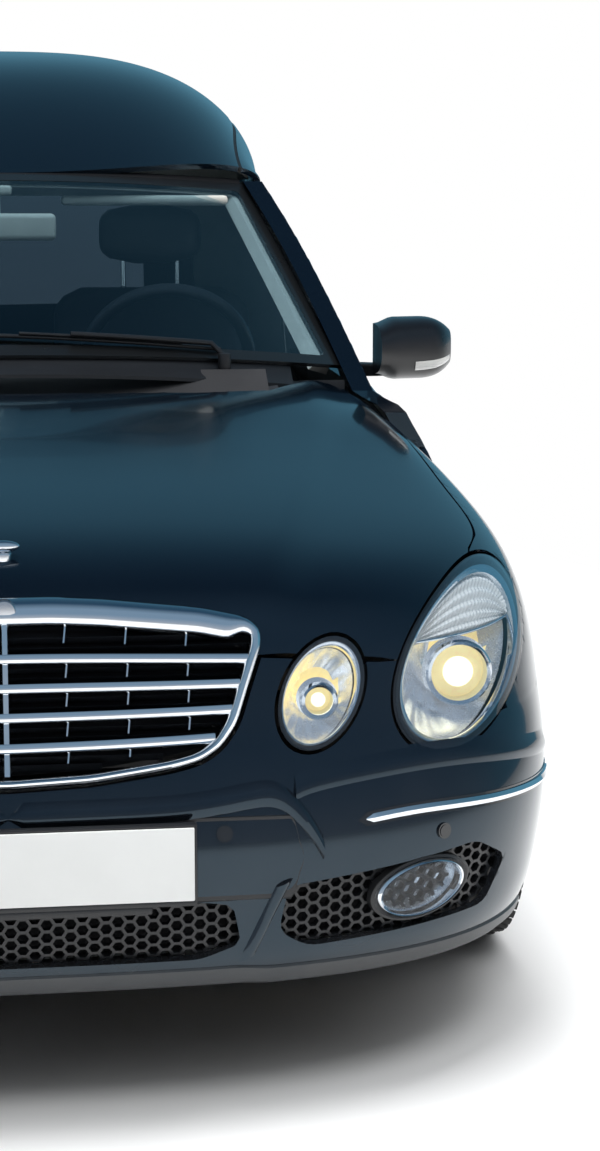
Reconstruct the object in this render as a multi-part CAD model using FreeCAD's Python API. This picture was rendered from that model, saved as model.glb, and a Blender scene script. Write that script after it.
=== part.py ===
"""Hearse on a long saloon platform, with a raised roof over the load space.

Every size is in millimetres. Inside this file a place is given as x (sideways, towards the driver's
side), s (distance behind the nose of the bumper) and z (height above the ground). at(x, s, z) turns
such a place into the part's own frame: origin on the ground at the middle of the car's length and
width, nose towards -Y and +Z up.
"""
import FreeCAD as App
import Part

import math
import os

# ---------------------------------------------------------------- driving dimensions
LENGTH = 5650.0             # bumper to bumper
WHEELBASE = 3550.0
FRONT_AXLE_S = 850.0        # front axle behind the nose
TRACK = 1560.0
TYRE_RADIUS = 326.0
TYRE_WIDTH = 225.0
RIM_RADIUS = 203.0          # tyre bead seat
RIM_WIDTH = 190.0
RIM_FACE_OFFSET = 38.0      # mounting face outboard of the wheel's middle plane
ARCH_RADIUS = 354.0         # wheel arch edge
LINER_RADIUS = 376.0        # wheelhouse lining, inside
LINER_WALL = 6.0
STUB_RADIUS = 28.0          # stub axle that carries a wheel
BEARING_CLEARANCE = 0.1
DISC_RADIUS = 150.0
DISC_THICK = 26.0

SILL_HEIGHT = 205.0         # lowest edge of the body sides
BELT_HEIGHT = 925.0         # where the side glass starts
RAIL_HEIGHT = 1385.0        # top of the side frames, where the raised roof starts
FLOOR_HEIGHT = 215.0        # underside of the floor
FLOOR_THICK = 28.0
DECK_HEIGHT = 600.0         # underside of the load deck
DECK_THICK = 36.0

SIDE_THICK = 90.0           # body side and doors below the belt
FRAME_THICK = 45.0          # window frames, rails and roof
BONNET_THICK = 24.0
WING_THICK = 12.0
BUMPER_THICK = 14.0
GLASS_THICK = 6.0
GLASS_INSET = 10.0
PANEL_GAP = 6.0             # running gap round doors, bonnet and tailgate
SEAT_GAP = 0.3              # pieces that rest against each other but are not face to face
PIN_RADIUS = 6.0            # door, bonnet and tailgate hinge pins
EYE_RADIUS = 11.0

BUMPER_END_S = 505.0         # seam between bumper and wing
DOOR_FRONT_S = 1350.0
DOOR_REAR_S = 2510.0
DOOR_PIN_X = 872.0
DOOR_PIN_S = 1395.0
DOOR_EDGE_SLOPE = 0.27      # rear edge leans in, so that the door swings past its pillar
BONNET_PIN_S = 1490.0
BONNET_PIN_Z = 940.0
TAIL_PIN_S = 5449.0
TAIL_PIN_Z = 1640.0
KINGPIN_X = 715.0
KINGPIN_RADIUS = 12.0
TAIL_CORNER = 230.0         # depth of the rear corners
TAIL_FULLNESS = 3.2
TAIL_LAMP_SWELL = 10.0
TAIL_HALF_WIDTH = 640.0     # tailgate, behind the rear pillars
ROUNDING = 80.0             # softness of the edge between nose and bonnet
CREASE_STEP = 12.0
CREASE_WIDE = 80.0
PARTITION_S = 2800.0


class Curve:
    """Natural cubic spline through (place, value) rows, straight beyond its ends."""

    def __init__(self, rows):
        self.place = [row[0] for row in rows]
        self.value = [row[1] for row in rows]
        count = len(rows)
        upper = [0.0] * count
        right = [0.0] * count
        for i in range(1, count - 1):
            before = self.place[i] - self.place[i - 1]
            after = self.place[i + 1] - self.place[i]
            turn = 6 * ((self.value[i + 1] - self.value[i]) / after
                        - (self.value[i] - self.value[i - 1]) / before)
            pivot = 2 * (before + after) - before * upper[i - 1]
            upper[i] = after / pivot
            right[i] = (turn - before * right[i - 1]) / pivot
        self.bend = [0.0] * count
        for i in range(count - 2, 0, -1):
            self.bend[i] = right[i] - upper[i] * self.bend[i + 1]

    def __call__(self, q):
        place, value, bend = self.place, self.value, self.bend
        if q <= place[0]:
            step = place[1] - place[0]
            slope = (value[1] - value[0]) / step - step * (2 * bend[0] + bend[1]) / 6
            return value[0] + (q - place[0]) * slope
        if q >= place[-1]:
            step = place[-1] - place[-2]
            slope = (value[-1] - value[-2]) / step + step * (bend[-2] + 2 * bend[-1]) / 6
            return value[-1] + (q - place[-1]) * slope
        i = 0
        while q > place[i + 1]:
            i += 1
        step = place[i + 1] - place[i]
        a = (place[i + 1] - q) / step
        b = 1 - a
        return (a * value[i] + b * value[i + 1]
                + ((a ** 3 - a) * bend[i] + (b ** 3 - b) * bend[i + 1]) * step * step / 6)


# ---------------------------------------------------------------- body form
# height, nose setback, half width behind the corner, corner depth, corner fullness
NOSE = [(150, 105, 826, 640, 3.2), (215, 32, 858, 700, 3.2), (300, 12, 884, 735, 3.2),
        (400, 0, 897, 755, 3.2), (470, 16, 903, 780, 3.2), (540, 44, 906, 810, 3.15),
        (640, 72, 903, 845, 3.15), (740, 92, 889, 930, 3.0), (840, 125, 842, 1000, 2.9),
        (940, 170, 775, 1050, 2.8)]
SETBACK, HALF_WIDTH, CORNER_DEPTH, FULLNESS = [
    Curve([(row[0], row[column]) for row in NOSE]) for column in (1, 2, 3, 4)]
# s, height on the centre line, fall at x = 750, x of the crease
BONNET = [(60, 752, 40, 405), (200, 806, 45, 425), (400, 848, 46, 470), (700, 892, 44, 537),
          (1000, 938, 38, 597), (1200, 971, 32, 630), (1500, 1010, 26, 670)]
RIDGE, FALL, CREASE = [
    Curve([(row[0], row[column]) for row in BONNET]) for column in (1, 2, 3)]
# height, half width of the body sides
SIDE = Curve([(190, 850), (250, 872), (330, 893), (420, 903), (520, 908), (620, 907), (720, 896),
              (800, 872), (860, 842), (905, 816), (BELT_HEIGHT, 806)])
# s, half width at the belt and at the rail
BELT_LINE = Curve([(1342, 768), (1650, 786), (2000, 803), (2600, 814), (4500, 816), (5200, 802),
                   (5650, 770)])
RAIL_LINE = Curve([(1500, 560), (1950, 600), (2120, 606), (2500, 640), (2900, 684), (3500, 712),
                   (4300, 718), (5000, 706), (5500, 684)])
# s, height of the roof on the centre line
ROOF_LINE = Curve([(1985, 1397), (2120, 1470), (2300, 1560), (2500, 1640), (2900, 1724),
                   (3500, 1768), (4300, 1775), (5000, 1752), (5500, 1690)])
# height, rear face on the centre line
TAIL_LINE = Curve([(300, 5630), (500, 5612), (925, 5590), (1385, 5520), (1690, 5440)])


def at(x, s, z):
    """Point of the part's own frame."""
    return App.Vector(x, s - LENGTH / 2, z)


def smooth(t):
    """Soft step from 0 to 1."""
    t = min(1.0, max(0.0, t))
    return t * t * (3 - 2 * t)


def bonnet_height(x, s):
    """Height of the bonnet line."""
    x = abs(x)
    step = CREASE_STEP * smooth((x - CREASE(s)) / CREASE_WIDE + 0.5)
    return RIDGE(s) - FALL(s) * (x / 750) ** 2.4 - step


def outside(x, s, z):
    """How far a place lies outside the front of the body, negative inside."""
    width = HALF_WIDTH(z)
    depth = CORNER_DEPTH(z)
    ahead = SETBACK(z) + depth - s
    wall = abs(x) - width
    if ahead > 0:
        m = FULLNESS(z)
        wall = ((abs(x) / width) ** m + (ahead / depth) ** m) ** (1 / m) * width - width
    lid = z - bonnet_height(x, s)
    return 0.5 * (wall + lid + math.hypot(wall - lid, ROUNDING))


def surface_point(start, way, inset=0.0, level=None):
    """Where a ray from inside leaves the front of the body.

    The place is moved inwards by an inset: along the ray, or square to the body's line in the upright
    plane of level, a horizontal direction.
    """
    near, far = 0.0, 2400.0
    for _ in range(36):
        middle = (near + far) / 2
        if outside(*[start[k] + way[k] * middle for k in range(3)]) < 0:
            near = middle
        else:
            far = middle
    place = [start[k] + way[k] * near for k in range(3)]
    if level is None:
        return tuple(place[k] - way[k] * inset for k in range(3))
    along = outside(*[place[k] + level[k] for k in range(3)]) - outside(*[place[k] - level[k] for k in range(3)])
    up = outside(place[0], place[1], place[2] + 1) - outside(place[0], place[1], place[2] - 1)
    size = math.hypot(along, up)
    return (place[0] - inset * level[0] * along / size, place[1] - inset * level[1] * along / size,
            place[2] - inset * up / size)


def side_x(s, z):
    """Half width of the body sides, doors and window frames."""
    if z <= BELT_HEIGHT:
        return SIDE(z)
    t = (z - BELT_HEIGHT) / (RAIL_HEIGHT - BELT_HEIGHT)
    return BELT_LINE(s) + (RAIL_LINE(s) - BELT_LINE(s)) * t + 12 * 4 * t * (1 - t)


def tail_s(x, z):
    """Rear face of the body."""
    start = TAIL_LINE(z) - TAIL_CORNER
    width = side_x(start, min(z, RAIL_HEIGHT))
    q = min(1.0, abs(x) / width)
    return start + TAIL_CORNER * (1 - q ** TAIL_FULLNESS) ** (1 / TAIL_FULLNESS)


# ---------------------------------------------------------------- solids
def loft(sections):
    """Solid through closed sections, straight between them. A section is a list of points."""
    wires = [Part.makePolygon([at(*p) for p in section + section[:1]]) for section in sections]
    return Part.makeLoft(wires, True, True)


def extrude(points, way):
    """Prism of a closed outline."""
    return Part.Face(Part.makePolygon(points + points[:1])).extrude(way)


def prism_x(outline, x0, x1):
    """Prism along X of an outline of (s, z) pairs."""
    return extrude([at(x0, s, z) for s, z in outline], App.Vector(x1 - x0, 0, 0))


def prism_y(outline, s0, s1):
    """Prism along Y of an outline of (x, z) pairs."""
    return extrude([at(x, s0, z) for x, z in outline], App.Vector(0, s1 - s0, 0))


def prism_z(outline, z0, z1):
    """Prism along Z of an outline of (x, s) pairs."""
    return extrude([at(x, s, z0) for x, s in outline], App.Vector(0, 0, z1 - z0))


def box(x0, x1, s0, s1, z0, z1):
    """Block between two corners."""
    return Part.makeBox(x1 - x0, s1 - s0, z1 - z0, at(x0, s0, z0))


def rod(x, s, z, radius, length, way):
    """Round bar from a point."""
    return Part.makeCylinder(radius, length, at(x, s, z), App.Vector(*way))


def rod_to(start, end, radius):
    """Round bar between two places."""
    a, b = at(*start), at(*end)
    return Part.makeCylinder(radius, (b - a).Length, a, b - a)


def mirrored(shape):
    """The same shape on the other side of the car."""
    return shape.mirror(App.Vector(0, 0, 0), App.Vector(1, 0, 0))


def both(shape):
    """A shape and its mirror image, as two solids."""
    return [shape, mirrored(shape)]


def joined(first, *others):
    """One solid of several that touch."""
    return first.fuse(list(others)).removeSplitter() if others else first


def minus(shape, *others):
    """A shape with others cut from it."""
    return shape.cut(list(others))


def mirrored_outline(half):
    """Closed (x, z) outline from its half on the driver's side, listed from top to bottom."""
    return half + [(-x, z) for x, z in reversed(half) if x > 0]


def oval(cx, cz, half_x, half_z, lean, grow=0.0, count=28):
    """Leaning oval as (x, z) pairs. lean is where its top lies, as a share of half_x."""
    shift = math.asin(lean)
    turn = 2 * math.pi / count
    return [(cx + (half_x + grow) * math.cos(k * turn), cz + (half_z + grow) * math.sin(k * turn + shift))
            for k in range(count)]


def grown(outline, amount):
    """Closed outline moved outwards by an amount, corner by corner."""
    count = len(outline)
    area = sum(outline[i - 1][0] * outline[i][1] - outline[i][0] * outline[i - 1][1] for i in range(count))
    hand = 1 if area > 0 else -1
    result = []
    for i in range(count):
        normals = []
        for a, b in ((outline[i - 1], outline[i]), (outline[i], outline[(i + 1) % count])):
            run = math.hypot(b[0] - a[0], b[1] - a[1])
            normals.append((hand * (b[1] - a[1]) / run, -hand * (b[0] - a[0]) / run))
        (ax, ay), (bx, by) = normals
        share = 1 + ax * bx + ay * by
        result.append((outline[i][0] + amount * (ax + bx) / share, outline[i][1] + amount * (ay + by) / share))
    return result


NODES = {}


def body_sides():
    """The four lengths of the body sides."""
    return [NODES[name + side] for name in ("side_frame_", "quarter_") for side in ("left", "right")]


def write(name, *shapes):
    """Keep a node's solids, and write them to its STEP file."""
    solids = [solid for shape in shapes for solid in shape.Solids]
    shape = solids[0] if len(solids) == 1 else Part.makeCompound(solids)
    NODES[name] = shape
    shape.exportStep("parts/" + name + ".step")
    box_ = shape.BoundBox
    print("%-22s solids %2d  valid %s  volume %.4f m3  x %.0f..%.0f y %.0f..%.0f z %.0f..%.0f" % (
        name, len(solids), shape.isValid(), shape.Volume / 1e9,
        box_.XMin, box_.XMax, box_.YMin, box_.YMax, box_.ZMin, box_.ZMax))


# ---------------------------------------------------------------- front skins
NOSE_CENTRE_S = 900.0       # rays of the nose start here, on the centre line
NOSE_ANGLES = [0, 10, 20, 27, 34, 40, 46, 51, 56, 61, 66, 71]


def nose_block(heights, thick):
    """Curved wall of the nose between the first and last height."""
    sections = []
    for angle in [-a for a in reversed(NOSE_ANGLES[1:])] + NOSE_ANGLES:
        way = (math.sin(math.radians(angle)), -math.cos(math.radians(angle)), 0.0)
        outer = [surface_point((0.0, NOSE_CENTRE_S, z), way) for z in heights]
        inner = [surface_point((0.0, NOSE_CENTRE_S, z), way, thick) for z in heights]
        sections.append(outer + inner[::-1])
    return loft(sections)


GRILLE = mirrored_outline([(70, 757), (140, 753), (284, 738), (352, 723), (372, 704), (371, 682), (353, 636),
                           (331, 576), (306, 545), (276, 528), (234, 519), (120, 505), (0.0, 500)])
GRILLE_RIM = 24.0           # width of the bright surround
GRILLE_BARS = [(676, 9), (635, 3), (595, -2), (554, -6)]           # height at the middle, fall to the ends
LAMPS = [(459, 611, 66, 76, 0.3), (704, 634, 131, 122, 0.36)]      # centre x and z, half sizes, lean
LAMP_GAP = 8.0
# where bonnet and bumper meet, from the grille outwards
LIP_LINE = [(360, 668), (405, 668), (548, 652), (600, 640), (700, 640)]
SHUT_LINE = [(750, 470), (782, 573), (785, 780), (780, 1016), (775, 1186), (758, 1380), (734, 1530)]
BONNET_REAR = [(640, 1470), (585, 1390), (526, 1300), (384, 1242), (189, 1215), (0, 1210)]


# upright planes along the car in which the bonnet is laid out, and the rays drawn in each
BONNET_PLANES = [-800, -700, -620, -540, -470, -400, -300, -150, 0, 150, 300, 400, 470, 540, 620, 700, 800]
BONNET_CENTRE_S = 1050.0
BONNET_CENTRE_Z = 520.0
BONNET_ANGLES = [176, 168, 158, 150, 143, 136, 128, 118, 105, 90, 75, 62, 52, 44, 38]


def build_bonnet():
    """Bonnet with its hinge eyes, and the grille that it carries."""
    sections = []
    for x in BONNET_PLANES:
        outer, inner = [], []
        for angle in BONNET_ANGLES:
            way = (0.0, math.cos(math.radians(angle)), math.sin(math.radians(angle)))
            start = (float(x), BONNET_CENTRE_S, BONNET_CENTRE_Z)
            outer.append(surface_point(start, way))
            inner.append(surface_point(start, way, BONNET_THICK, (0.0, 1.0, 0.0)))
        sections.append(outer + inner[::-1])
    skin = loft(sections)
    plan = SHUT_LINE + BONNET_REAR
    plan = [(0, -60), (560, -60), (750, 300)] + plan
    plan = plan[:-1] + [(0, 1210)] + [(-x, s) for x, s in reversed(plan[1:-1])]
    front = [(x, z + PANEL_GAP / 2) for x, z in LIP_LINE] + [(900, 640), (900, 1100)]
    front = [(0, 700), (340, 700)] + front
    front = front + [(-x, z) for x, z in reversed(front[1:])]
    skin = skin.common(prism_z(plan, 400, 1100)).common(prism_y(front, -100, 1700))
    cuts = [prism_y(GRILLE, -100, 400)]
    for cx, cz, half_x, half_z, lean in LAMPS:
        for hand in (1, -1):
            outline = [(hand * x, z) for x, z in oval(cx, cz, half_x, half_z, lean, LAMP_GAP)]
            cuts.append(prism_y(outline, -100, 700))
    skin = minus(skin, *cuts)
    skin = max(skin.Solids, key=lambda solid: solid.Volume)
    eyes = []
    for hand in (1, -1):
        x = hand * 640 - 15
        eye = rod(x, BONNET_PIN_S, BONNET_PIN_Z, EYE_RADIUS, 30, (1, 0, 0))
        arm = prism_x([(BONNET_PIN_S - 10, BONNET_PIN_Z - 8), (BONNET_PIN_S + 8, BONNET_PIN_Z),
                       (BONNET_PIN_S - 30, 1000), (BONNET_PIN_S - 90, 1000)], x, x + 30)
        arm = arm.common(nose_lid())
        hole = rod(x - 5, BONNET_PIN_S, BONNET_PIN_Z, PIN_RADIUS + BEARING_CLEARANCE, 40, (1, 0, 0))
        eyes.append(minus(joined(eye, arm), hole))
    write("bonnet", joined(skin, *eyes))


def nose_lid():
    """Everything under the middle of the bonnet's thickness, near its hinges."""
    sections = []
    for x in (-800, -640, -500, 500, 640, 800):
        top = [(float(x), s, bonnet_height(x, s) - BONNET_THICK / 2 - 8) for s in (1300.0, 1400.0, 1500.0, 1560.0)]
        sections.append(top + [(float(x), 1560.0, 700.0), (float(x), 1300.0, 700.0)])
    return loft(sections)


def bonnet_room():
    """Space that the bonnet and its running gap take, with the air above it."""
    sections = []
    for x in BONNET_PLANES:
        low = []
        for angle in BONNET_ANGLES:
            way = (0.0, math.cos(math.radians(angle)), math.sin(math.radians(angle)))
            low.append(surface_point((float(x), BONNET_CENTRE_S, BONNET_CENTRE_Z), way, BONNET_THICK + PANEL_GAP + 2,
                                     (0.0, 1.0, 0.0)))
        end = low[-1]
        sections.append(low + [(end[0], end[1], 1300.0), (end[0], -100.0, 1300.0), (end[0], -100.0, low[0][2])])
    half = [(0.0, 0.0), (788.0, 0.0)] + [(x + PANEL_GAP, s) for x, s in SHUT_LINE[1:]]
    half += [(734 + PANEL_GAP, 1540), (632, 1484)] + [(x, s + PANEL_GAP + 2) for x, s in BONNET_REAR[1:]]
    outline = half + [(-x, s) for x, s in reversed(half[1:-1])]
    return loft(sections).common(prism_z(outline, 645, 1280))


def build_grille():
    """Bright surround, four cross bars, a centre divider and thin uprights, on a dark back."""
    heights = [490, 520, 560, 600, 640, 680, 720, 765]
    deep = nose_block(heights, 60.0)
    thin = nose_block(heights, 22.0)
    inner = grown(GRILLE, -GRILLE_RIM)
    ring = deep.common(prism_y(GRILLE, -100, 400)).cut(prism_y(inner, -100, 400))
    pieces = []
    for z_mid, drop in GRILLE_BARS:
        bar = [(0, z_mid + 6), (400, z_mid + 6 - drop), (400, z_mid - 6 - drop), (0, z_mid - 6),
               (-400, z_mid - 6 - drop), (-400, z_mid + 6 - drop)]
        pieces.append(thin.common(prism_y(bar, -100, 400)).common(prism_y(inner, -100, 400)))
    uprights = [(-264, 5), (-176, 5), (-88, 5), (0, 14), (88, 5), (176, 5), (264, 5)]
    for x, wide in uprights:
        post = box(x - wide / 2, x + wide / 2, -20, 400, 480, 760)
        pieces.append(thin.common(post).common(prism_y(inner, -100, 400)))
    back = deep.cut(nose_block(heights, 52.0)).common(prism_y(inner, -100, 400))
    write("radiator_grille", joined(ring, back, *pieces))


def build_bumper():
    """Front bumper skin with its lower openings, shelf, fog lamps and mesh."""
    heights = [195, 240, 300, 360, 420, 470, 520, 570, 620, 670]
    skin = nose_block(heights, BUMPER_THICK)
    shelf_line = [(360, 668 - PANEL_GAP), (405, 668 - PANEL_GAP), (548, 652 - PANEL_GAP), (700, 640), (760, 545),
                  (1000, 545)]
    top = [(x, z) for x, z in shelf_line] + [(1000, 900)]
    top = [(0, 668)] + top
    keep_out = top + [(-x, z) for x, z in reversed(top)]
    cuts = [prism_y(keep_out, -100, 1000), prism_y(grown(GRILLE, PANEL_GAP), -100, 400)]
    for cx, cz, half_x, half_z, lean in LAMPS:
        for hand in (1, -1):
            outline = [(hand * x, z) for x, z in oval(cx, cz, half_x, half_z, lean, LAMP_GAP)]
            cuts.append(prism_y(outline, -100, 700))
    arch = rod(-1000, FRONT_AXLE_S, TYRE_RADIUS, ARCH_RADIUS, 2000, (1, 0, 0))
    cuts.append(arch)
    cuts.append(box(-1000, 1000, BUMPER_END_S, 1500, 0, 1000))
    cuts.append(prism_y(CENTRE_INTAKE, -100, 500))
    for hand in (1, -1):
        cuts.append(prism_y([(hand * x, z) for x, z in SIDE_INTAKE], -100, 700))
    skin = minus(skin, *cuts)
    write("front_bumper", *[solid for solid in skin.Solids if solid.Volume > 1e5])
    mesh = nose_block([195, 240, 300, 360, 420], 28.0).cut(nose_block([190, 240, 300, 360, 425], 10.0))
    mesh = minus(mesh, skin)
    panels = [mesh.common(prism_y(grown(CENTRE_INTAKE, MESH_LAP), -100, 500))]
    for hand in (1, -1):
        outline = grown([(hand * x, z) for x, z in SIDE_INTAKE], MESH_LAP)
        panels.append(mesh.common(prism_y(outline, -100, 700)))
    write("lower_grille", *[max(panel.Solids, key=lambda solid: solid.Volume) for panel in panels])


MESH_LAP = 12.0             # how far the mesh panels reach behind the bumper skin
CENTRE_INTAKE = mirrored_outline([(262, 330), (318, 322), (330, 262), (270, 240)])
SIDE_INTAKE = [(400, 345), (700, 372), (760, 330), (720, 262), (430, 248), (385, 275)]
FOG = (606, 316, 70, 42, 0.15)


def build_lamps():
    """Headlamp pods behind four leaning ovals, and the two fog lamps."""
    heights = [490, 530, 570, 610, 650, 690, 730, 765]
    block = nose_block(heights, 95.0)
    pods = []
    for cx, cz, half_x, half_z, lean in LAMPS:
        pod = block.common(prism_y(oval(cx, cz, half_x, half_z, lean), -100, 800))
        pods += both(pod)
    write("headlamps", *pods)
    low = nose_block([250, 290, 330, 370], 70.0)
    pod = low.common(prism_y(oval(*FOG), -100, 700))
    pod = pod.cut(NODES["lower_grille"])
    write("fog_lamps", *both(max(pod.Solids, key=lambda solid: solid.Volume)))


def build_fenders():
    """Front wings from the headlamps back to the doors."""
    angles = [-44, -32, -18, -4, 10, 22, 32, 40, 48, 56, 64]
    sections = []
    for s in (270, 350, 440, 540, 660, 800, 960, 1120, 1240, DOOR_FRONT_S - PANEL_GAP):
        outer, inner = [], []
        for angle in angles:
            way = (math.cos(math.radians(angle)), 0.0, math.sin(math.radians(angle)))
            start = (500.0, float(s), 560.0)
            outer.append(surface_point(start, way))
            inner.append(surface_point(start, way, WING_THICK, (1.0, 0.0, 0.0)))
        sections.append(outer + inner[::-1])
    wing = loft(sections)
    plan = [(x + PANEL_GAP, s) for x, s in SHUT_LINE]
    plan = [(0, 0), (750, 0)] + [(754, 470)] + plan[1:] + [(0, 1600)]
    cuts = [prism_z(plan, 640, 1200)]
    cuts.append(box(0, 1000, 0, BUMPER_END_S + SEAT_GAP, 0, 545 + SEAT_GAP))
    cuts.append(box(0, 760, 0, 520, 0, 700))
    for cx, cz, half_x, half_z, lean in LAMPS:
        cuts.append(prism_y(oval(cx, cz, half_x, half_z, lean, LAMP_GAP), -100, 700))
    cuts.append(rod(0, FRONT_AXLE_S, TYRE_RADIUS, ARCH_RADIUS, 1200, (1, 0, 0)))
    cuts.append(rod(DOOR_PIN_X, DOOR_PIN_S, 0, 61, 1100, (0, 0, 1)))
    wing = minus(wing, *cuts)
    wing = max(wing.Solids, key=lambda solid: solid.Volume)
    write("fenders", *both(wing))


# ---------------------------------------------------------------- sides, doors and roof
SIDE_HEIGHTS = [SILL_HEIGHT, 300, 430, 600, 760, 850, 905, BELT_HEIGHT, BELT_HEIGHT + 20, 1080, 1240, RAIL_HEIGHT]
SIDE_STATIONS = [DOOR_FRONT_S, 1700, 2100, 2500, 2900, 3500, 4200, 4800]
WINDSCREEN_EDGE = [(1600, 992), (2090, 1378)]    # side view of the glass corner, bottom and top
DOOR_OUTLINE = [(1400, 262), (1352, 350), (DOOR_FRONT_S, 480), (DOOR_FRONT_S, 820), (1372, 872), (1440, 905),
                (1585, 950), (1668, 992), (2165, 1358), (2215, 1372), (2440, 1372), (2478, 1350),
                (2500, 1150), (DOOR_REAR_S, 925), (DOOR_REAR_S, 420), (2492, 320), (2440, 262)]
SIDE_JOINT_S = 2566.0        # joint between door frame and rear quarter, behind the door
ROOF_JOINT_S = 3700.0        # joint between the two lengths of the roof
DOOR_REAR_EDGE = (2478, 2600)                    # points of the outline between these lean in
DOOR_WINDOW = [(1700, 962), (2170, 1310), (2215, 1328), (2410, 1328), (2432, 1300), (2452, 962)]
REAR_WINDOWS = [[(2620, 962), (2620, 1320), (2640, 1338), (4010, 1338), (4030, 1320), (4030, 962)],
                [(4110, 962), (4110, 1320), (4130, 1338), (5180, 1330), (5240, 1290), (5290, 962)]]


def thickness(z):
    """Depth of the body side at a height: thick doors below the belt, thin frames above."""
    return SIDE_THICK + (FRAME_THICK - SIDE_THICK) * smooth((z - 780) / 90)


def side_wall(stations, inset=0.0, thick=None):
    """Curved wall of one body side through stations along the car."""
    sections = []
    for s in stations:
        outer = [(side_x(s, z) - inset, s, z) for z in SIDE_HEIGHTS]
        inner = [(side_x(s, z) - inset - (thick or thickness(z)), s, z) for z in SIDE_HEIGHTS]
        sections.append(outer + inner[::-1])
    return sections


def tail_corner(z, turn):
    """Place and outward direction on the rear corner at a height, by the angle turned from the side."""
    start = TAIL_LINE(z) - TAIL_CORNER
    width = side_x(start, z)
    fx = math.cos(math.radians(turn)) ** (2 / TAIL_FULLNESS)
    fs = math.sin(math.radians(turn)) ** (2 / TAIL_FULLNESS)
    nx = fx ** (TAIL_FULLNESS - 1) / width
    ns = fs ** (TAIL_FULLNESS - 1) / TAIL_CORNER
    size = math.hypot(nx, ns)
    return width * fx, start + TAIL_CORNER * fs, nx / size, ns / size


def tail_sections():
    """Stations of the body side that turn the rear corner, up to the tailgate's edge."""
    sections = []
    for turn in (0, 14, 26, 38):
        corner = [tail_corner(z, turn) for z in SIDE_HEIGHTS]
        outer = [(x, s, z) for (x, s, _, _), z in zip(corner, SIDE_HEIGHTS)]
        inner = [(x - nx * thickness(z), s - ns * thickness(z), z) for (x, s, nx, ns), z in zip(corner, SIDE_HEIGHTS)]
        sections.append(outer + inner[::-1])
    edge_outer, edge_inner = [], []
    for z in SIDE_HEIGHTS:
        s = tail_s(TAIL_HALF_WIDTH, z)
        edge_outer.append((TAIL_HALF_WIDTH, s, z))
        edge_inner.append((TAIL_HALF_WIDTH, s - thickness(z), z))
    sections.append(edge_outer + edge_inner[::-1])
    return sections


def leaning_cutter(outline, grow):
    """Door-shaped cutter whose rear face leans in, so that the door can swing out."""
    inner_x, outer_x = 500.0, 1000.0
    inner, outer = [], []
    for s, z in (grown(outline, grow) if grow else outline):
        slope = DOOR_EDGE_SLOPE if s > DOOR_REAR_EDGE[0] - 2 and z > 300 else 0.0
        skin = side_x(s, z)
        inner.append((inner_x, s - slope * (skin - inner_x), z))
        outer.append((outer_x, s + slope * (outer_x - skin), z))
    return loft([inner, outer])


HINGE_HEIGHTS = [(380, 440), (650, 710)]


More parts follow.
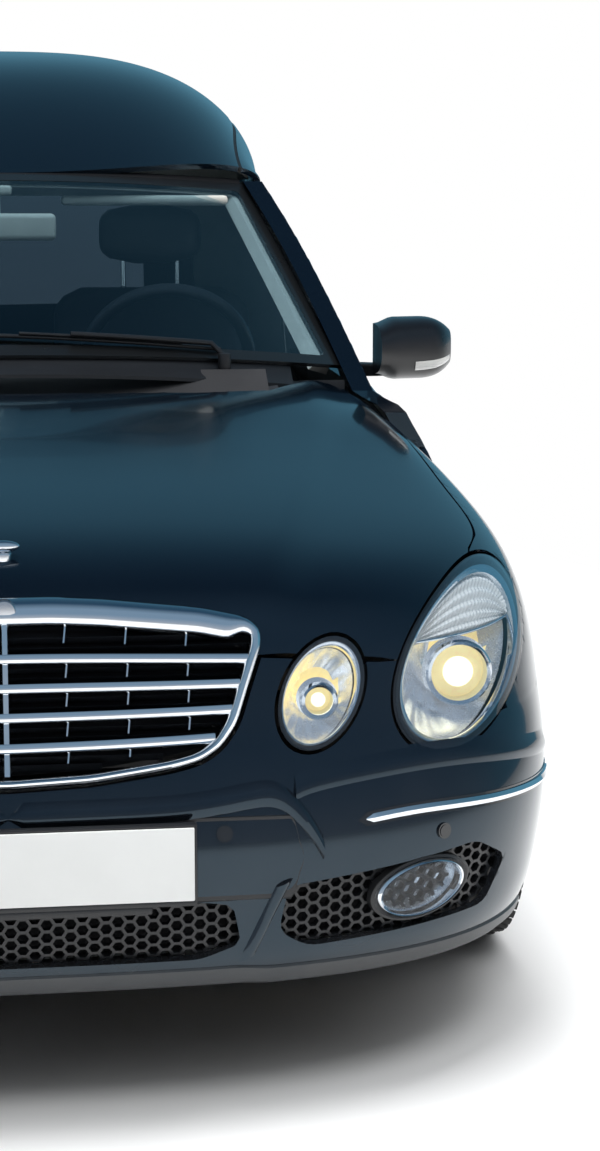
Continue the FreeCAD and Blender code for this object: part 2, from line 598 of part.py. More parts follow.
def build_doors_and_sides():
    """Body sides with their openings, and the two doors that close them."""
    wall = loft(side_wall(SIDE_STATIONS) + tail_sections())
    (s0, z0), (s1, z1) = WINDSCREEN_EDGE
    lean = (s1 - s0) / (z1 - z0)
    ahead = [(1300, 905), (1500, 940), (s0 - 40, z0 - 10), (s1 - 22 + lean * 10, RAIL_HEIGHT + 10), (1300, RAIL_HEIGHT + 10)]
    cuts = [prism_x(ahead, 300, 1000), leaning_cutter(DOOR_OUTLINE, PANEL_GAP), windscreen_clearance(), bonnet_room()]
    cuts += [prism_x(window, 300, 1000) for window in REAR_WINDOWS]
    cuts.append(rod(400, FRONT_AXLE_S + WHEELBASE, TYRE_RADIUS, ARCH_RADIUS, 700, (1, 0, 0)))
    frame = minus(wall, *cuts)
    frame = max(frame.Solids, key=lambda solid: solid.Volume)
    hinges, eyes, pockets = [], [], []
    for low, high in HINGE_HEIGHTS:
        pin = rod(DOOR_PIN_X, DOOR_PIN_S, low, PIN_RADIUS, high - low, (0, 0, 1))
        for z in (low - 8, high):
            lug = rod(DOOR_PIN_X, DOOR_PIN_S, z, EYE_RADIUS - 1, 8, (0, 0, 1))
            arm = box(740, DOOR_PIN_X, DOOR_PIN_S - 2, DOOR_PIN_S + 12, z, z + 8)
            hinges.append(joined(lug, arm))
        hinges.append(pin)
        bore = rod(DOOR_PIN_X, DOOR_PIN_S, low - 1, PIN_RADIUS + BEARING_CLEARANCE, high - low + 2, (0, 0, 1))
        eye = rod(DOOR_PIN_X, DOOR_PIN_S, low + 5, EYE_RADIUS, high - low - 10, (0, 0, 1))
        web = box(DOOR_PIN_X - EYE_RADIUS, DOOR_PIN_X + EYE_RADIUS, DOOR_PIN_S, DOOR_PIN_S + 40, low + 5, high - 5)
        eyes.append(joined(eye, web))
        room = rod(DOOR_PIN_X, DOOR_PIN_S, low - 16, EYE_RADIUS + 3, high - low + 32, (0, 0, 1))
        pocket = box(700, DOOR_PIN_X + 2, DOOR_FRONT_S - 20, DOOR_PIN_S + 18, low - 16, high + 16)
        pockets.append((joined(pocket, room), bore))
    post = box(738, 760, DOOR_FRONT_S + 2, DOOR_PIN_S + 30, SILL_HEIGHT, 864)
    pillar = joined(post, *hinges)
    door = loft(side_wall([DOOR_FRONT_S - 10, 1700, 2100, DOOR_REAR_S + 60])).common(leaning_cutter(DOOR_OUTLINE, 0))
    door = max(door.Solids, key=lambda solid: solid.Volume)
    door = minus(door, prism_x(DOOR_WINDOW, 300, 1000))
    for (pocket, bore), eye in zip(pockets, eyes):
        door = minus(door, pocket)
        door = minus(joined(door, eye), bore)
    glass = loft(side_wall([1500, 1800, 2100, 2600], GLASS_INSET, GLASS_THICK)).common(prism_x(DOOR_WINDOW, 300, 1000))
    panes = [loft(side_wall([2550, 3000, 3500, 4200, 4800, 5350], GLASS_INSET, GLASS_THICK)).common(
        prism_x(window, 300, 1000)) for window in REAR_WINDOWS]
    ahead_of_joint = box(0, 1000, 1000, SIDE_JOINT_S, 0, 1800)
    for side, change in (("left", lambda shape: shape), ("right", mirrored)):
        write("side_frame_" + side, change(frame.common(ahead_of_joint)), change(pillar))
        write("quarter_" + side, change(frame.cut(ahead_of_joint)))
        write("door_" + side, change(door))
        write("door_glass_" + side, change(glass))
    write("side_glasses", *[solid for pane in panes for solid in both(pane)])


WINDSCREEN_PLANES = [-1.0, -0.85, -0.6, -0.3, 0.0, 0.3, 0.6, 0.85, 1.0]     # u of the glass's sections


def windscreen_point(u, v, rise=0.0):
    """Place on the windscreen: u from -1 to 1 across, v from 0 at the base to 1 at the header."""
    low = (721 * u, 1330 + 270 * u * u, 1035 - 43 * u * u)
    high = (565 * u, 1990 + 100 * u * u, 1397 - 19 * u * u)
    lift = rise + 14 * (1 - u * u) * 4 * v * (1 - v)
    normal = (0.0, -0.481, 0.877)
    return tuple(low[k] + (high[k] - low[k]) * v + lift * normal[k] for k in range(3))


def windscreen_slab(low, high):
    """Curved sheet between two offsets from the windscreen's surface."""
    sections = []
    for u in WINDSCREEN_PLANES:
        sections.append([windscreen_point(u, v, high) for v in (0.0, 0.5, 1.0)]
                        + [windscreen_point(u, v, low) for v in (1.0, 0.5, 0.0)])
    return loft(sections)


def windscreen_clearance():
    """What the glass and the air ahead of it take from the front pillars."""
    return windscreen_slab(-GLASS_THICK, 260)


def build_windscreen():
    """Windscreen glass."""
    write("windscreen", windscreen_slab(-GLASS_THICK, 0))


def roof_section(s, inset=0.0):
    """Arch of the roof over one station, from side to side."""
    width = side_x(s, RAIL_HEIGHT) - inset
    rise = ROOF_LINE(s) - RAIL_HEIGHT - inset
    points = []
    for angle in (-90, -78, -64, -48, -32, -16, 0, 16, 32, 48, 64, 78, 90):
        a = math.radians(angle)
        fx = math.copysign(abs(math.sin(a)) ** (2 / 3), angle)
        points.append((width * fx, s, RAIL_HEIGHT + rise * math.cos(a)))
    return points


def tail_keep():
    """Everything ahead of the rear face, at the height of the roof."""
    sections = []
    for z in (1300, RAIL_HEIGHT, 1480, 1560, 1640, 1720, 1850):
        width = side_x(TAIL_LINE(z) - TAIL_CORNER, RAIL_HEIGHT)
        line = []
        for f in (-1.0, -0.98, -0.93, -0.85, -0.7, -0.4, 0.0, 0.4, 0.7, 0.85, 0.93, 0.98, 1.0):
            line.append((width * f, tail_s(width * f, z), z))
        line += [(760.0, line[-1][1] - 1, z), (760.0, 1900.0, z), (-760.0, 1900.0, z), (-760.0, line[0][1] - 1, z)]
        sections.append(line)
    return loft(sections)


def build_roof():
    """Raised roof, from the header over the windscreen to the tailgate."""
    sections = []
    for s in (1985, 2060, 2150, 2300, 2500, 2700, 2900, 3300, 3900, 4600, 5100, 5560):
        sections.append(roof_section(s) + roof_section(s, FRAME_THICK)[::-1])
    shell = loft(sections[3:])
    front = loft([roof_section(s) + roof_section(s, 12)[::-1] for s in (1985, 2060, 2150, 2300)])
    header = loft([[windscreen_point(u, 1.0, -GLASS_THICK - SEAT_GAP), (565 * u, 2110 + 70 * u * u, 1392 - 12 * u * u),
                    (565 * u, 2110 + 70 * u * u, 1360 - 12 * u * u), (565 * u, 2030 + 90 * u * u, 1352 - 12 * u * u)]
                   for u in WINDSCREEN_PLANES])
    edge = [(x, 1994 + 100 * (x / 565) ** 2) for x in range(-750, 751, 125)]
    shell = joined(shell, front).common(tail_keep())
    cuts = [prism_z(edge + [(750, 1500), (-750, 1500)], 1200, 2000)]
    for hand in (1, -1):
        cuts.append(rod(hand * 200 - 36, TAIL_PIN_S, TAIL_PIN_Z, EYE_RADIUS + 6, 72, (1, 0, 0)))
    shell = minus(shell, *cuts)
    pins = []
    for hand in (1, -1):
        x = hand * 200
        pins.append(rod(x - 40, TAIL_PIN_S, TAIL_PIN_Z, PIN_RADIUS, 80, (1, 0, 0)))
        pins += [box(lug, lug + 10, TAIL_PIN_S - 24, TAIL_PIN_S + 4, TAIL_PIN_Z - 8, TAIL_PIN_Z + 26)
                 for lug in (x - 44, x + 34)]
    shell = joined(shell, *pins)
    ahead_of_joint = box(-1000, 1000, 1000, ROOF_JOINT_S, 1000, 2000)
    write("roof_shell", shell.common(ahead_of_joint), minus(header, shell))
    write("roof_rear", shell.cut(ahead_of_joint))


TAILGATE_THICK = 50.0
TAIL_BOTTOM = 520.0


def tail_wall(inset, thick, heights, half_width):
    """Curved wall of the rear face."""
    sections = []
    for z in heights:
        xs = [-1.0, -0.85, -0.6, -0.3, 0.0, 0.3, 0.6, 0.85, 1.0]
        outer = [(half_width * f, tail_s(half_width * f, z) - inset, z) for f in xs]
        inner = [(half_width * f, tail_s(half_width * f, z) - inset - thick, z) for f in xs]
        sections.append(outer + inner[::-1])
    return loft(sections)


TAIL_WINDOW = mirrored_outline([(120, 1560), (300, 1540), (440, 1490), (530, 1400), (552, 1300), (560, 985), (0.0, 975)])


def tail_outline():
    """Outline of the tailgate, a running gap inside the roof and the rear pillars."""
    arch = roof_section(TAIL_PIN_S, FRAME_THICK + PANEL_GAP + 2)
    top = [(x, min(z, TAIL_PIN_Z - 5)) for x, _, z in arch if x > 100]
    edge = TAIL_HALF_WIDTH - PANEL_GAP
    return mirrored_outline(top + [(edge, 1300), (edge, TAIL_BOTTOM)])


def build_tailgate():
    """Tailgate with its glass, hung on two pins under the roof's edge."""
    heights = [TAIL_BOTTOM, 700, 925, 1150, 1300, 1385, 1480, 1560, 1640]
    gate = tail_wall(0.0, TAILGATE_THICK, heights, 636.0).common(prism_y(tail_outline(), 5000, 5700))
    gate = minus(gate, prism_y(TAIL_WINDOW, 5000, 5700))
    for hand in (1, -1):
        x = hand * 200
        eye = rod(x - 28, TAIL_PIN_S, TAIL_PIN_Z, EYE_RADIUS, 56, (1, 0, 0))
        web = box(x - 28, x + 28, TAIL_PIN_S - 20, TAIL_PIN_S, TAIL_PIN_Z - 40, TAIL_PIN_Z - 4)
        bore = rod(x - 40, TAIL_PIN_S, TAIL_PIN_Z, PIN_RADIUS + BEARING_CLEARANCE, 80, (1, 0, 0))
        notches = [box(side, side + 21.5, TAIL_PIN_S - 60, TAIL_PIN_S + 40, TAIL_PIN_Z - 14, TAIL_PIN_Z + 30)
                   for side in (x - 50, x + 28.5)]
        gate = minus(joined(minus(gate, *notches), eye, web), bore)
    write("tailgate", gate)
    pane = tail_wall(8.0, GLASS_THICK, heights[2:], 620.0).common(prism_y(TAIL_WINDOW, 5000, 5700))
    write("tailgate_glass", pane)


def build_rear_end():
    """Rear bumper, tail lamps."""
    sections = []
    for turn in (-80, -66, -54, -42, -30, -18, -8, 0, 8, 18, 30, 42, 54, 66, 80):
        way = (math.sin(math.radians(turn)), math.cos(math.radians(turn)))
        outer, inner = [], []
        for z, swell in ((210, 8), (260, 24), (360, 38), (460, 40), (500, 30), (512, 16)):
            reach = 0.0
            low, high = 0.0, 1500.0
            for _ in range(36):
                reach = (low + high) / 2
                x, s = reach * way[0], 5000 + reach * way[1]
                inside = abs(x) < SIDE(z) and (s < TAIL_LINE(z) - TAIL_CORNER or s < tail_s(x, z))
                low, high = (reach, high) if inside else (low, reach)
            outer.append((way[0] * (reach + swell), 5000 + way[1] * (reach + swell), z))
            inner.append((way[0] * (reach + SEAT_GAP), 5000 + way[1] * (reach + SEAT_GAP), z))
        sections.append(outer + inner[::-1])
    bumper = minus(loft(sections), *body_sides())
    write("rear_bumper", max(bumper.Solids, key=lambda solid: solid.Volume))
    sections = []
    for z in (640, 720, 800, 880):
        start = TAIL_LINE(z) - TAIL_CORNER
        outer, inner = [], []
        for turn in (3, 12, 22, 32, 42, 52):
            for swell, line in ((TAIL_LAMP_SWELL, outer), (SEAT_GAP, inner)):
                width = side_x(start, z) + swell
                depth = TAIL_CORNER + swell
                line.append((width * math.cos(math.radians(turn)) ** (2 / TAIL_FULLNESS),
                             start + depth * math.sin(math.radians(turn)) ** (2 / TAIL_FULLNESS), z))
        sections.append(outer + inner[::-1])
    lamp = minus(loft(sections), *body_sides())
    write("tail_lamps", *both(max(lamp.Solids, key=lambda solid: solid.Volume)))


# ---------------------------------------------------------------- structure under the skin
def build_structure():
    """Floor, firewall, front structure and load deck."""
    s_front, s_kick, s_back = DOOR_FRONT_S - 10, 3650.0, 5380.0
    z0, z1 = FLOOR_HEIGHT, FLOOR_HEIGHT + FLOOR_THICK
    profile = [(s_front, z0), (s_kick, z0), (s_kick + 200, 430), (s_back, 430), (s_back, 430 + FLOOR_THICK),
               (s_kick + 190, 430 + FLOOR_THICK), (s_kick - 10, z1), (s_front, z1)]
    floor = prism_x(profile, -840, 840)
    rails = [box(x0, x0 + 70, s_front + 60, s_kick - 60, z0 - 40, z0) for x0 in (-470, 400)]
    beams = [box(-780, 780, s, s + 60, z0 - 25, z0) for s in (1700, 2300, 2900)]
    floor = joined(floor, *(rails + beams))
    rear_arch = rod(-1000, FRONT_AXLE_S + WHEELBASE, TYRE_RADIUS, LINER_RADIUS + LINER_WALL, 2000, (1, 0, 0))
    middle = box(-TUB_X, TUB_X, 3900, 4900, 0, 900)
    floor = minus(floor, rear_arch.cut(middle), *body_sides())
    write("floor_pan", max(floor.Solids, key=lambda solid: solid.Volume))

    wall = prism_x([(1322, 250), (1340, 250), (1340, 700), (1290, 940), (1270, 940), (1322, 700)], -735, 735)
    tower = []
    for hand in (1, -1):
        x0, x1 = (400, 470) if hand > 0 else (-470, -400)
        tower.append(box(x0, x1, 230, 1330, 400, 490))
        tower.append(prism_x([(1180, 400), (1340, 400), (1340, z0), (1300, z0)], x0, x1))
        tower.append(prism_y([(hand * 480, 740), (hand * 735, 800), (hand * 735, 840), (hand * 460, 790),
                              (hand * 460, 400), (hand * 480, 400)], 1180, 1330))
    support = joined(box(-640, 640, 225, 255, 430, 470), box(-640, 640, 225, 255, 600, 630),
                     box(-640, -600, 225, 255, 430, 630), box(600, 640, 225, 255, 430, 630))
    beam = box(-560, 560, 150, 225, 430, 480)
    cowl = prism_x([(1290, 900), (1340, 900), (1420, 985), (1400, 1000), (1330, 960)], -530, 530)
    corner = [box(min(h * 590, h * 735), max(h * 590, h * 735), 1330, 1480, 880, 905) for h in (1, -1)]
    ears = []
    for hand in (1, -1):
        for x in (hand * 640 - 28, hand * 640 + 20):
            ears.append(prism_x([(BONNET_PIN_S - 30, 890), (BONNET_PIN_S + 14, 890), (BONNET_PIN_S + 12, BONNET_PIN_Z + 8),
                                 (BONNET_PIN_S - 12, BONNET_PIN_Z + 8)], x, x + 8))
        ears.append(rod(hand * 640 - 28, BONNET_PIN_S, BONNET_PIN_Z, PIN_RADIUS, 56, (1, 0, 0)))
        ears.append(box(hand * 640 - 40, hand * 640 + 40, 1330, BONNET_PIN_S + 14, 880, 905))
    carriers = [box(*sorted((h * 395, h * 525)), 180, 255, z, z + 30) for h in (1, -1) for z in (545, 600)]
    posts = [box(*sorted((h * 445, h * 475)), 225, 255, 430, 630) for h in (1, -1)]
    front = joined(wall, support, beam, cowl, *(tower + corner + carriers + posts + ears))
    front = minus(front, bonnet_room(), NODES["front_bumper"], NODES["headlamps"], NODES["windscreen"], NODES["fenders"],
                  *body_sides(), NODES["floor_pan"])
    write("front_structure", max(front.Solids, key=lambda solid: solid.Volume))

    deck = box(-760, 760, PARTITION_S + 30, 5390, DECK_HEIGHT, DECK_HEIGHT + DECK_THICK)
    legs = [box(x, x + 30, PARTITION_S + 60, 5370, FLOOR_HEIGHT + FLOOR_THICK, DECK_HEIGHT) for x in (-560, 530)]
    legs = [minus(leg, rear_floor_block()) for leg in legs]
    rollers = []
    for s in range(3050, 5300, 280):
        rollers.append(box(-300, 300, s - 14, s + 14, DECK_HEIGHT + DECK_THICK, DECK_HEIGHT + DECK_THICK + 22))
    guides = [box(x, x + 24, PARTITION_S + 80, 5360, DECK_HEIGHT + DECK_THICK, DECK_HEIGHT + DECK_THICK + 40)
              for x in (-374, 350)]
    deck = joined(deck, *(legs + rollers + guides))
    deck = minus(deck, *body_sides(), rear_arch.cut(middle), NODES["floor_pan"])
    write("load_deck", max(deck.Solids, key=lambda solid: solid.Volume))


TUB_X = 632.0               # inner wall of the rear wheelhouses


def rear_floor_block():
    """Space under the raised rear floor."""
    return prism_x([(3000, 0), (3640, FLOOR_HEIGHT + FLOOR_THICK), (3840, 430 + FLOOR_THICK), (5400, 430 + FLOOR_THICK),
                    (5400, 0)], -700, 700)


def build_wheelhouses():
    """Linings over the four wheels."""
    pieces = []
    for s, inner_x, floor_z in ((FRONT_AXLE_S, 476.0, 515.0), (FRONT_AXLE_S + WHEELBASE, TUB_X, 430.0)):
        tube = rod(inner_x, s, TYRE_RADIUS, LINER_RADIUS + LINER_WALL, 440, (1, 0, 0))
        tube = minus(tube, rod(inner_x + LINER_WALL, s, TYRE_RADIUS, LINER_RADIUS, 440, (1, 0, 0)))
        keep = box(inner_x, 1000, s - 500, s + 500, 250, 800)
        tube = tube.common(keep)
        tube = minus(tube, box(inner_x - 10, inner_x + LINER_WALL, s - 330, s + 330, 0, floor_z))
        if s == FRONT_AXLE_S:
            tube = minus(tube, box(inner_x - 10, inner_x + LINER_WALL, s - 400, s + 400, 0, floor_z))
        tube = minus(tube, nose_outside(s), *body_sides(), NODES["fenders"], NODES["front_bumper"],
                     NODES["headlamps"], NODES["front_structure"], NODES["floor_pan"], NODES["load_deck"])
        pieces.append(max(tube.Solids, key=lambda solid: solid.Volume))
    write("wheelhouses", *[solid for piece in pieces for solid in both(piece)])


def nose_outside(s):
    """Everything outside the skin beside one axle, so that a lining ends at the skin."""
    if s > 2000:
        sections = []
        for station in (s - 600, s, s + 600):
            outer = [(side_x(station, z) - SIDE_THICK * 0.2, station, z) for z in SIDE_HEIGHTS]
            sections.append(outer + [(1200.0, station, RAIL_HEIGHT), (1200.0, station, SILL_HEIGHT)])
        return loft(sections)
    sections = []
    for station in (330, 440, 540, 660, 800, 960, 1120, 1240, 1400):
        line = []
        for angle in (-50, -32, -18, -4, 10, 22, 32, 40, 48, 56):
            way = (math.cos(math.radians(angle)), 0.0, math.sin(math.radians(angle)))
            line.append(surface_point((500.0, float(station), 560.0), way, WING_THICK / 2))
        line += [(1300.0, station, line[-1][2] + 300), (1300.0, station, 0.0), (line[0][0], station, 0.0)]
        sections.append(line)
    return loft(sections)


def build_cabin():
    """Dashboard, seats, partition and steering wheel."""
    dash = prism_x([(1345, 905), (1420, 960), (1500, 972), (1640, 955), (1690, 900), (1680, 780), (1600, 700),
                    (1560, 560), (1480, 560), (1460, 720), (1345, 740)], -715, 715)
    hood = prism_x([(1560, 965), (1620, 1000), (1700, 985), (1705, 930), (1640, 900)], 190, 510)
    console = box(-110, 110, 1500, 2250, FLOOR_HEIGHT + FLOOR_THICK, 520)
    dash = joined(dash, hood, console)
    hub, way = at(*STEERING_HUB), App.Vector(*COLUMN_LEAN)
    way.normalize()
    bearing = Part.makeCylinder(COLUMN_RADIUS + BEARING_CLEARANCE, 400, hub - way * 360, way)
    corners = [box(min(h * 560, h * 800), max(h * 560, h * 800), 1300, 1550, 850, 1100) for h in (1, -1)]
    dash = minus(dash, *body_sides(), NODES["front_structure"],
                 windscreen_slab(-60, 400), bearing, *corners)
    write("dashboard", max(dash.Solids, key=lambda solid: solid.Volume))

    seats = []
    for hand in (1, -1):
        x0 = 130 if hand > 0 else -630
        cushion = prism_x([(1930, 430), (2460, 400), (2520, 480), (2650, 1080), (2650, 1130), (2600, 1160),
                           (2540, 1150), (2440, 700), (2400, 610), (1990, 640), (1930, 590)], x0, x0 + 500)
        base = box(x0 + 60, x0 + 440, 2010, 2440, FLOOR_HEIGHT + FLOOR_THICK, 440)
        rest = box(x0 + 120, x0 + 380, 2540, 2630, 1185, 1345)
        posts = [rod_to((x, 2590, 1140), (x, 2586, 1230), 6) for x in (x0 + 185, x0 + 315)]
        seats.append(joined(cushion, base, rest, *posts))
    write("front_seats", *seats)

    half = [(0.0, RAIL_HEIGHT + 250), (420, RAIL_HEIGHT + 215), (640, RAIL_HEIGHT + 20), (800, BELT_HEIGHT),
            (860, 860), (860, FLOOR_HEIGHT + FLOOR_THICK)]
    wall = prism_y(mirrored_outline(half), PARTITION_S, PARTITION_S + 30)
    window = prism_y(mirrored_outline([(420, 1360), (500, 1290), (520, 1000), (0.0, 1000)]), PARTITION_S - 5,
                     PARTITION_S + 35)
    wall = minus(wall, window, roof_outside(), NODES["roof_shell"], *body_sides(),
                 NODES["floor_pan"], NODES["load_deck"], NODES["side_glasses"])
    write("partition", max(wall.Solids, key=lambda solid: solid.Volume))


def roof_outside():
    """Everything above the roof's inner face near the partition."""
    sections = []
    for s in (PARTITION_S - 40.0, PARTITION_S + 70.0):
        arch = roof_section(s, FRAME_THICK)
        left, right = arch[-1], arch[0]
        sections.append(arch + [(1200.0, s, left[2]), (1200.0, s, 2400.0), (-1200.0, s, 2400.0), (-1200.0, s, right[2])])
    return loft(sections)


STEERING_HUB = (370.0, 1905.0, 985.0)
COLUMN_LEAN = (0.0, 0.88, 0.47)
COLUMN_RADIUS = 22.0


def build_steering_wheel():
    """Steering wheel on its column."""
    hub = at(*STEERING_HUB)
    way = App.Vector(*COLUMN_LEAN)
    way.normalize()
    rim = Part.makeTorus(185, 15, hub, way)
    boss = Part.makeCylinder(62, 50, hub - way * 40, way)
    column = Part.makeCylinder(COLUMN_RADIUS, 280, hub - way * 320, way)
    side = App.Vector(1, 0, 0)
    up = way.cross(side)
    spokes = []
    for turn in (0, 180, 250, 290):
        a = math.radians(turn)
        ray = side * math.cos(a) + up * math.sin(a)
        spokes.append(Part.makeCylinder(13, 150, hub + ray * 40 - way * 12, ray))
    wheel = joined(rim, boss, column, *spokes)
    write("steering_wheel", wheel)


# ---------------------------------------------------------------- running gear
def build_running_gear():
    """Subframe, knuckles, rear axle, engine and exhaust."""
    z = 200.0
    pieces = [box(-470, 470, FRONT_AXLE_S - 60, FRONT_AXLE_S + 60, z, z + 55)]
    for hand in (1, -1):
        x_in = 400 if hand > 0 else -470
        pieces.append(box(x_in, x_in + 70, FRONT_AXLE_S - 50, FRONT_AXLE_S + 50, z + 50, 400))
        for level in (LOWER_ARM, UPPER_ARM):
            pieces.append(box(min(hand * 440, hand * KINGPIN_X), max(hand * 440, hand * KINGPIN_X),
                              FRONT_AXLE_S - 30, FRONT_AXLE_S + 30, level, level + 22))
            pieces.append(rod(hand * KINGPIN_X, FRONT_AXLE_S, level, 30, 22, (0, 0, 1)))
        pieces.append(rod(hand * KINGPIN_X, FRONT_AXLE_S, LOWER_ARM + 20, KINGPIN_RADIUS, 45, (0, 0, 1)))
        pieces.append(rod(hand * KINGPIN_X, FRONT_AXLE_S, UPPER_ARM - 45, KINGPIN_RADIUS, 50, (0, 0, 1)))
        pieces.append(rod(hand * 560, FRONT_AXLE_S, UPPER_ARM + 20, 42, 240, (0, 0, 1)))
    frame = minus(joined(*pieces), NODES["front_structure"], NODES["wheelhouses"])
    write("front_subframe", *[solid for solid in frame.Solids if solid.Volume > 1e5])

    for hand, side in ((1, "left"), (-1, "right")):
        block = box(min(hand * 692, hand * 738), max(hand * 692, hand * 738), FRONT_AXLE_S - 34, FRONT_AXLE_S + 34,
                    LOWER_ARM + 24, UPPER_ARM - 2)
        stub = rod(hand * 730, FRONT_AXLE_S, TYRE_RADIUS, STUB_RADIUS, 100, (hand, 0, 0))
        caliper = caliper_block(hand, FRONT_AXLE_S, -1)
        knuckle = joined(block, stub, caliper)
        for base in (LOWER_ARM + 20, UPPER_ARM - 47):
            knuckle = minus(knuckle, rod(hand * KINGPIN_X, FRONT_AXLE_S, base, KINGPIN_RADIUS + BEARING_CLEARANCE, 47,
                                         (0, 0, 1)))
        write("knuckle_" + side, knuckle)

    rear_s = FRONT_AXLE_S + WHEELBASE
    pieces = [rod(-735, rear_s, TYRE_RADIUS, 38, 1470, (1, 0, 0)),
              Part.makeSphere(120, at(0, rear_s, TYRE_RADIUS - 10))]
    for hand in (1, -1):
        pieces.append(rod(hand * 730, rear_s, TYRE_RADIUS, STUB_RADIUS, 100, (hand, 0, 0)))
        pieces.append(box(min(hand * 520, hand * 580), max(hand * 520, hand * 580), rear_s - 520, rear_s + 20,
                          TYRE_RADIUS - 30, TYRE_RADIUS + 30))
        pieces.append(rod(hand * 550, rear_s, TYRE_RADIUS, 50, 430 - TYRE_RADIUS, (0, 0, 1)))
        pieces.append(caliper_block(hand, rear_s, 1))
    axle = minus(joined(*pieces), NODES["floor_pan"], NODES["wheelhouses"])
    write("rear_axle", max(axle.Solids, key=lambda solid: solid.Volume))

    engine = joined(box(-240, 240, 420, 1150, 300, 800), box(-240, 240, FRONT_AXLE_S - 40, FRONT_AXLE_S + 40, z + 55, 300))
    write("engine_block", minus(engine, NODES["front_subframe"]))

    pipe = joined(rod_to((120, 1150, 205), (120, 2700, 205), 32), box(40, 200, 2700, 3300, 165, 215),
                  rod_to((120, 3300, 190), (120, 3800, 190), 28), rod_to((120, 3790, 190), (300, 4150, 300), 28))
    tail = joined(box(-320, 320, 4850, 5250, 290, 430), *[rod_to((x, 5240, 300), (x, 5600, 255), 30) for x in (-260, 260)])
    pipe = minus(pipe, NODES["floor_pan"], NODES["rear_axle"])
    tail = minus(tail, NODES["floor_pan"], NODES["rear_bumper"])
    write("exhaust", max(pipe.Solids, key=lambda solid: solid.Volume), max(tail.Solids, key=lambda solid: solid.Volume))


LOWER_ARM = 186.0
UPPER_ARM = 446.0


def caliper_block(hand, s, side):
    """Brake caliper that bridges the disc, on the front or rear of the hub."""
    x_disc = TRACK / 2 + RIM_FACE_OFFSET - 40
    a = box(min(hand * (x_disc - 40), hand * (x_disc + 40)), max(hand * (x_disc - 40), hand * (x_disc + 40)),
            *sorted((s + side * 100, s + side * 172)), TYRE_RADIUS - 55, TYRE_RADIUS + 55)
    slot = rod(hand * (x_disc - DISC_THICK / 2 - 6), s, TYRE_RADIUS, DISC_RADIUS + 6, DISC_THICK + 12, (hand, 0, 0))
    foot = box(min(hand * 700, hand * (x_disc - 25)), max(hand * 700, hand * (x_disc - 25)),
               *sorted((s, s + side * 120)), TYRE_RADIUS - 22, TYRE_RADIUS + 22)
    return joined(minus(a, slot), foot)


def revolve(profile, x, s):
    """Ring about a wheel's axis. profile is (offset along x, radius) pairs."""
    points = [at(x + offset, s, TYRE_RADIUS + radius) for offset, radius in profile]
    face = Part.Face(Part.makePolygon(points + points[:1]))
    return face.revolve(at(x, s, TYRE_RADIUS), App.Vector(1, 0, 0), 360)


def build_wheels():
    """Four tyres and four rims with their brake discs."""
    half = TYRE_WIDTH / 2
    seat = RIM_WIDTH / 2
    tyre = [(-seat + SEAT_GAP, RIM_RADIUS), (-seat + SEAT_GAP, 215), (-half + 6, 230), (-half, 262), (-half + 4, 292), (-half + 22, 316),
            (-half + 48, 324), (-40, TYRE_RADIUS), (-40, TYRE_RADIUS - 7), (-30, TYRE_RADIUS - 7), (-30, TYRE_RADIUS),
            (30, TYRE_RADIUS), (30, TYRE_RADIUS - 7), (40, TYRE_RADIUS - 7), (40, TYRE_RADIUS),
            (half - 48, 324), (half - 22, 316), (half - 4, 292), (half, 262), (half - 6, 230), (seat - SEAT_GAP, 215),
            (seat - SEAT_GAP, RIM_RADIUS)]
    barrel = [(-seat, 214), (-seat, 203), (-seat + 14, RIM_RADIUS - SEAT_GAP), (seat - 14, RIM_RADIUS - SEAT_GAP),
              (seat, 203), (seat, 214), (seat + 5, 214), (seat + 5, 196), (seat - 20, 186), (-seat + 10, 188),
              (-seat - 5, 196), (-seat - 5, 214)]
    for axle, s in (("front", FRONT_AXLE_S), ("rear", FRONT_AXLE_S + WHEELBASE)):
        for hand, side in ((1, "left"), (-1, "right")):
            x = hand * TRACK / 2
            name = axle + "_" + side
            write("tyre_" + name, revolve(tyre, x, s))
            turn = [(hand * offset, radius) for offset, radius in barrel]
            face = RIM_FACE_OFFSET
            bore = STUB_RADIUS + BEARING_CLEARANCE
            hub = [(hand * a, r) for a, r in ((face - 27, bore), (face - 27, 75), (face, 80), (face + 10, 120),
                                              (seat - 22, 190), (seat - 8, 190), (face + 26, 118), (face + 18, 70),
                                              (face + 24, 40), (face + 24, bore))]
            disc = [(hand * a, r) for a, r in ((face - 40 - DISC_THICK / 2, 75), (face - 40 - DISC_THICK / 2, DISC_RADIUS),
                                               (face - 40 + DISC_THICK / 2, DISC_RADIUS), (face - 40 + DISC_THICK / 2, 75),
                                               (face - 20, 75), (face - 20, 60), (face - 45, 60), (face - 45, 75))]
            wheel = joined(revolve(turn, x, s), revolve(hub, x, s), revolve(disc, x, s))
            holes = []
            for k in range(10):
                a = math.radians(36 * k)
                holes.append(rod(x, s + 145 * math.cos(a), TYRE_RADIUS + 145 * math.sin(a), 30, 140, (hand, 0, 0)).common(
                    rod(x + hand * 30, s, TYRE_RADIUS, 183, 110, (hand, 0, 0))))
            write("rim_" + name, minus(wheel, *holes))


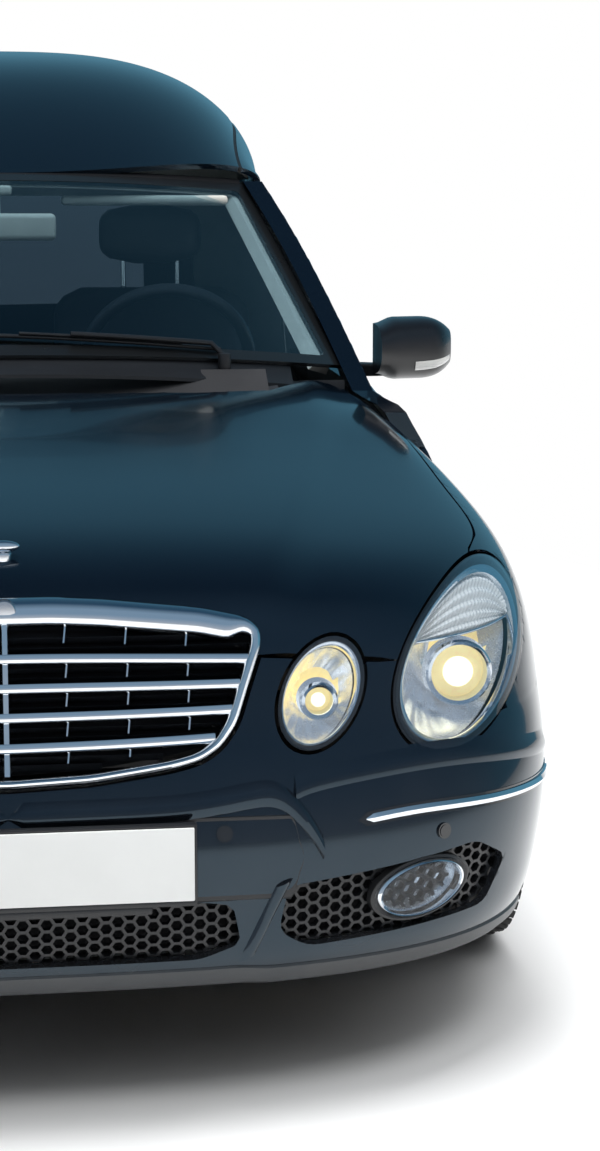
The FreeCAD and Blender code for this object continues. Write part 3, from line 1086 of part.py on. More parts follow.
def build_trim():
    """Mirrors, wipers and number plates."""
    mirror = loft([[(x, s, z) for x, s, z in section] for section in MIRROR_SECTIONS])
    arm = loft([[(755, 1690, 948), (755, 1750, 948), (755, 1750, 990), (755, 1690, 990)],
                [(822, 1600, 975), (822, 1655, 975), (822, 1655, 1000), (822, 1600, 1000)]])
    foot = joined(mirror, arm)
    for side, change in (("left", lambda shape: shape), ("right", mirrored)):
        mirror_ = minus(change(foot), NODES["door_" + side], NODES["door_glass_" + side])
        write("mirror_" + side, max(mirror_.Solids, key=lambda solid: solid.Volume))

    blades = []
    for u0, u1 in ((-0.1, -0.82), (0.62, -0.02)):
        a = windscreen_point(u0, 0.06, 14)
        b = windscreen_point(u1, 0.10, 14)
        blades.append(joined(rod_to(a, b, 7), rod_to(a, windscreen_point(u0, -0.05, -2), 9)))
    blades = [minus(blade, NODES["windscreen"], NODES["front_structure"]) for blade in blades]
    write("wipers", *[max(blade.Solids, key=lambda solid: solid.Volume) for blade in blades])

    front = box(-262, 262, -12, 30, 336, 452)
    front = minus(front, NODES["front_bumper"], NODES["lower_grille"])
    rear = box(-262, 262, tail_s(0, 760) - 2, tail_s(0, 760) + 12, 700, 815)
    write("number_plates", max(front.Solids, key=lambda solid: solid.Volume))
    rear = minus(rear, NODES["tailgate"])
    write("rear_plate", max(rear.Solids, key=lambda solid: solid.Volume))


MIRROR_SECTIONS = [
    [(790, 1560, 1004), (790, 1615, 1002), (790, 1615, 1062), (790, 1560, 1055)],
    [(806, 1540, 980), (806, 1655, 972), (806, 1655, 1083), (806, 1548, 1078)],
    [(870, 1530, 965), (870, 1660, 962), (870, 1660, 1092), (870, 1545, 1088)],
    [(930, 1550, 968), (930, 1660, 968), (930, 1660, 1085), (930, 1565, 1078)],
    [(957, 1590, 985), (957, 1655, 985), (957, 1655, 1068), (957, 1600, 1062)]]


def main():
    """Build every node."""
    os.makedirs("parts", exist_ok=True)
    build_bumper()
    build_lamps()
    build_fenders()
    build_bonnet()
    build_grille()
    build_windscreen()
    build_doors_and_sides()
    build_roof()
    build_tailgate()
    build_rear_end()
    build_structure()
    build_wheelhouses()
    build_cabin()
    build_steering_wheel()
    build_running_gear()
    build_wheels()
    build_trim()


main()
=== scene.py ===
"""Looks of the hearse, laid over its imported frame.

Forms are worked out in millimetres, as x (towards the driver's side), s (distance behind the nose of the
bumper) and z (height above the ground), and are turned into the frame's metres when a mesh is made.
"""
from __future__ import annotations

import logging
import math
from contextlib import contextmanager
from dataclasses import dataclass
from enum import Enum
from typing import Callable, Iterator, Sequence

import bmesh
import bpy
import numpy as np
from mathutils import Matrix, Vector


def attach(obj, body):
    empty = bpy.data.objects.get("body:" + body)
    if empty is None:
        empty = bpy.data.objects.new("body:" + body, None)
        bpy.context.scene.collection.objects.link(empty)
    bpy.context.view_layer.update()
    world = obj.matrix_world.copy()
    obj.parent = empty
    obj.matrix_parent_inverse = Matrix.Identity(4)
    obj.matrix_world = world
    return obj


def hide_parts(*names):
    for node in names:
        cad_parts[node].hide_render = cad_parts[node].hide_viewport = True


log = logging.getLogger("hearse")
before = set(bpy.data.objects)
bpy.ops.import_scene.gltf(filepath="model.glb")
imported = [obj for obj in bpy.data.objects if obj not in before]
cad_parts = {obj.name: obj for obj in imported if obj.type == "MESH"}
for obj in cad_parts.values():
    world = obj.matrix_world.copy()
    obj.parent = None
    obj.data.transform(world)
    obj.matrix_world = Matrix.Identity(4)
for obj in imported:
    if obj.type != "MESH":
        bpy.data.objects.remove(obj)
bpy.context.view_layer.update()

Array = np.ndarray
Outline = list[tuple[float, float]]
Place = tuple[float, float, float]
Colour = tuple[float, float, float]
Form = Callable[[Array, Array], Array]
Piece = bpy.types.Object
Tree = bpy.types.NodeTree
Socket = bpy.types.NodeSocket
MM = 0.001
SIDES = ((1, "left"), (-1, "right"))
ALONG_X = (1.0, 0.0, 0.0)
AHEAD = (0.0, -1.0, 0.0)
BEHIND = (0.0, 1.0, 0.0)

# driving dimensions, in millimetres
LENGTH = 5650.0
FRONT_AXLE_S = 850.0
REAR_AXLE_S = 4400.0
TYRE_RADIUS = 326.0
ARCH_RADIUS = 354.0
SILL = 205.0
BELT = 925.0
RAIL = 1385.0
BUMPER_END_S = 505.0
DOOR_FRONT_S = 1350.0
DOOR_REAR_S = 2510.0
PANEL_GAP = 5.0
LAMP_GAP = 7.0


def to_frame(points: Array) -> Array:
    """Turn places in millimetres into the frame's metres.

    Args:
        points: Rows of x, s and z.

    Returns:
        Rows of the frame's X, Y and Z.
    """
    result = np.array(points, float) * MM
    result[..., 1] -= LENGTH / 2 * MM
    return result


def unit(vectors: Array) -> Array:
    """Scale each row to a length of one."""
    return vectors / np.maximum(np.linalg.norm(vectors, axis=-1, keepdims=True), 1e-12)


def soft_step(t: Array) -> Array:
    """Ease from 0 to 1 as t does."""
    t = np.clip(t, 0.0, 1.0)
    return t * t * (3 - 2 * t)


class Spline:
    """Natural cubic curve through rows of place and value, straight beyond its ends."""

    def __init__(self, rows: Sequence[tuple[float, float]]) -> None:
        """Solve the curve's bends.

        Args:
            rows: Places in rising order, each with its value.
        """
        self.place = np.array([row[0] for row in rows], float)
        self.value = np.array([row[1] for row in rows], float)
        count = len(rows)
        step = np.diff(self.place)
        system = np.eye(count)
        right = np.zeros(count)
        for i in range(1, count - 1):
            system[i, i - 1:i + 2] = step[i - 1], 2 * (step[i - 1] + step[i]), step[i]
            right[i] = 6 * ((self.value[i + 1] - self.value[i]) / step[i]
                            - (self.value[i] - self.value[i - 1]) / step[i - 1])
        self.bend = np.linalg.solve(system, right)

    def __call__(self, q: Array | float) -> Array:
        """Value at one or more places."""
        q = np.asarray(q, float)
        i = np.clip(np.searchsorted(self.place, q) - 1, 0, len(self.place) - 2)
        step = self.place[i + 1] - self.place[i]
        held = np.clip(q, self.place[0], self.place[-1])
        a = (self.place[i + 1] - held) / step
        b = 1 - a
        inside = (a * self.value[i] + b * self.value[i + 1]
                  + ((a ** 3 - a) * self.bend[i] + (b ** 3 - b) * self.bend[i + 1]) * step * step / 6)
        slope = ((self.value[i + 1] - self.value[i]) / step
                 + ((1 - 3 * a * a) * self.bend[i] + (3 * b * b - 1) * self.bend[i + 1]) * step / 6)
        return inside + (q - held) * slope


class BodyForm:
    """Outer form of the car's body, as curves of height and length in millimetres."""

    # height, nose setback, half width behind the corner, corner depth, corner fullness
    NOSE = [(150, 105, 826, 640, 3.2), (215, 32, 858, 700, 3.2), (300, 12, 884, 735, 3.2),
            (400, 0, 897, 755, 3.2), (470, 16, 903, 780, 3.2), (540, 44, 906, 810, 3.15),
            (640, 72, 903, 845, 3.15), (740, 92, 889, 930, 3.0), (840, 125, 842, 1000, 2.9),
            (940, 170, 775, 1050, 2.8)]
    # distance behind the nose, height on the centre line, fall at x = 750, x of the crease
    BONNET = [(60, 752, 40, 405), (200, 806, 45, 425), (400, 848, 46, 470), (700, 892, 44, 537),
              (1000, 938, 38, 597), (1200, 971, 32, 630), (1500, 1010, 26, 670)]
    ROUNDING = 80.0
    CREASE_STEP = 12.0
    CREASE_WIDE = 80.0
    TAIL_CORNER = 230.0
    TAIL_FULLNESS = 3.2

    def __init__(self) -> None:
        """Fit every curve."""
        self.setback, self.half_width, self.corner_depth, self.fullness = [
            Spline([(row[0], row[column]) for row in self.NOSE]) for column in (1, 2, 3, 4)]
        self.ridge, self.fall, self.crease = [
            Spline([(row[0], row[column]) for row in self.BONNET]) for column in (1, 2, 3)]
        self.side = Spline([(190, 850), (250, 872), (330, 893), (420, 903), (520, 908), (620, 907),
                            (720, 896), (800, 872), (860, 842), (905, 816), (BELT, 806)])
        self.belt_line = Spline([(1342, 768), (1650, 786), (2000, 803), (2600, 814), (4500, 816), (5200, 802),
                                 (5650, 770)])
        self.rail_line = Spline([(1500, 560), (1950, 600), (2120, 606), (2500, 640), (2900, 684), (3500, 712),
                                 (4300, 718), (5000, 706), (5500, 684)])
        self.roof_line = Spline([(1985, 1397), (2120, 1470), (2300, 1560), (2500, 1640), (2900, 1724),
                                 (3500, 1768), (4300, 1775), (5000, 1752), (5500, 1690)])
        self.tail_line = Spline([(300, 5630), (500, 5612), (925, 5590), (1385, 5520), (1690, 5440)])

    def bonnet_height(self, x: Array, s: Array) -> Array:
        """Height of the bonnet line."""
        x = np.abs(x)
        step = self.CREASE_STEP * soft_step((x - self.crease(s)) / self.CREASE_WIDE + 0.5)
        return self.ridge(s) - self.fall(s) * (x / 750) ** 2.4 - step

    def outside(self, x: Array, s: Array, z: Array) -> Array:
        """How far places lie outside the front of the body, negative inside."""
        width, depth, m = self.half_width(z), self.corner_depth(z), self.fullness(z)
        ahead = np.maximum(self.setback(z) + depth - s, 0.0)
        wall = ((np.abs(x) / width) ** m + (ahead / depth) ** m) ** (1 / m) * width - width
        lid = z - self.bonnet_height(x, s)
        return 0.5 * (wall + lid + np.hypot(wall - lid, self.ROUNDING))

    def hit(self, start: Array, way: Array) -> Array:
        """Where rays from inside leave the front of the body.

        Args:
            start: Rows of start places.
            way: Rows of directions.

        Returns:
            Rows of places on the skin.
        """
        near = np.zeros(start.shape[:-1])
        far = np.full(start.shape[:-1], 2400.0)
        for _ in range(34):
            middle = (near + far) / 2
            place = start + way * middle[..., None]
            inside = self.outside(place[..., 0], place[..., 1], place[..., 2]) < 0
            near = np.where(inside, middle, near)
            far = np.where(inside, far, middle)
        return start + way * near[..., None]

    def nose(self, x: Array, z: Array) -> Array:
        """Places on the nose that show at x and z from straight ahead."""
        x, z = np.broadcast_arrays(np.asarray(x, float), np.asarray(z, float))
        start = np.stack([x, np.full(x.shape, 1100.0), z], -1)
        return self.hit(start, np.broadcast_to([0.0, -1.0, 0.0], start.shape))

    def outward(self, points: Array) -> Array:
        """Outward direction of the front skin at rows of places on it."""
        result = np.empty_like(points)
        for axis in range(3):
            step = np.zeros(3)
            step[axis] = 1.0
            ahead, behind = points + step, points - step
            result[..., axis] = (self.outside(*np.moveaxis(ahead, -1, 0))
                                 - self.outside(*np.moveaxis(behind, -1, 0)))
        return unit(result)

    def side_x(self, s: Array, z: Array) -> Array:
        """Half width of the body sides, doors and window frames."""
        t = (z - BELT) / (RAIL - BELT)
        belt, rail = self.belt_line(s), self.rail_line(s)
        upper = belt + (rail - belt) * t + 48 * t * (1 - t)
        return self.side(z) + (upper - self.side(z)) * np.clip((z - BELT) / 20, 0, 1) if np.ndim(z) else upper

    def tail_s(self, x: Array, z: Array) -> Array:
        """Rear face of the body."""
        start = self.tail_line(z) - self.TAIL_CORNER
        width = self.side_x(start, np.minimum(z, RAIL))
        q = np.minimum(1.0, np.abs(x) / width)
        return start + self.TAIL_CORNER * (1 - q ** self.TAIL_FULLNESS) ** (1 / self.TAIL_FULLNESS)

    def windscreen(self, u: Array, v: Array, rise: float = 0.0) -> Array:
        """Places on the windscreen: u from -1 to 1 across, v from 0 at the base to 1 at the header."""
        low = np.stack([721 * u, 1330 + 270 * u * u, 1035 - 43 * u * u], -1)
        high = np.stack([565 * u, 1990 + 100 * u * u, 1397 - 19 * u * u], -1)
        lift = rise + 14 * (1 - u * u) * 4 * v * (1 - v)
        return low + (high - low) * v[..., None] + lift[..., None] * np.array([0.0, -0.481, 0.877])


FORM = BodyForm()


# ---------------------------------------------------------------- bench: picking, meshes and outlines
def pick(*objects: Piece) -> None:
    """Select these objects alone, the first one active."""
    bpy.ops.object.select_all(action="DESELECT")
    for piece in objects:
        piece.select_set(True)
    bpy.context.view_layer.objects.active = objects[0]


def points_of(mesh: bpy.types.Mesh) -> Array:
    """Places of a mesh's points, as rows."""
    flat = np.empty(len(mesh.vertices) * 3)
    mesh.vertices.foreach_get("co", flat)
    return flat.reshape(-1, 3)


def place_points(piece: Piece, points: Array) -> None:
    """Move a mesh's points to rows of places in the frame's metres."""
    piece.data.vertices.foreach_set("co", np.asarray(points, float).ravel())
    piece.data.update()


@contextmanager
def editing(action: str = "SELECT") -> Iterator[None]:
    """Edit mode on the active piece, with all of it selected, or nothing for DESELECT."""
    bpy.ops.object.mode_set(mode="EDIT")
    bpy.ops.mesh.select_all(action=action)
    yield
    bpy.ops.object.mode_set(mode="OBJECT")


def turn_outwards(piece: Piece) -> None:
    """Point every face of a closed piece outwards."""
    pick(piece)
    with editing():
        bpy.ops.mesh.normals_make_consistent(inside=False)


def apply_modifiers(piece: Piece) -> None:
    """Apply every modifier of a piece in order."""
    pick(piece)
    for modifier in list(piece.modifiers):
        bpy.ops.object.modifier_apply(modifier=modifier.name)


def smooth(piece: Piece, angle: float = 35.0) -> None:
    """Shade a piece smooth, with edges sharper than an angle in degrees left crisp."""
    pick(piece)
    bpy.ops.object.shade_smooth_by_angle(angle=math.radians(angle))


def settle(piece: Piece) -> None:
    """Put a piece's object at the origin, unturned and unscaled, with its place in its mesh."""
    pick(piece)
    bpy.ops.object.transform_apply(location=True, rotation=True, scale=True)


def named(piece: Piece, name: str) -> Piece:
    """Give a piece and its mesh the same name."""
    piece.name = piece.data.name = name
    return piece


def joined(name: str, pieces: Sequence[Piece]) -> Piece:
    """Join several meshes into one piece.

    Args:
        name: Name of the joined piece.
        pieces: Meshes, of which the first keeps its material slots in front.

    Returns:
        The joined piece.
    """
    pick(*pieces)
    if len(pieces) > 1:
        bpy.ops.object.join()
    return named(bpy.context.view_layer.objects.active, name)


def mirror_copy(piece: Piece, name: str) -> Piece:
    """Copy a piece to the other side of the car.

    Args:
        piece: Piece on one side.
        name: Name of the copy.

    Returns:
        The copy, with its own mesh and its faces outwards.
    """
    across = (-1, 1, 1)
    normals = None
    if piece.data.has_custom_normals:
        flat = np.empty(len(piece.data.loops) * 3)
        piece.data.corner_normals.foreach_get("vector", flat)
        normals = flat.reshape(-1, 3) * across
    copy = piece.copy()
    copy.data = piece.data.copy()
    named(copy, name)
    bpy.context.scene.collection.objects.link(copy)
    place_points(copy, points_of(copy.data) * across)
    order = np.empty(len(copy.data.loops), int)
    for face in copy.data.polygons:
        loops = list(face.loop_indices)
        order[loops] = [loops[0]] + loops[:0:-1]
    copy.data.flip_normals()
    if normals is not None:
        copy.data.normals_split_custom_set(normals[order].tolist())
    return copy


def block(low: Sequence[float], high: Sequence[float], radius: float = 0.0, steps: int = 2) -> Piece:
    """Block between two corners in millimetres, with rounded edges.

    Args:
        low: Corner with the smallest x, s and z.
        high: Corner with the largest.
        radius: Radius of the edges.
        steps: Faces across each rounded edge.

    Returns:
        The block.
    """
    ends = to_frame([low, high])
    bpy.ops.object.select_all(action="DESELECT")
    bpy.ops.mesh.primitive_cube_add(size=1.0, location=ends.mean(0), scale=ends[1] - ends[0])
    piece = bpy.context.object
    settle(piece)
    if radius:
        with editing():
            bpy.ops.mesh.bevel(offset=radius * MM, segments=steps, profile=0.5)
    smooth(piece, 40)
    return piece


def cylinder(centre: Sequence[float], radius: float, length: float, axis: str, count: int = 32,
             bevel: float = 0.0) -> Piece:
    """Round bar about a centre in millimetres.

    Args:
        centre: Middle of the bar.
        radius: Radius of the bar.
        length: Length of the bar.
        axis: "X" or "Z".
        count: Faces round it.
        bevel: Width of the eased ends.

    Returns:
        The bar.
    """
    bpy.ops.object.select_all(action="DESELECT")
    turn = (0.0, math.pi / 2 if axis == "X" else 0.0, 0.0)
    bpy.ops.mesh.primitive_cylinder_add(vertices=count, radius=radius * MM, depth=length * MM,
                                        location=to_frame([centre])[0], rotation=turn)
    piece = bpy.context.object
    settle(piece)
    if bevel:
        with editing("DESELECT"):
            bpy.ops.mesh.select_non_manifold(extend=False)
            bpy.ops.mesh.edges_select_sharp(sharpness=math.radians(60))
            bpy.ops.mesh.bevel(offset=bevel * MM, segments=3, profile=0.5)
    smooth(piece, 40)
    return piece


def neighbours(count: int, wraps: bool) -> list[tuple[int, int]]:
    """Each number of a row with the next one, and the last with the first where the row wraps."""
    return [(i, (i + 1) % count) for i in range(count if wraps else count - 1)]


def quads(rows: int, columns: int, rows_wrap: bool, columns_wrap: bool) -> list[tuple[int, ...]]:
    """Faces of a grid of points that are listed row by row."""
    return [(i * columns + k, i * columns + m, j * columns + m, j * columns + k)
            for i, j in neighbours(rows, rows_wrap) for k, m in neighbours(columns, columns_wrap)]


def mesh_piece(name: str, points: Array, faces: Sequence[tuple[int, ...]]) -> Piece:
    """New piece from places in millimetres and faces."""
    mesh = bpy.data.meshes.new(name)
    mesh.from_pydata(to_frame(points).tolist(), [], faces)
    piece = bpy.data.objects.new(name, mesh)
    bpy.context.scene.collection.objects.link(piece)
    return piece


def solid_mesh(name: str, points: Array, faces: Sequence[tuple[int, ...]], angle: float = 45.0) -> Piece:
    """New piece as mesh_piece makes it, turned outwards and shaded smooth."""
    piece = mesh_piece(name, points, faces)
    turn_outwards(piece)
    smooth(piece, angle)
    return piece


def ring_mesh(name: str, rows: Sequence[Array], angle: float = 45.0) -> Piece:
    """Closed tube of closed rows of places in millimetres."""
    return solid_mesh(name, np.concatenate(rows), quads(len(rows), len(rows[0]), True, True), angle)


def strip_mesh(name: str, rows: Sequence[Array]) -> Piece:
    """Closed bar of rows of places in millimetres, with flat ends."""
    total, count = len(rows), len(rows[0])
    faces = quads(total, count, True, False)
    faces.append(tuple(i * count for i in range(total)))
    faces.append(tuple(i * count + count - 1 for i in range(total))[::-1])
    return solid_mesh(name, np.concatenate(rows), faces)


def capped_mesh(name: str, rows: Sequence[Array]) -> Piece:
    """Closed shape through rings of places in millimetres, with smooth ends."""
    count, total = len(rows[0]), len(rows)
    faces = quads(total, count, False, True)
    faces.append(tuple(range(count)))
    faces.append(tuple((total - 1) * count + k for k in range(count))[::-1])
    piece = solid_mesh(name, np.concatenate(rows), faces)
    smooth(piece, 60)
    return piece


def spun(name: str, profile: Sequence[tuple[float, float]], centre: Sequence[float], axis: str,
         count: int = 96) -> Piece:
    """Ring or dish turned about an axis.

    Args:
        name: Name of the piece.
        profile: Offset along the axis and radius, as a closed line, or open with ends at radius 0.
        centre: Place of the axis.
        axis: "X" or "Y".
        count: Steps round.

    Returns:
        The closed piece.
    """
    line = np.array(profile, float)
    closed = line[0, 1] > 1e-6 or line[-1, 1] > 1e-6
    along, radius = line[:, 0], line[:, 1]
    rows = []
    for t in np.linspace(0, 2 * math.pi, count, endpoint=False):
        flat = (along, radius * math.cos(t)) if axis == "X" else (radius * math.cos(t), along)
        rows.append(np.stack([*flat, radius * math.sin(t)], -1))
    points = np.array(rows) + np.array(centre, float)
    piece = mesh_piece(name, points.reshape(-1, 3), quads(count, len(line), True, closed))
    pick(piece)
    with editing():
        bpy.ops.mesh.remove_doubles(threshold=1e-6)
        bpy.ops.mesh.normals_make_consistent(inside=False)
    smooth(piece, 30)
    return piece


def tube(name: str, route: Sequence[Sequence[float]], radius: float, count: int = 12,
         ring: bool = False) -> Piece:
    """Round bar along a route of places in millimetres.

    Args:
        name: Name of the piece.
        route: Rows of places.
        radius: Radius of the bar.
        count: Faces round it.
        ring: Whether the route closes on itself.

    Returns:
        The closed piece.
    """
    curve = bpy.data.curves.new(name, "CURVE")
    curve.dimensions = "3D"
    curve.bevel_depth = radius * MM
    curve.bevel_resolution = max(1, count // 4)
    curve.use_fill_caps = not ring
    line = curve.splines.new("POLY")
    line.points.add(len(route) - 1)
    line.use_cyclic_u = ring
    for point, place in zip(line.points, to_frame(route)):
        point.co = (*place, 1.0)
    piece = bpy.data.objects.new(name, curve)
    bpy.context.scene.collection.objects.link(piece)
    pick(piece)
    bpy.ops.object.convert(target="MESH")
    piece = named(bpy.context.object, name)
    turn_outwards(piece)
    smooth(piece, 50)
    return piece


def mirrored_outline(half: Outline) -> Outline:
    """Closed outline from its half on the driver's side, listed from top to bottom."""
    return half + [(-x, z) for x, z in reversed(half) if x > 0]


def flipped(outline: Outline) -> Outline:
    """The outline on the other side of the car."""
    return [(-x, z) for x, z in outline]


def oval(centre: tuple[float, float], half: tuple[float, float], lean: float, grow: float = 0.0,
         count: int = 96) -> Outline:
    """Leaning oval. lean is how far its top lies to the side, as a share of its half width."""
    shift = math.asin(lean)
    turns = [2 * math.pi * k / count for k in range(count)]
    return [(centre[0] + (half[0] + grow) * math.cos(t), centre[1] + (half[1] + grow) * math.sin(t + shift))
            for t in turns]


def rounded(outline: Outline, radius: float, steps: int = 6) -> Outline:
    """Closed outline with its corners rounded.

    Args:
        outline: Corners in order.
        radius: Radius of each corner, less where an edge is short.
        steps: Points along each rounded corner.

    Returns:
        The outline with rounded corners.
    """
    result = []
    count = len(outline)
    for i in range(count):
        before, corner, after = (np.array(outline[k % count], float) for k in (i - 1, i, i + 1))
        back, ahead = before - corner, after - corner
        reach = min(radius, 0.45 * np.linalg.norm(back), 0.45 * np.linalg.norm(ahead))
        start = corner + back / np.linalg.norm(back) * reach
        end = corner + ahead / np.linalg.norm(ahead) * reach
        for k in range(steps + 1):
            t = k / steps
            result.append(tuple((1 - t) ** 2 * start + 2 * t * (1 - t) * corner + t * t * end))
    return result


def grown(outline: Outline, amount: float) -> Outline:
    """Closed outline moved outwards by an amount, less than its corners' radii."""
    points = np.array(outline, float)
    ahead, behind = np.roll(points, -1, 0), np.roll(points, 1, 0)
    area = np.sum(behind[:, 0] * points[:, 1] - points[:, 0] * behind[:, 1])
    run = unit(ahead - behind)
    normal = np.stack([run[:, 1], -run[:, 0]], -1) * (1 if area > 0 else -1)
    return [tuple(p) for p in points + normal * amount]


def even(outline: Outline, count: int) -> Array:
    """Closed outline as evenly spaced points.

    Args:
        outline: Corners in order.
        count: Number of points.

    Returns:
        Rows of points, evenly spaced along the outline.
    """
    points = np.array(outline + outline[:1], float)
    run = np.concatenate([[0.0], np.cumsum(np.linalg.norm(np.diff(points, axis=0), axis=1))])
    keep = np.concatenate([[True], np.diff(run) > 1e-9])
    want = np.linspace(0, run[-1], count, endpoint=False)
    return np.stack([np.interp(want, run[keep], points[keep, k]) for k in (0, 1)], -1)


def within(points: Array, outline: Array) -> Array:
    """Whether flat points lie inside a closed outline."""
    inside = np.zeros(len(points), bool)
    for a, b in zip(outline, np.roll(outline, -1, 0)):
        crosses = (a[1] > points[:, 1]) != (b[1] > points[:, 1])
        if a[1] != b[1]:
            reach = a[0] + (points[:, 1] - a[1]) * (b[0] - a[0]) / (b[1] - a[1])
            inside ^= crosses & (points[:, 0] < reach)
    return inside


class Side(Enum):
    """Which part of a skin a cut keeps."""

    INSIDE = 1
    OUTSIDE = -1


class View(Enum):
    """Plane in which an outline is drawn, as columns of x, s and z."""

    FRONT = (0, 2)
    PLAN = (0, 1)
    PROFILE = (1, 2)


class Skin:
    """Outer sheet of a panel: a grid laid on a form, cut to its outlines and given its thickness."""

    SNAP = 0.18

    def __init__(self, name: str, form: Form, columns: int, rows: int,
                 outward: Callable[[Array], Array] | Sequence[float] = (0.0, 0.0, 1.0)) -> None:
        """Lay the grid.

        Args:
            name: Name of the piece.
            form: Places on the form from u and v, each from 0 to 1.
            columns: Cells along u.
            rows: Cells along v.
            outward: Rough outward direction, the same all over or worked out from rows of places.
        """
        self.form = form
        bpy.ops.object.select_all(action="DESELECT")
        bpy.ops.mesh.primitive_grid_add(x_subdivisions=columns, y_subdivisions=rows, size=1.0)
        self.piece = named(bpy.context.object, name)
        flat = points_of(self.piece.data)
        u, v = flat[:, 0] + 0.5, flat[:, 1] + 0.5
        for label, values in (("u", u), ("v", v)):
            self.piece.data.attributes.new(label, "FLOAT", "POINT").data.foreach_set("value", values)
        points = form(u, v)
        place_points(self.piece, to_frame(points))
        normal = self.normals(u, v)
        hint = outward(points) if callable(outward) else np.array(outward)
        self.hand = 1.0 if np.sum(normal * hint) > 0 else -1.0
        face_normals = np.array([face.normal for face in self.piece.data.polygons])
        corner = np.array([face.vertices[0] for face in self.piece.data.polygons])
        if np.sum(face_normals * normal[corner]) * self.hand < 0:
            self.piece.data.flip_normals()

    def normals(self, u: Array, v: Array) -> Array:
        """Directions square to the form at u and v."""
        step = 1e-4
        low_u, high_u = np.maximum(u - step, 0.0), np.minimum(u + step, 1.0)
        low_v, high_v = np.maximum(v - step, 0.0), np.minimum(v + step, 1.0)
        along = self.form(high_u, v) - self.form(low_u, v)
        up = self.form(u, high_v) - self.form(u, low_v)
        return unit(np.cross(along, up))

    def uv(self) -> tuple[Array, Array]:
        """Each point's u and v."""
        result = []
        for label in ("u", "v"):
            values = np.empty(len(self.piece.data.vertices))
            self.piece.data.attributes[label].data.foreach_get("value", values)
            result.append(values)
        return result[0], result[1]

    def cut(self, outline: Outline, view: View, keep: Side) -> "Skin":
        """Cut the sheet along an outline.

        Args:
            outline: Closed outline in millimetres.
            view: Plane of the outline.
            keep: Which part stays.

        Returns:
            The same skin.
        """
        edge = np.array(outline, float)
        columns = list(view.value)
        mesh = bmesh.new()
        mesh.from_mesh(self.piece.data)
        mesh.verts.ensure_lookup_table()
        layers = [mesh.verts.layers.float[label] for label in ("u", "v")]
        u, v = self.uv()
        flat = self.form(u, v)[:, columns]
        state = np.where(within(flat, edge), 1, -1) * keep.value
        on_edge: set[bmesh.types.BMVert] = set()
        sides = {vert: state[vert.index] for vert in mesh.verts}
        splits = []
        for line in list(mesh.edges):
            a, b = line.verts
            if sides[a] == sides[b] or a in on_edge or b in on_edge:
                continue
            t = self.crossing(flat[a.index], flat[b.index], edge)
            if t < self.SNAP or t > 1 - self.SNAP:
                near, far, share = (a, b, t) if t < 0.5 else (b, a, 1 - t)
                for layer in layers:
                    near[layer] += (far[layer] - near[layer]) * share
                on_edge.add(near)
            else:
                splits.append((line, a, t))
        for line, a, t in splits:
            if not line.is_valid or any(end in on_edge for end in line.verts):
                continue
            b = line.other_vert(a)
            values = [a[layer] + (b[layer] - a[layer]) * t for layer in layers]
            _, fresh = bmesh.utils.edge_split(line, a, t)
            for layer, value in zip(layers, values):
                fresh[layer] = value
            on_edge.add(fresh)
            sides[fresh] = 0
        for vert in on_edge:
            sides[vert] = 0
        bmesh.ops.connect_verts(mesh, verts=list(on_edge))
        waste = []
        for face in mesh.faces:
            marks = [sides.get(vert, 0) for vert in face.verts]
            if min(marks) < 0:
                waste.append(face)
            elif max(marks) == 0:
                middle = np.mean([[vert[layer] for layer in layers] for vert in face.verts], axis=0)
                spot = self.form(middle[:1], middle[1:])[:, columns]
                if (1 if within(spot, edge)[0] else -1) * keep.value < 0:
                    waste.append(face)
        bmesh.ops.delete(mesh, geom=waste, context="FACES")
        mesh.to_mesh(self.piece.data)
        mesh.free()
        u, v = self.uv()
        place_points(self.piece, to_frame(self.form(u, v)))
        return self

    @staticmethod
    def crossing(a: Array, b: Array, outline: Array) -> float:
        """Share of the way from a to b at which the outline is crossed."""
        start, end = outline, np.roll(outline, -1, 0)
        run, side = b - a, end - start
        cross = run[0] * side[:, 1] - run[1] * side[:, 0]
        cross = np.where(np.abs(cross) < 1e-12, 1e-12, cross)
        gap = start - a
        t = (gap[:, 0] * side[:, 1] - gap[:, 1] * side[:, 0]) / cross
        along = (gap[:, 0] * run[1] - gap[:, 1] * run[0]) / cross
        good = t[(along >= -1e-9) & (along <= 1 + 1e-9) & (t >= 0) & (t <= 1)]
        return float(good[0]) if len(good) else 0.5

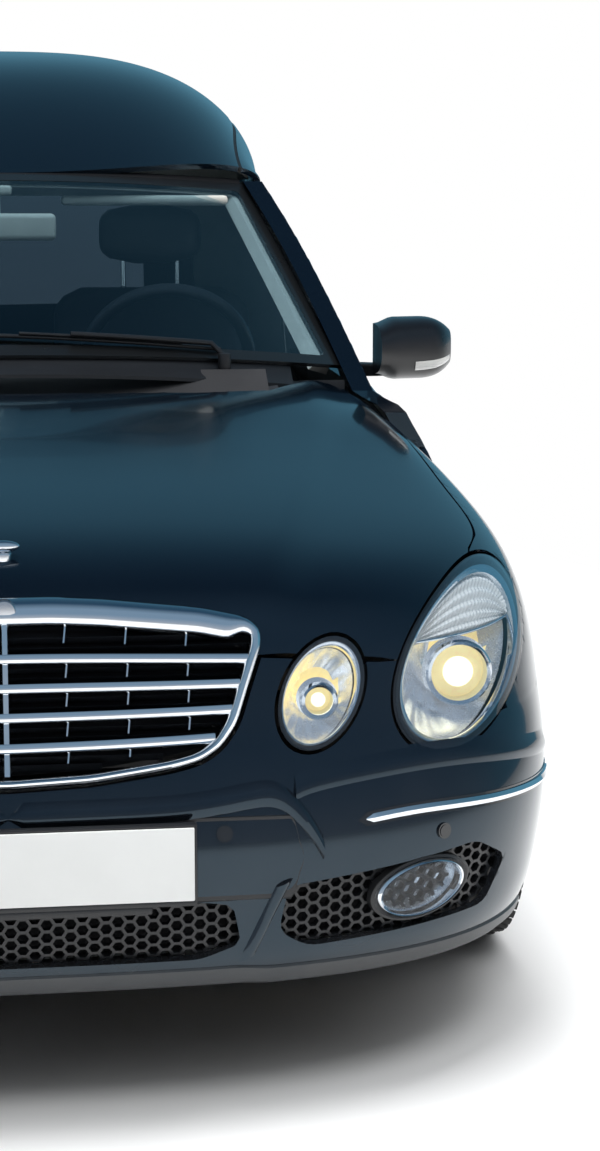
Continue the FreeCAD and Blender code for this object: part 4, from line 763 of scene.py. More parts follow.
    def thicken(self, inward: Callable[[Array, Array], Array] | float | Sequence[float],
                edge: float = 0.0) -> Piece:
        """Close the sheet into a panel, with its own smooth shading outside.

        Args:
            inward: Depth square to the sheet, or a straight move from the outer to the inner face, or the
                inner face's places worked out from rows of outer places and outward directions.
            edge: Width of the eased edge, in millimetres.

        Returns:
            The finished piece.
        """
        piece = self.piece
        u, v = self.uv()
        points = self.form(u, v)
        normal = self.normals(u, v) * self.hand
        if callable(inward):
            inner = inward(points, normal)
        else:
            inner = points + inward if np.ndim(inward) else points - normal * inward
        count = len(points)
        if edge:
            points = self.eased(points, normal, edge)
        pick(piece)
        with editing():
            bpy.ops.mesh.extrude_region_move(TRANSFORM_OT_translate={"value": (0, 0, 0)})
        mesh = piece.data
        fresh = np.zeros(len(mesh.vertices), bool)
        mesh.vertices.foreach_get("select", fresh)
        first = ~fresh
        if first.sum() != count or fresh.sum() != count:
            raise ValueError(f"{piece.name}: the sheet didn't double")
        places = np.empty((2 * count, 3))
        all_u, all_v = self.uv()
        order = {key: i for i, key in enumerate(zip(np.round(u, 7), np.round(v, 7)))}
        for i, key in enumerate(zip(np.round(all_u, 7), np.round(all_v, 7))):
            places[i] = points[order[key]] if fresh[i] else inner[order[key]]
        place_points(piece, to_frame(places))
        turn_outwards(piece)
        self.shade(piece, fresh, all_u, all_v)
        for label in ("u", "v"):
            mesh.attributes.remove(mesh.attributes[label])
        return piece

    def eased(self, points: Array, normal: Array, edge: float) -> Array:
        """Outer places with the sheet's rim sunk a little, for an eased edge."""
        mesh = bmesh.new()
        mesh.from_mesh(self.piece.data)
        result = points.copy()
        for vert in mesh.verts:
            if vert.is_boundary:
                result[vert.index] -= normal[vert.index] * edge
        mesh.free()
        return result

    def shade(self, piece: Piece, outer: Array, u: Array, v: Array) -> None:
        """Give the outer face the form's own directions, and the rest flat ones.

        Args:
            piece: The panel.
            outer: Which of its vertices lie on the outer face.
            u: The sheet's first parameter at the outer vertices.
            v: The sheet's second parameter there.
        """
        mesh = piece.data
        smooth_normals = self.normals(u, v) * self.hand
        corner = np.empty(len(mesh.loops), int)
        mesh.loops.foreach_get("vertex_index", corner)
        result = np.empty((len(mesh.loops), 3))
        for face in mesh.polygons:
            loops = slice(face.loop_start, face.loop_start + face.loop_total)
            ends = corner[loops]
            flat = np.array(face.normal)
            if outer[ends].all() and np.dot(smooth_normals[ends[0]], flat) > 0:
                result[loops] = smooth_normals[ends]
            else:
                result[loops] = flat
        mesh.shade_smooth()
        mesh.normals_split_custom_set(result.tolist())


# ---------------------------------------------------------------- finishes
def set_inputs(tree: Tree, node: bpy.types.Node, inputs: dict[str | int, object]) -> None:
    """Set a node's inputs by name or number: a socket is linked, and anything else is set as it is."""
    for key, value in inputs.items():
        if isinstance(value, Socket):
            tree.links.new(value, node.inputs[key])
        else:
            node.inputs[key].default_value = value


def add_node(tree: Tree, kind: str, inputs: dict[str | int, object] | None = None,
             **settings: object) -> bpy.types.Node:
    """Add a node to a tree.

    Args:
        tree: Node tree.
        kind: The node's type, without ShaderNode.
        inputs: Values and sockets for its inputs.
        settings: Settings of the node itself.

    Returns:
        The node.
    """
    node = tree.nodes.new("ShaderNode" + kind)
    for key, value in settings.items():
        setattr(node, key, value)
    set_inputs(tree, node, inputs or {})
    return node


def blend(tree: Tree, share: Socket, first: Colour | Socket,
          last: Colour | Socket) -> Socket:
    """Mix of two tones, each a colour or a socket."""
    ends = [end if isinstance(end, Socket) else (*end, 1.0) for end in (first, last)]
    return add_node(tree, "Mix", {"Factor": share, "A": ends[0], "B": ends[1]},
                    data_type="RGBA").outputs["Result"]


def mapped(tree: Tree, value: Socket, low: float, high: float, first: float = 0.0,
           last: float = 1.0) -> Socket:
    """Value that runs from first to last as another runs from low to high."""
    inputs = {"Value": value, "From Min": low, "From Max": high, "To Min": first, "To Max": last}
    return add_node(tree, "MapRange", inputs).outputs["Result"]


def maths(tree: Tree, operation: str, first: Socket, last: Socket,
          clamp: bool = False) -> Socket:
    """Result of an operation on two values."""
    return add_node(tree, "Math", {0: first, 1: last}, operation=operation, use_clamp=clamp).outputs["Value"]


def mix_shader(tree: Tree, share: Socket, first: Socket,
               last: Socket) -> Socket:
    """Mix of two shaders."""
    return add_node(tree, "MixShader", {"Fac": share, 1: first, 2: last}).outputs["Shader"]


def cloud(tree: Tree, place: Socket, scale: float) -> Socket:
    """Cloudy values at a scale."""
    return add_node(tree, "TexNoise", {"Vector": place, "Scale": scale, "Detail": 4.0}).outputs["Fac"]


def new_material(name: str) -> tuple[bpy.types.Material, Tree, Socket]:
    """New node material, its tree and the place on its piece."""
    material = bpy.data.materials.new(name)
    material.use_nodes = True
    tree = material.node_tree
    return material, tree, add_node(tree, "TexCoord").outputs["Object"]


@dataclass(frozen=True)
class Finish:
    """A surface: its colour, how it shines and how it varies."""

    name: str
    colour: tuple[float, float, float]
    metallic: float = 0.0
    roughness: float = 0.5
    coat: float = 0.0
    coat_roughness: float = 0.03
    ior: float = 1.5
    specular_tint: tuple[float, float, float] = (1.0, 1.0, 1.0)
    mottle: float = 0.12            # how far the colour wanders
    mottle_size: float = 0.25       # metres
    rough_swing: float = 0.08       # how far the roughness wanders
    grain: float = 0.0              # depth of the bump
    grain_size: float = 0.004       # metres
    glow: float = 0.0
    dust: float = 0.0               # share of road dust low on the body
    sheen: float = 0.0

    DUST_TOP = 0.55                 # metres
    DUST_FOOT = 0.15
    DUST_COLOUR = (0.16, 0.15, 0.14)

    def material(self) -> bpy.types.Material:
        """The finish as a node material, made once."""
        held = bpy.data.materials.get(self.name)
        if held:
            return held
        material, tree, place = new_material(self.name)
        tones = [[min(1.0, c * (1 + share)) for c in self.colour] for share in (-self.mottle, self.mottle)]
        colour = blend(tree, cloud(tree, place, 1.0 / self.mottle_size), *tones)
        if self.dust:
            colour = self.dusted(tree, place, colour)
        roughness = mapped(tree, cloud(tree, place, 2.3 / self.mottle_size), 0.0, 1.0,
                           max(0.0, self.roughness - self.rough_swing),
                           min(1.0, self.roughness + self.rough_swing))
        shader = tree.nodes["Principled BSDF"]
        set_inputs(tree, shader, {
            "Base Color": colour, "Roughness": roughness, "Metallic": self.metallic, "IOR": self.ior,
            "Specular Tint": (*self.specular_tint, 1.0), "Coat Weight": self.coat,
            "Coat Roughness": self.coat_roughness, "Sheen Weight": self.sheen})
        if self.glow:
            set_inputs(tree, shader, {"Emission Color": (*self.colour, 1.0), "Emission Strength": self.glow})
        if self.grain:
            bump = add_node(tree, "Bump", {"Strength": 0.6, "Distance": self.grain,
                                           "Height": cloud(tree, place, 1.0 / self.grain_size)})
            set_inputs(tree, shader, {"Normal": bump.outputs["Normal"]})
        return material

    def dusted(self, tree: Tree, place: Socket,
               colour: Socket) -> Socket:
        """Colour with a film of road dust that fades with height."""
        height = add_node(tree, "SeparateXYZ", {"Vector": place}).outputs["Z"]
        film = mapped(tree, height, self.DUST_FOOT, self.DUST_TOP, self.dust, 0.0)
        return blend(tree, maths(tree, "MULTIPLY", film, cloud(tree, place, 9.0)), colour, self.DUST_COLOUR)


@dataclass(frozen=True)
class Pane:
    """Clear or tinted glass that lets plain light through."""

    name: str
    tint: tuple[float, float, float]
    roughness: float = 0.0
    gloss: float = 1.0
    ior: float = 1.45

    def material(self) -> bpy.types.Material:
        """The glass as a node material, made once."""
        held = bpy.data.materials.get(self.name)
        if held:
            return held
        material, tree, place = new_material(self.name)
        tree.nodes.remove(tree.nodes["Principled BSDF"])
        tone = blend(tree, cloud(tree, place, 3.0), [c * 0.96 for c in self.tint], self.tint)
        through = add_node(tree, "BsdfTransparent", {"Color": tone}).outputs["BSDF"]
        gloss = (self.gloss, self.gloss, self.gloss, 1.0)
        shine = add_node(tree, "BsdfGlossy", {"Roughness": self.roughness, "Color": gloss}).outputs["BSDF"]
        fresnel = add_node(tree, "Fresnel", {"IOR": self.ior}).outputs["Fac"]
        back = add_node(tree, "NewGeometry").outputs["Backfacing"]
        facing = maths(tree, "SUBTRACT", fresnel, back, clamp=True)
        set_inputs(tree, tree.nodes["Material Output"], {"Surface": mix_shader(tree, facing, through, shine)})
        return material


PAINT = Finish("deep_black_paint", (0.0015, 0.0035, 0.007), roughness=0.12, coat=0.35, coat_roughness=0.02,
               specular_tint=(0.45, 0.75, 1.0), mottle=0.25, mottle_size=0.5, rough_swing=0.05, dust=0.22)
CHROME = Finish("bright_chrome", (0.80, 0.83, 0.86), metallic=1.0, roughness=0.07, mottle=0.03,
                rough_swing=0.03)
DULL_CHROME = Finish("satin_chrome", (0.58, 0.60, 0.63), metallic=1.0, roughness=0.26, mottle=0.06)
# Reflector metal with a faint glow of its own: painted light that brightens every bowl and collar it covers.
GLOWING_REFLECTOR = Finish("lamp_reflector_painted_glow", (0.86, 0.88, 0.90), metallic=1.0, roughness=0.26, glow=0.13, mottle=0.12,
                   mottle_size=0.02)
BLACK_TRIM = Finish("black_plastic", (0.010, 0.011, 0.013), roughness=0.42, grain=0.0002, grain_size=0.0025,
                    mottle=0.3, dust=0.15)
GLOSS_TRIM = Finish("gloss_black_trim", (0.006, 0.007, 0.009), roughness=0.18, coat=0.6, mottle=0.2)
RUBBER = Finish("seal_rubber", (0.008, 0.008, 0.009), roughness=0.6, grain=0.0002, mottle=0.3,
                mottle_size=0.1)
# Near-black, unlit finish: painted shade for the depth behind the grille and the lower openings.
DARK = Finish("unlit_dark", (0.004, 0.004, 0.005), roughness=0.85, mottle=0.3)
SEAT = Finish("dark_seat_leather", (0.020, 0.021, 0.026), roughness=0.48, grain=0.0006, grain_size=0.004,
              mottle=0.3, mottle_size=0.08)
CABIN = Finish("dark_cabin_plastic", (0.022, 0.024, 0.028), roughness=0.55, grain=0.0004, grain_size=0.003,
               mottle=0.2, mottle_size=0.15)
LINING = Finish("pale_cabin_cloth", (0.42, 0.42, 0.40), roughness=0.9, grain=0.0004, grain_size=0.0022,
                mottle=0.12, mottle_size=0.05, sheen=0.2)
PLATE = Finish("plate_white", (0.80, 0.81, 0.80), roughness=0.35, coat=0.3, mottle=0.06, mottle_size=0.1)
UNDERBODY = Finish("underbody_coat", (0.028, 0.028, 0.030), roughness=0.75, grain=0.0008, grain_size=0.006,
                   mottle=0.35, mottle_size=0.15)
CAST_METAL = Finish("cast_metal", (0.12, 0.12, 0.125), metallic=0.8, roughness=0.55, grain=0.0006,
                    grain_size=0.004, mottle=0.3, mottle_size=0.06)
EXHAUST = Finish("exhaust_steel", (0.34, 0.32, 0.29), metallic=1.0, roughness=0.42, mottle=0.25,
                 mottle_size=0.08)
ALLOY = Finish("wheel_lacquer", (0.50, 0.51, 0.53), metallic=0.75, roughness=0.30, coat=0.5, mottle=0.08,
               mottle_size=0.12, dust=0.1)
TYRE = Finish("tyre_rubber", (0.018, 0.018, 0.019), roughness=0.72, grain=0.0004, grain_size=0.003,
              mottle=0.3, mottle_size=0.06, dust=0.35)
REVERSE_WHITE = Finish("reverse_lamp_white", (0.62, 0.60, 0.60), roughness=0.12, coat=1.0, mottle=0.08,
                       mottle_size=0.02)
TAIL_RED = Finish("tail_lamp_red", (0.32, 0.006, 0.008), roughness=0.12, coat=1.0, mottle=0.15,
                  mottle_size=0.02)
DECK_STEEL = Finish("deck_steel", (0.50, 0.51, 0.52), metallic=1.0, roughness=0.34, mottle=0.12,
                    mottle_size=0.1)
LAMP_GLOW = Finish("warm_lamp_glow", (1.0, 0.78, 0.40), roughness=0.3, glow=0.62, mottle=0.25,
                   mottle_size=0.012)
LAMP_LIT = Finish("lit_projector_lens", (1.0, 0.92, 0.68), roughness=0.1, glow=1.25, mottle=0.35,
                  mottle_size=0.03)
SIGNAL = Finish("turn_signal_clear", (0.70, 0.70, 0.68), roughness=0.12, coat=1.0, mottle=0.1,
                mottle_size=0.01)
MESH_TRIM = Finish("mesh_plastic", (0.014, 0.015, 0.017), roughness=0.35, mottle=0.2, mottle_size=0.1)
LIP = Finish("bumper_lip_plastic", (0.030, 0.036, 0.042), roughness=0.38, grain=0.0002, grain_size=0.003,
             mottle=0.2, dust=0.3)
MIRROR_TRIM = Finish("mirror_gloss", (0.004, 0.0045, 0.006), roughness=0.3, coat=0.25, mottle=0.2,
                     mottle_size=0.1)
SCREEN_BAND = Finish("screen_edge_black", (0.006, 0.007, 0.008), roughness=0.3, coat=0.3, mottle=0.2)
DISC_STEEL = Finish("brake_disc_steel", (0.30, 0.30, 0.31), metallic=1.0, roughness=0.34, mottle=0.2,
                    mottle_size=0.04)
WHEELHOUSE = Finish("wheelhouse_liner", (0.014, 0.014, 0.015), roughness=0.85, grain=0.0008, grain_size=0.005,
                    mottle=0.3, dust=0.4)
WHEEL_LEATHER = Finish("steering_leather", (0.012, 0.013, 0.016), roughness=0.42, grain=0.0004,
                       grain_size=0.003, mottle=0.25, mottle_size=0.05)
PIPING = Finish("seat_piping", (0.05, 0.055, 0.065), roughness=0.5, mottle=0.2, mottle_size=0.02)
PALE_PLASTIC = Finish("pale_cabin_plastic", (0.50, 0.50, 0.47), roughness=0.6, grain=0.0003, grain_size=0.002,
                      mottle=0.1, mottle_size=0.05)
BELT_CLOTH = Finish("belt_webbing", (0.30, 0.31, 0.31), roughness=0.8, grain=0.0005, grain_size=0.0015,
                    mottle=0.15, mottle_size=0.02, sheen=0.3)
WINDOW = Pane("clear_window", (0.78, 0.86, 0.89), ior=2.0)
PRIVACY = Pane("dark_window", (0.20, 0.23, 0.26), ior=1.6)
FOG_GLASS = Pane("fog_lamp_glass", (0.72, 0.76, 0.80), roughness=0.05)
LENS = Pane("lamp_cover_glass", (0.93, 0.95, 0.97))


def tinted(part: Piece, finish: Finish) -> Piece:
    """Give one part its finish before it is joined to others."""
    part.data.materials.clear()
    part.data.materials.append(finish.material())
    return part


def finish_piece(piece: Piece, finishes: Sequence[Finish | Pane], body: str, slot: str,
                 *nodes: str) -> Piece:
    """Give a piece its finishes and let it ride on its body.

    Args:
        piece: Finished mesh.
        finishes: One finish for each material index that the mesh uses, or none where its parts are tinted.
        body: Body that the piece moves with.
        slot: Not used.
        nodes: CAD nodes that the piece stands for.

    Returns:
        The piece.
    """
    if finishes:
        index = np.zeros(len(piece.data.polygons), int)
        piece.data.polygons.foreach_get("material_index", index)
        piece.data.materials.clear()
        for finish in finishes:
            piece.data.materials.append(finish.material())
        piece.data.polygons.foreach_set("material_index", np.minimum(index, len(finishes) - 1))
    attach(piece, body)
    if nodes:
        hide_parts(*nodes)
    log.info("%s: %d faces on %s", piece.name, len(piece.data.polygons), body)
    return piece


def finish_pair(piece: Piece, name: str, finishes: Sequence[Finish | Pane], slot: str,
                body: str = "body", left: Sequence[str] = (), right: Sequence[str] = ()) -> None:
    """Name a piece, copy it across the car and finish both.

    Args:
        piece: Piece on the driver's side.
        name: Name of both, to which the side is added.
        finishes: Finishes, as for one piece.
        slot: The record's material slot.
        body: Body of both, or "door" where each rides on its own side's door.
        left: CAD nodes that the left piece stands for.
        right: CAD nodes that the right piece stands for.
    """
    twin = mirror_copy(named(piece, name + "_left"), name + "_right")
    for part, side, nodes in ((piece, "left", left), (twin, "right", right)):
        finish_piece(part, finishes, f"door_{side}" if body == "door" else body, slot, *nodes)


# ---------------------------------------------------------------- body panels
BONNET_CENTRE = (1050.0, 520.0)         # s and z from which the bonnet is laid out
SHUT_LINE = [(750, 470), (782, 573), (785, 780), (780, 1016), (775, 1186), (758, 1380), (734, 1530)]
BONNET_REAR = [(640, 1470), (585, 1390), (526, 1300), (384, 1242), (189, 1215), (0, 1210)]
LIP_LINE = [(360, 668), (405, 668), (548, 652), (600, 640), (700, 640)]
GRILLE = mirrored_outline([(70, 757), (140, 753), (284, 738), (352, 723), (372, 704), (371, 682), (353, 636),
                           (331, 576), (306, 545), (276, 528), (234, 519), (120, 505), (0.0, 500)])
LAMPS = [((459, 611), (66, 76), 0.3), ((704, 634), (131, 122), 0.36)]      # centre, half sizes, lean
CENTRE_INTAKE = mirrored_outline([(262, 330), (318, 322), (330, 262), (270, 240)])
SIDE_INTAKE = [(400, 345), (700, 372), (760, 330), (720, 262), (430, 248), (385, 275)]
NOSE_FAN_S = 900.0          # s from which the nose is laid out in level rays
BONNET_CORNER = [(712.0, 1600.0), (716.0, 1462.0), (734.0, 1430.0), (900.0, 1430.0), (900.0, 1600.0)]


def shut_curve(first: float, last: float, offset: float = 0.0, count: int = 40) -> Outline:
    """The bonnet's side edge in plan, as x and s."""
    curve = Spline([(s, x) for x, s in SHUT_LINE])
    return [(float(curve(s)) + offset, s) for s in np.linspace(first, last, count)]


def fan_on_nose(spread: float, u: Array, z: Array) -> Array:
    """Places on the nose from level rays that spread by an angle in degrees to each side."""
    angle = np.radians(-spread + 2 * spread * u)
    start = np.stack([np.zeros(z.shape), np.full(z.shape, NOSE_FAN_S), z], -1)
    return FORM.hit(start, np.stack([np.sin(angle), -np.cos(angle), np.zeros(z.shape)], -1))


def wheel_arch(axle_s: float, count: int = 96) -> Outline:
    """Round wheel opening in profile."""
    return oval((axle_s, TYRE_RADIUS), (ARCH_RADIUS, ARCH_RADIUS), 0.0, count=count)


@dataclass
class FrontPanels:
    """Bonnet, wings and bumper skin."""

    bonnet_thick: float = 24.0
    wing_thick: float = 12.0
    bumper_thick: float = 14.0
    eased_edge: float = 1.6
    fan_width: float = 1600.0       # span of the rays that lay out the bonnet
    wing_front: float = 270.0
    bumper_low: float = 195.0
    bumper_tall: float = 475.0

    def build(self) -> None:
        """Make and dress every front panel."""
        self.bonnet()
        self.wings()
        self.bumper()

    def lamp_holes(self, skin: Skin, grow: float, both: bool = True) -> Skin:
        """Cut the leaning lamp openings."""
        for centre, half, lean in LAMPS:
            outline = oval(centre, half, lean, grow)
            for hole in (outline, flipped(outline)) if both else (outline,):
                skin.cut(hole, View.FRONT, Side.OUTSIDE)
        return skin

    def bonnet_place(self, u: Array, v: Array) -> Array:
        """Places on the bonnet from a fan of rays in upright planes along the car."""
        x = (u - 0.5) * self.fan_width
        angle = np.radians(178.0 - 140.0 * v)
        start = np.stack([x, np.full(x.shape, BONNET_CENTRE[0]), np.full(x.shape, BONNET_CENTRE[1])], -1)
        return FORM.hit(start, np.stack([np.zeros(x.shape), np.cos(angle), np.sin(angle)], -1))

    def bonnet(self) -> None:
        """Bonnet down to the lamps and the grille's surround."""
        skin = Skin("bonnet_panel", self.bonnet_place, 124, 130)
        plan = [(560, -60), (750, 300)] + shut_curve(470, 1530) + BONNET_REAR
        skin.cut(plan + flipped(plan[:-1])[::-1], View.PLAN, Side.INSIDE)
        lip = [(x, z + PANEL_GAP / 2) for x, z in LIP_LINE]
        front = [(0, 700), (340, 700)] + lip + [(900, 640), (900, 1100)]
        skin.cut(front + flipped(front[1:])[::-1], View.FRONT, Side.INSIDE)
        skin.cut(rounded(GRILLE, 14), View.FRONT, Side.OUTSIDE)
        self.lamp_holes(skin, LAMP_GAP)
        for hand, _ in SIDES:
            corner = [(hand * x, s) for x, s in BONNET_CORNER]
            skin.cut(corner, View.PLAN, Side.OUTSIDE)
        panel = skin.thicken(self.bonnet_thick, self.eased_edge)
        finish_piece(panel, [PAINT], "bonnet", "body_paint", "bonnet")

    def wing_place(self, u: Array, v: Array) -> Array:
        """Places on the wing from a fan of rays in upright planes across the car."""
        s = self.wing_front + (DOOR_FRONT_S - PANEL_GAP - self.wing_front) * u
        angle = np.radians(-44.0 + 108.0 * v)
        start = np.stack([np.full(s.shape, 500.0), s, np.full(s.shape, 560.0)], -1)
        return FORM.hit(start, np.stack([np.cos(angle), np.zeros(s.shape), np.sin(angle)], -1))

    def wings(self) -> None:
        """Front wings from the headlamps back to the doors."""
        skin = Skin("wing_left", self.wing_place, 84, 66)
        plan = [(0, 0), (750, 0), (754, 470)] + shut_curve(573, 1530, PANEL_GAP) + [(0, 1600)]
        skin.cut(plan, View.PLAN, Side.OUTSIDE)
        end = BUMPER_END_S + 1
        skin.cut([(0, 0), (end, 0), (end, 545), (0, 545)], View.PROFILE, Side.OUTSIDE)
        skin.cut([(0, 0), (700, 0), (700, 700), (0, 700)], View.FRONT, Side.OUTSIDE)
        self.lamp_holes(skin, LAMP_GAP, both=False)
        skin.cut(wheel_arch(FRONT_AXLE_S, 160), View.PROFILE, Side.OUTSIDE)
        wing = skin.thicken(self.wing_thick, self.eased_edge)
        finish_pair(wing, "wing", [PAINT], "body_paint", left=("fenders",))

    def nose_place(self, u: Array, v: Array) -> Array:
        """Places on the nose from rays that spread from the centre line."""
        return fan_on_nose(71.0, u, self.bumper_low + self.bumper_tall * v)

    def bumper(self) -> None:
        """Bumper skin with its intakes."""
        skin = Skin("bumper_skin", self.nose_place, 220, 44, lambda p: p - [0.0, 900.0, 400.0])
        above = [(0, 668), (340, 668), (405, 668 - PANEL_GAP), (548, 652 - PANEL_GAP), (700, 640), (760, 545),
                 (1000, 545), (1000, 900)]
        skin.cut(above + flipped(above)[::-1], View.FRONT, Side.OUTSIDE)
        skin.cut(grown(rounded(GRILLE, 14), PANEL_GAP), View.FRONT, Side.OUTSIDE)
        self.lamp_holes(skin, LAMP_GAP)
        skin.cut(wheel_arch(FRONT_AXLE_S, 160), View.PROFILE, Side.OUTSIDE)
        skin.cut([(-100, 0), (BUMPER_END_S, 0), (BUMPER_END_S, 900), (-100, 900)], View.PROFILE, Side.INSIDE)
        skin.cut(rounded(CENTRE_INTAKE, 14), View.FRONT, Side.OUTSIDE)
        for hole in (SIDE_INTAKE, flipped(SIDE_INTAKE)):
            skin.cut(rounded(hole, 18), View.FRONT, Side.OUTSIDE)
        panel = skin.thicken(self.bumper_thick, self.eased_edge)
        finish_piece(panel, [PAINT], "body", "body_paint", "front_bumper")


# ---------------------------------------------------------------- sides, doors, roof and rear
SIDE_THICK = 90.0
FRAME_THICK = 45.0
GLASS_THICK = 6.0
GLASS_INSET = 10.0
SEAL_RISE = 2.0
SEAL_WIDTH = 13.0
SEAL_THICK = 5.0
EASED_EDGE = 1.6
RUB_STRIP_Z = 520.0
RUB_STRIP_HALF = 9.0
DOOR_PIN = (872.0, 1395.0)
DOOR_EDGE_SLOPE = 0.27
TAIL_HALF_WIDTH = 640.0
TAIL_THICK = 50.0
TAIL_PIN_S = 5449.0
TAIL_BOTTOM = 520.0
BUMPER_FAN_S = 5000.0           # s from which the rear bumper is laid out
DOOR_OUTLINE = [(1400, 262), (1352, 350), (DOOR_FRONT_S, 480), (DOOR_FRONT_S, 820), (1372, 872), (1440, 905),
                (1585, 950), (1668, 992), (2165, 1358), (2215, 1372), (2440, 1372), (2478, 1350),
                (2500, 1150), (DOOR_REAR_S, 925), (DOOR_REAR_S, 420), (2492, 320), (2440, 262)]
DOOR_WINDOW = [(1700, 962), (2170, 1310), (2215, 1328), (2410, 1328), (2432, 1300), (2452, 962)]
REAR_WINDOWS = [[(2620, 962), (2620, 1338), (4030, 1338), (4030, 962)],
                [(4110, 962), (4110, 1338), (5240, 1326), (5290, 962)]]
TAIL_WINDOW = mirrored_outline([(120, 1560), (300, 1540), (440, 1490), (530, 1400), (552, 1300), (560, 985),
                                (0.0, 975)])
WINDSCREEN_LINE = [(1300, 905), (1500, 940), (1560, 982), (2082, 1395), (1300, 1395)]


def panel_depth(z: Array) -> Array:
    """Depth of the body side at a height: thick below the belt, thin frames above."""
    return SIDE_THICK + (FRAME_THICK - SIDE_THICK) * soft_step((z - 780) / 90)


@dataclass
class BodySides:
    """Body sides from the door's front edge round to the tailgate, with their glass."""

    columns: int = 150
    rows: int = 74
    door_grid: tuple[int, int] = (74, 78)
    turn_share: float = 0.16        # part of the grid that turns the rear corner
    card_thick: float = 16.0

    def build(self) -> None:
        """Make both sides, the doors and all side glass."""
        self.side()
        self.door()
        self.pillars()
        self.rear_glass()

    def place(self, u: Array, v: Array) -> Array:
        """Places on the driver's side and round its rear corner.

        Args:
            u: Share of the way back, from the door's front edge to the corner's end.
            v: Share of the height, from sill to roof rail.

        Returns:
            The places, one per pair of shares.
        """
        z = SILL + (RAIL - SILL) * v
        start = FORM.tail_line(z) - FORM.TAIL_CORNER
        width = FORM.side_x(start, z)
        split = 1 - self.turn_share
        along = np.clip(u / split, 0, 1)
        s = DOOR_FRONT_S + (start - DOOR_FRONT_S) * along
        last = np.arccos((TAIL_HALF_WIDTH / width) ** (FORM.TAIL_FULLNESS / 2))
        turn = last * np.clip((u - split) / self.turn_share, 0, 1) ** 1.6
        power = 2 / FORM.TAIL_FULLNESS
        x = np.where(u < split, FORM.side_x(s, z), width * np.cos(turn) ** power)
        s = np.where(u < split, s, start + FORM.TAIL_CORNER * np.sin(turn) ** power)
        return np.stack([x, s, z], -1)

    def depth(self, points: Array, normal: Array) -> Array:
        """Inner places of the side: straight in along the side, square to the skin round the corner."""
        depth = panel_depth(points[:, 2])
        round_corner = soft_step((points[:, 1] - 5250) / 80)[:, None]
        way = unit(np.array([-1.0, 0.0, 0.0]) * (1 - round_corner) - normal * [1.0, 1.0, 0.0] * round_corner)
        inner = points + way * depth[:, None]
        inner[:, 1] -= DOOR_EDGE_SLOPE * depth * self.lean_share(points)
        return inner

    @staticmethod
    def lean_share(points: Array) -> Array:
        """Where edges lean in, so that the door can swing past its rear pillar."""
        near = soft_step((points[:, 1] - 2440) / 30) * soft_step((2580 - points[:, 1]) / 40)
        return near * soft_step((points[:, 2] - 280) / 40)

    def side(self) -> None:
        """The fixed body side with its door opening, wheel arch and windows."""
        skin = Skin("body_side_left", self.place, self.columns, self.rows, (1.0, 0.2, 0.0))
        skin.cut(WINDSCREEN_LINE, View.PROFILE, Side.OUTSIDE)
        skin.cut(grown(rounded(DOOR_OUTLINE, 26), PANEL_GAP), View.PROFILE, Side.OUTSIDE)
        skin.cut(wheel_arch(REAR_AXLE_S), View.PROFILE, Side.OUTSIDE)
        for window in REAR_WINDOWS:
            skin.cut(rounded(window, 34), View.PROFILE, Side.OUTSIDE)
        finish_pair(skin.thicken(self.depth, EASED_EDGE), "body_side", [PAINT], "body_paint",
                    left=("side_frame_left", "quarter_left"), right=("side_frame_right", "quarter_right"))

    def door_place(self, u: Array, v: Array) -> Array:
        """Places on the driver's door."""
        s = DOOR_FRONT_S - 4 + (DOOR_REAR_S - DOOR_FRONT_S + 8) * u
        z = 258 + 1120 * v
        return np.stack([FORM.side_x(s, z), s, z], -1)

    def door(self) -> None:
        """Both doors with their window openings, glass, seals and handles."""
        skin = Skin("door_skin_left", self.door_place, *self.door_grid, ALONG_X)
        skin.cut(rounded(DOOR_OUTLINE, 26), View.PROFILE, Side.INSIDE)
        skin.cut(rounded(DOOR_WINDOW, 16), View.PROFILE, Side.OUTSIDE)
        parts = [skin.thicken(self.door_depth, EASED_EDGE), self.handle(), self.hinge_eyes(),
                 self.door_card(), self.rub_strip()]
        looks = [("door_skin", [PAINT], "body_paint"), ("door_handle", [], "chrome"),
                 ("door_hinge_eyes", [CAST_METAL], "cast"), ("door_card", [], "cabin_lining"),
                 ("door_rub_strip", [CHROME], "chrome")]
        for part, (name, finishes, slot) in zip(parts, looks):
            nodes = [("door_left",), ("door_right",)] if part is parts[0] else [(), ()]
            finish_pair(part, name, finishes, slot, "door", *nodes)
        pane = self.pane("door_pane_left", self.door_place, DOOR_WINDOW, *self.door_grid)
        finish_pair(pane, "door_pane", [WINDOW], "window_glass", "door", ("door_glass_left",),
                    ("door_glass_right",))
        seal = self.seal("door_seal_left", self.door_place, DOOR_WINDOW, *self.door_grid)
        finish_pair(seal, "door_seal", [RUBBER], "black_trim", "door")

    def door_depth(self, points: Array, normal: Array) -> Array:
        """Inner places of the door, with its rear edge leaning in and room kept for the hinges."""
        depth = panel_depth(points[:, 2])
        inner = points - np.outer(depth, [1.0, 0.0, 0.0])
        inner[:, 1] -= DOOR_EDGE_SLOPE * depth * self.lean_share(points)
        return inner

    def pane(self, name: str, place: Form, window: Outline, columns: int, rows: int) -> Piece:
        """Pane of glass inside a window opening."""
        inset = np.array([GLASS_INSET, 0.0, 0.0])
        skin = Skin(name, lambda u, v: place(u, v) - inset, columns, rows, ALONG_X)
        skin.cut(grown(rounded(window, 30), -1.0), View.PROFILE, Side.INSIDE)
        return skin.thicken(GLASS_THICK)

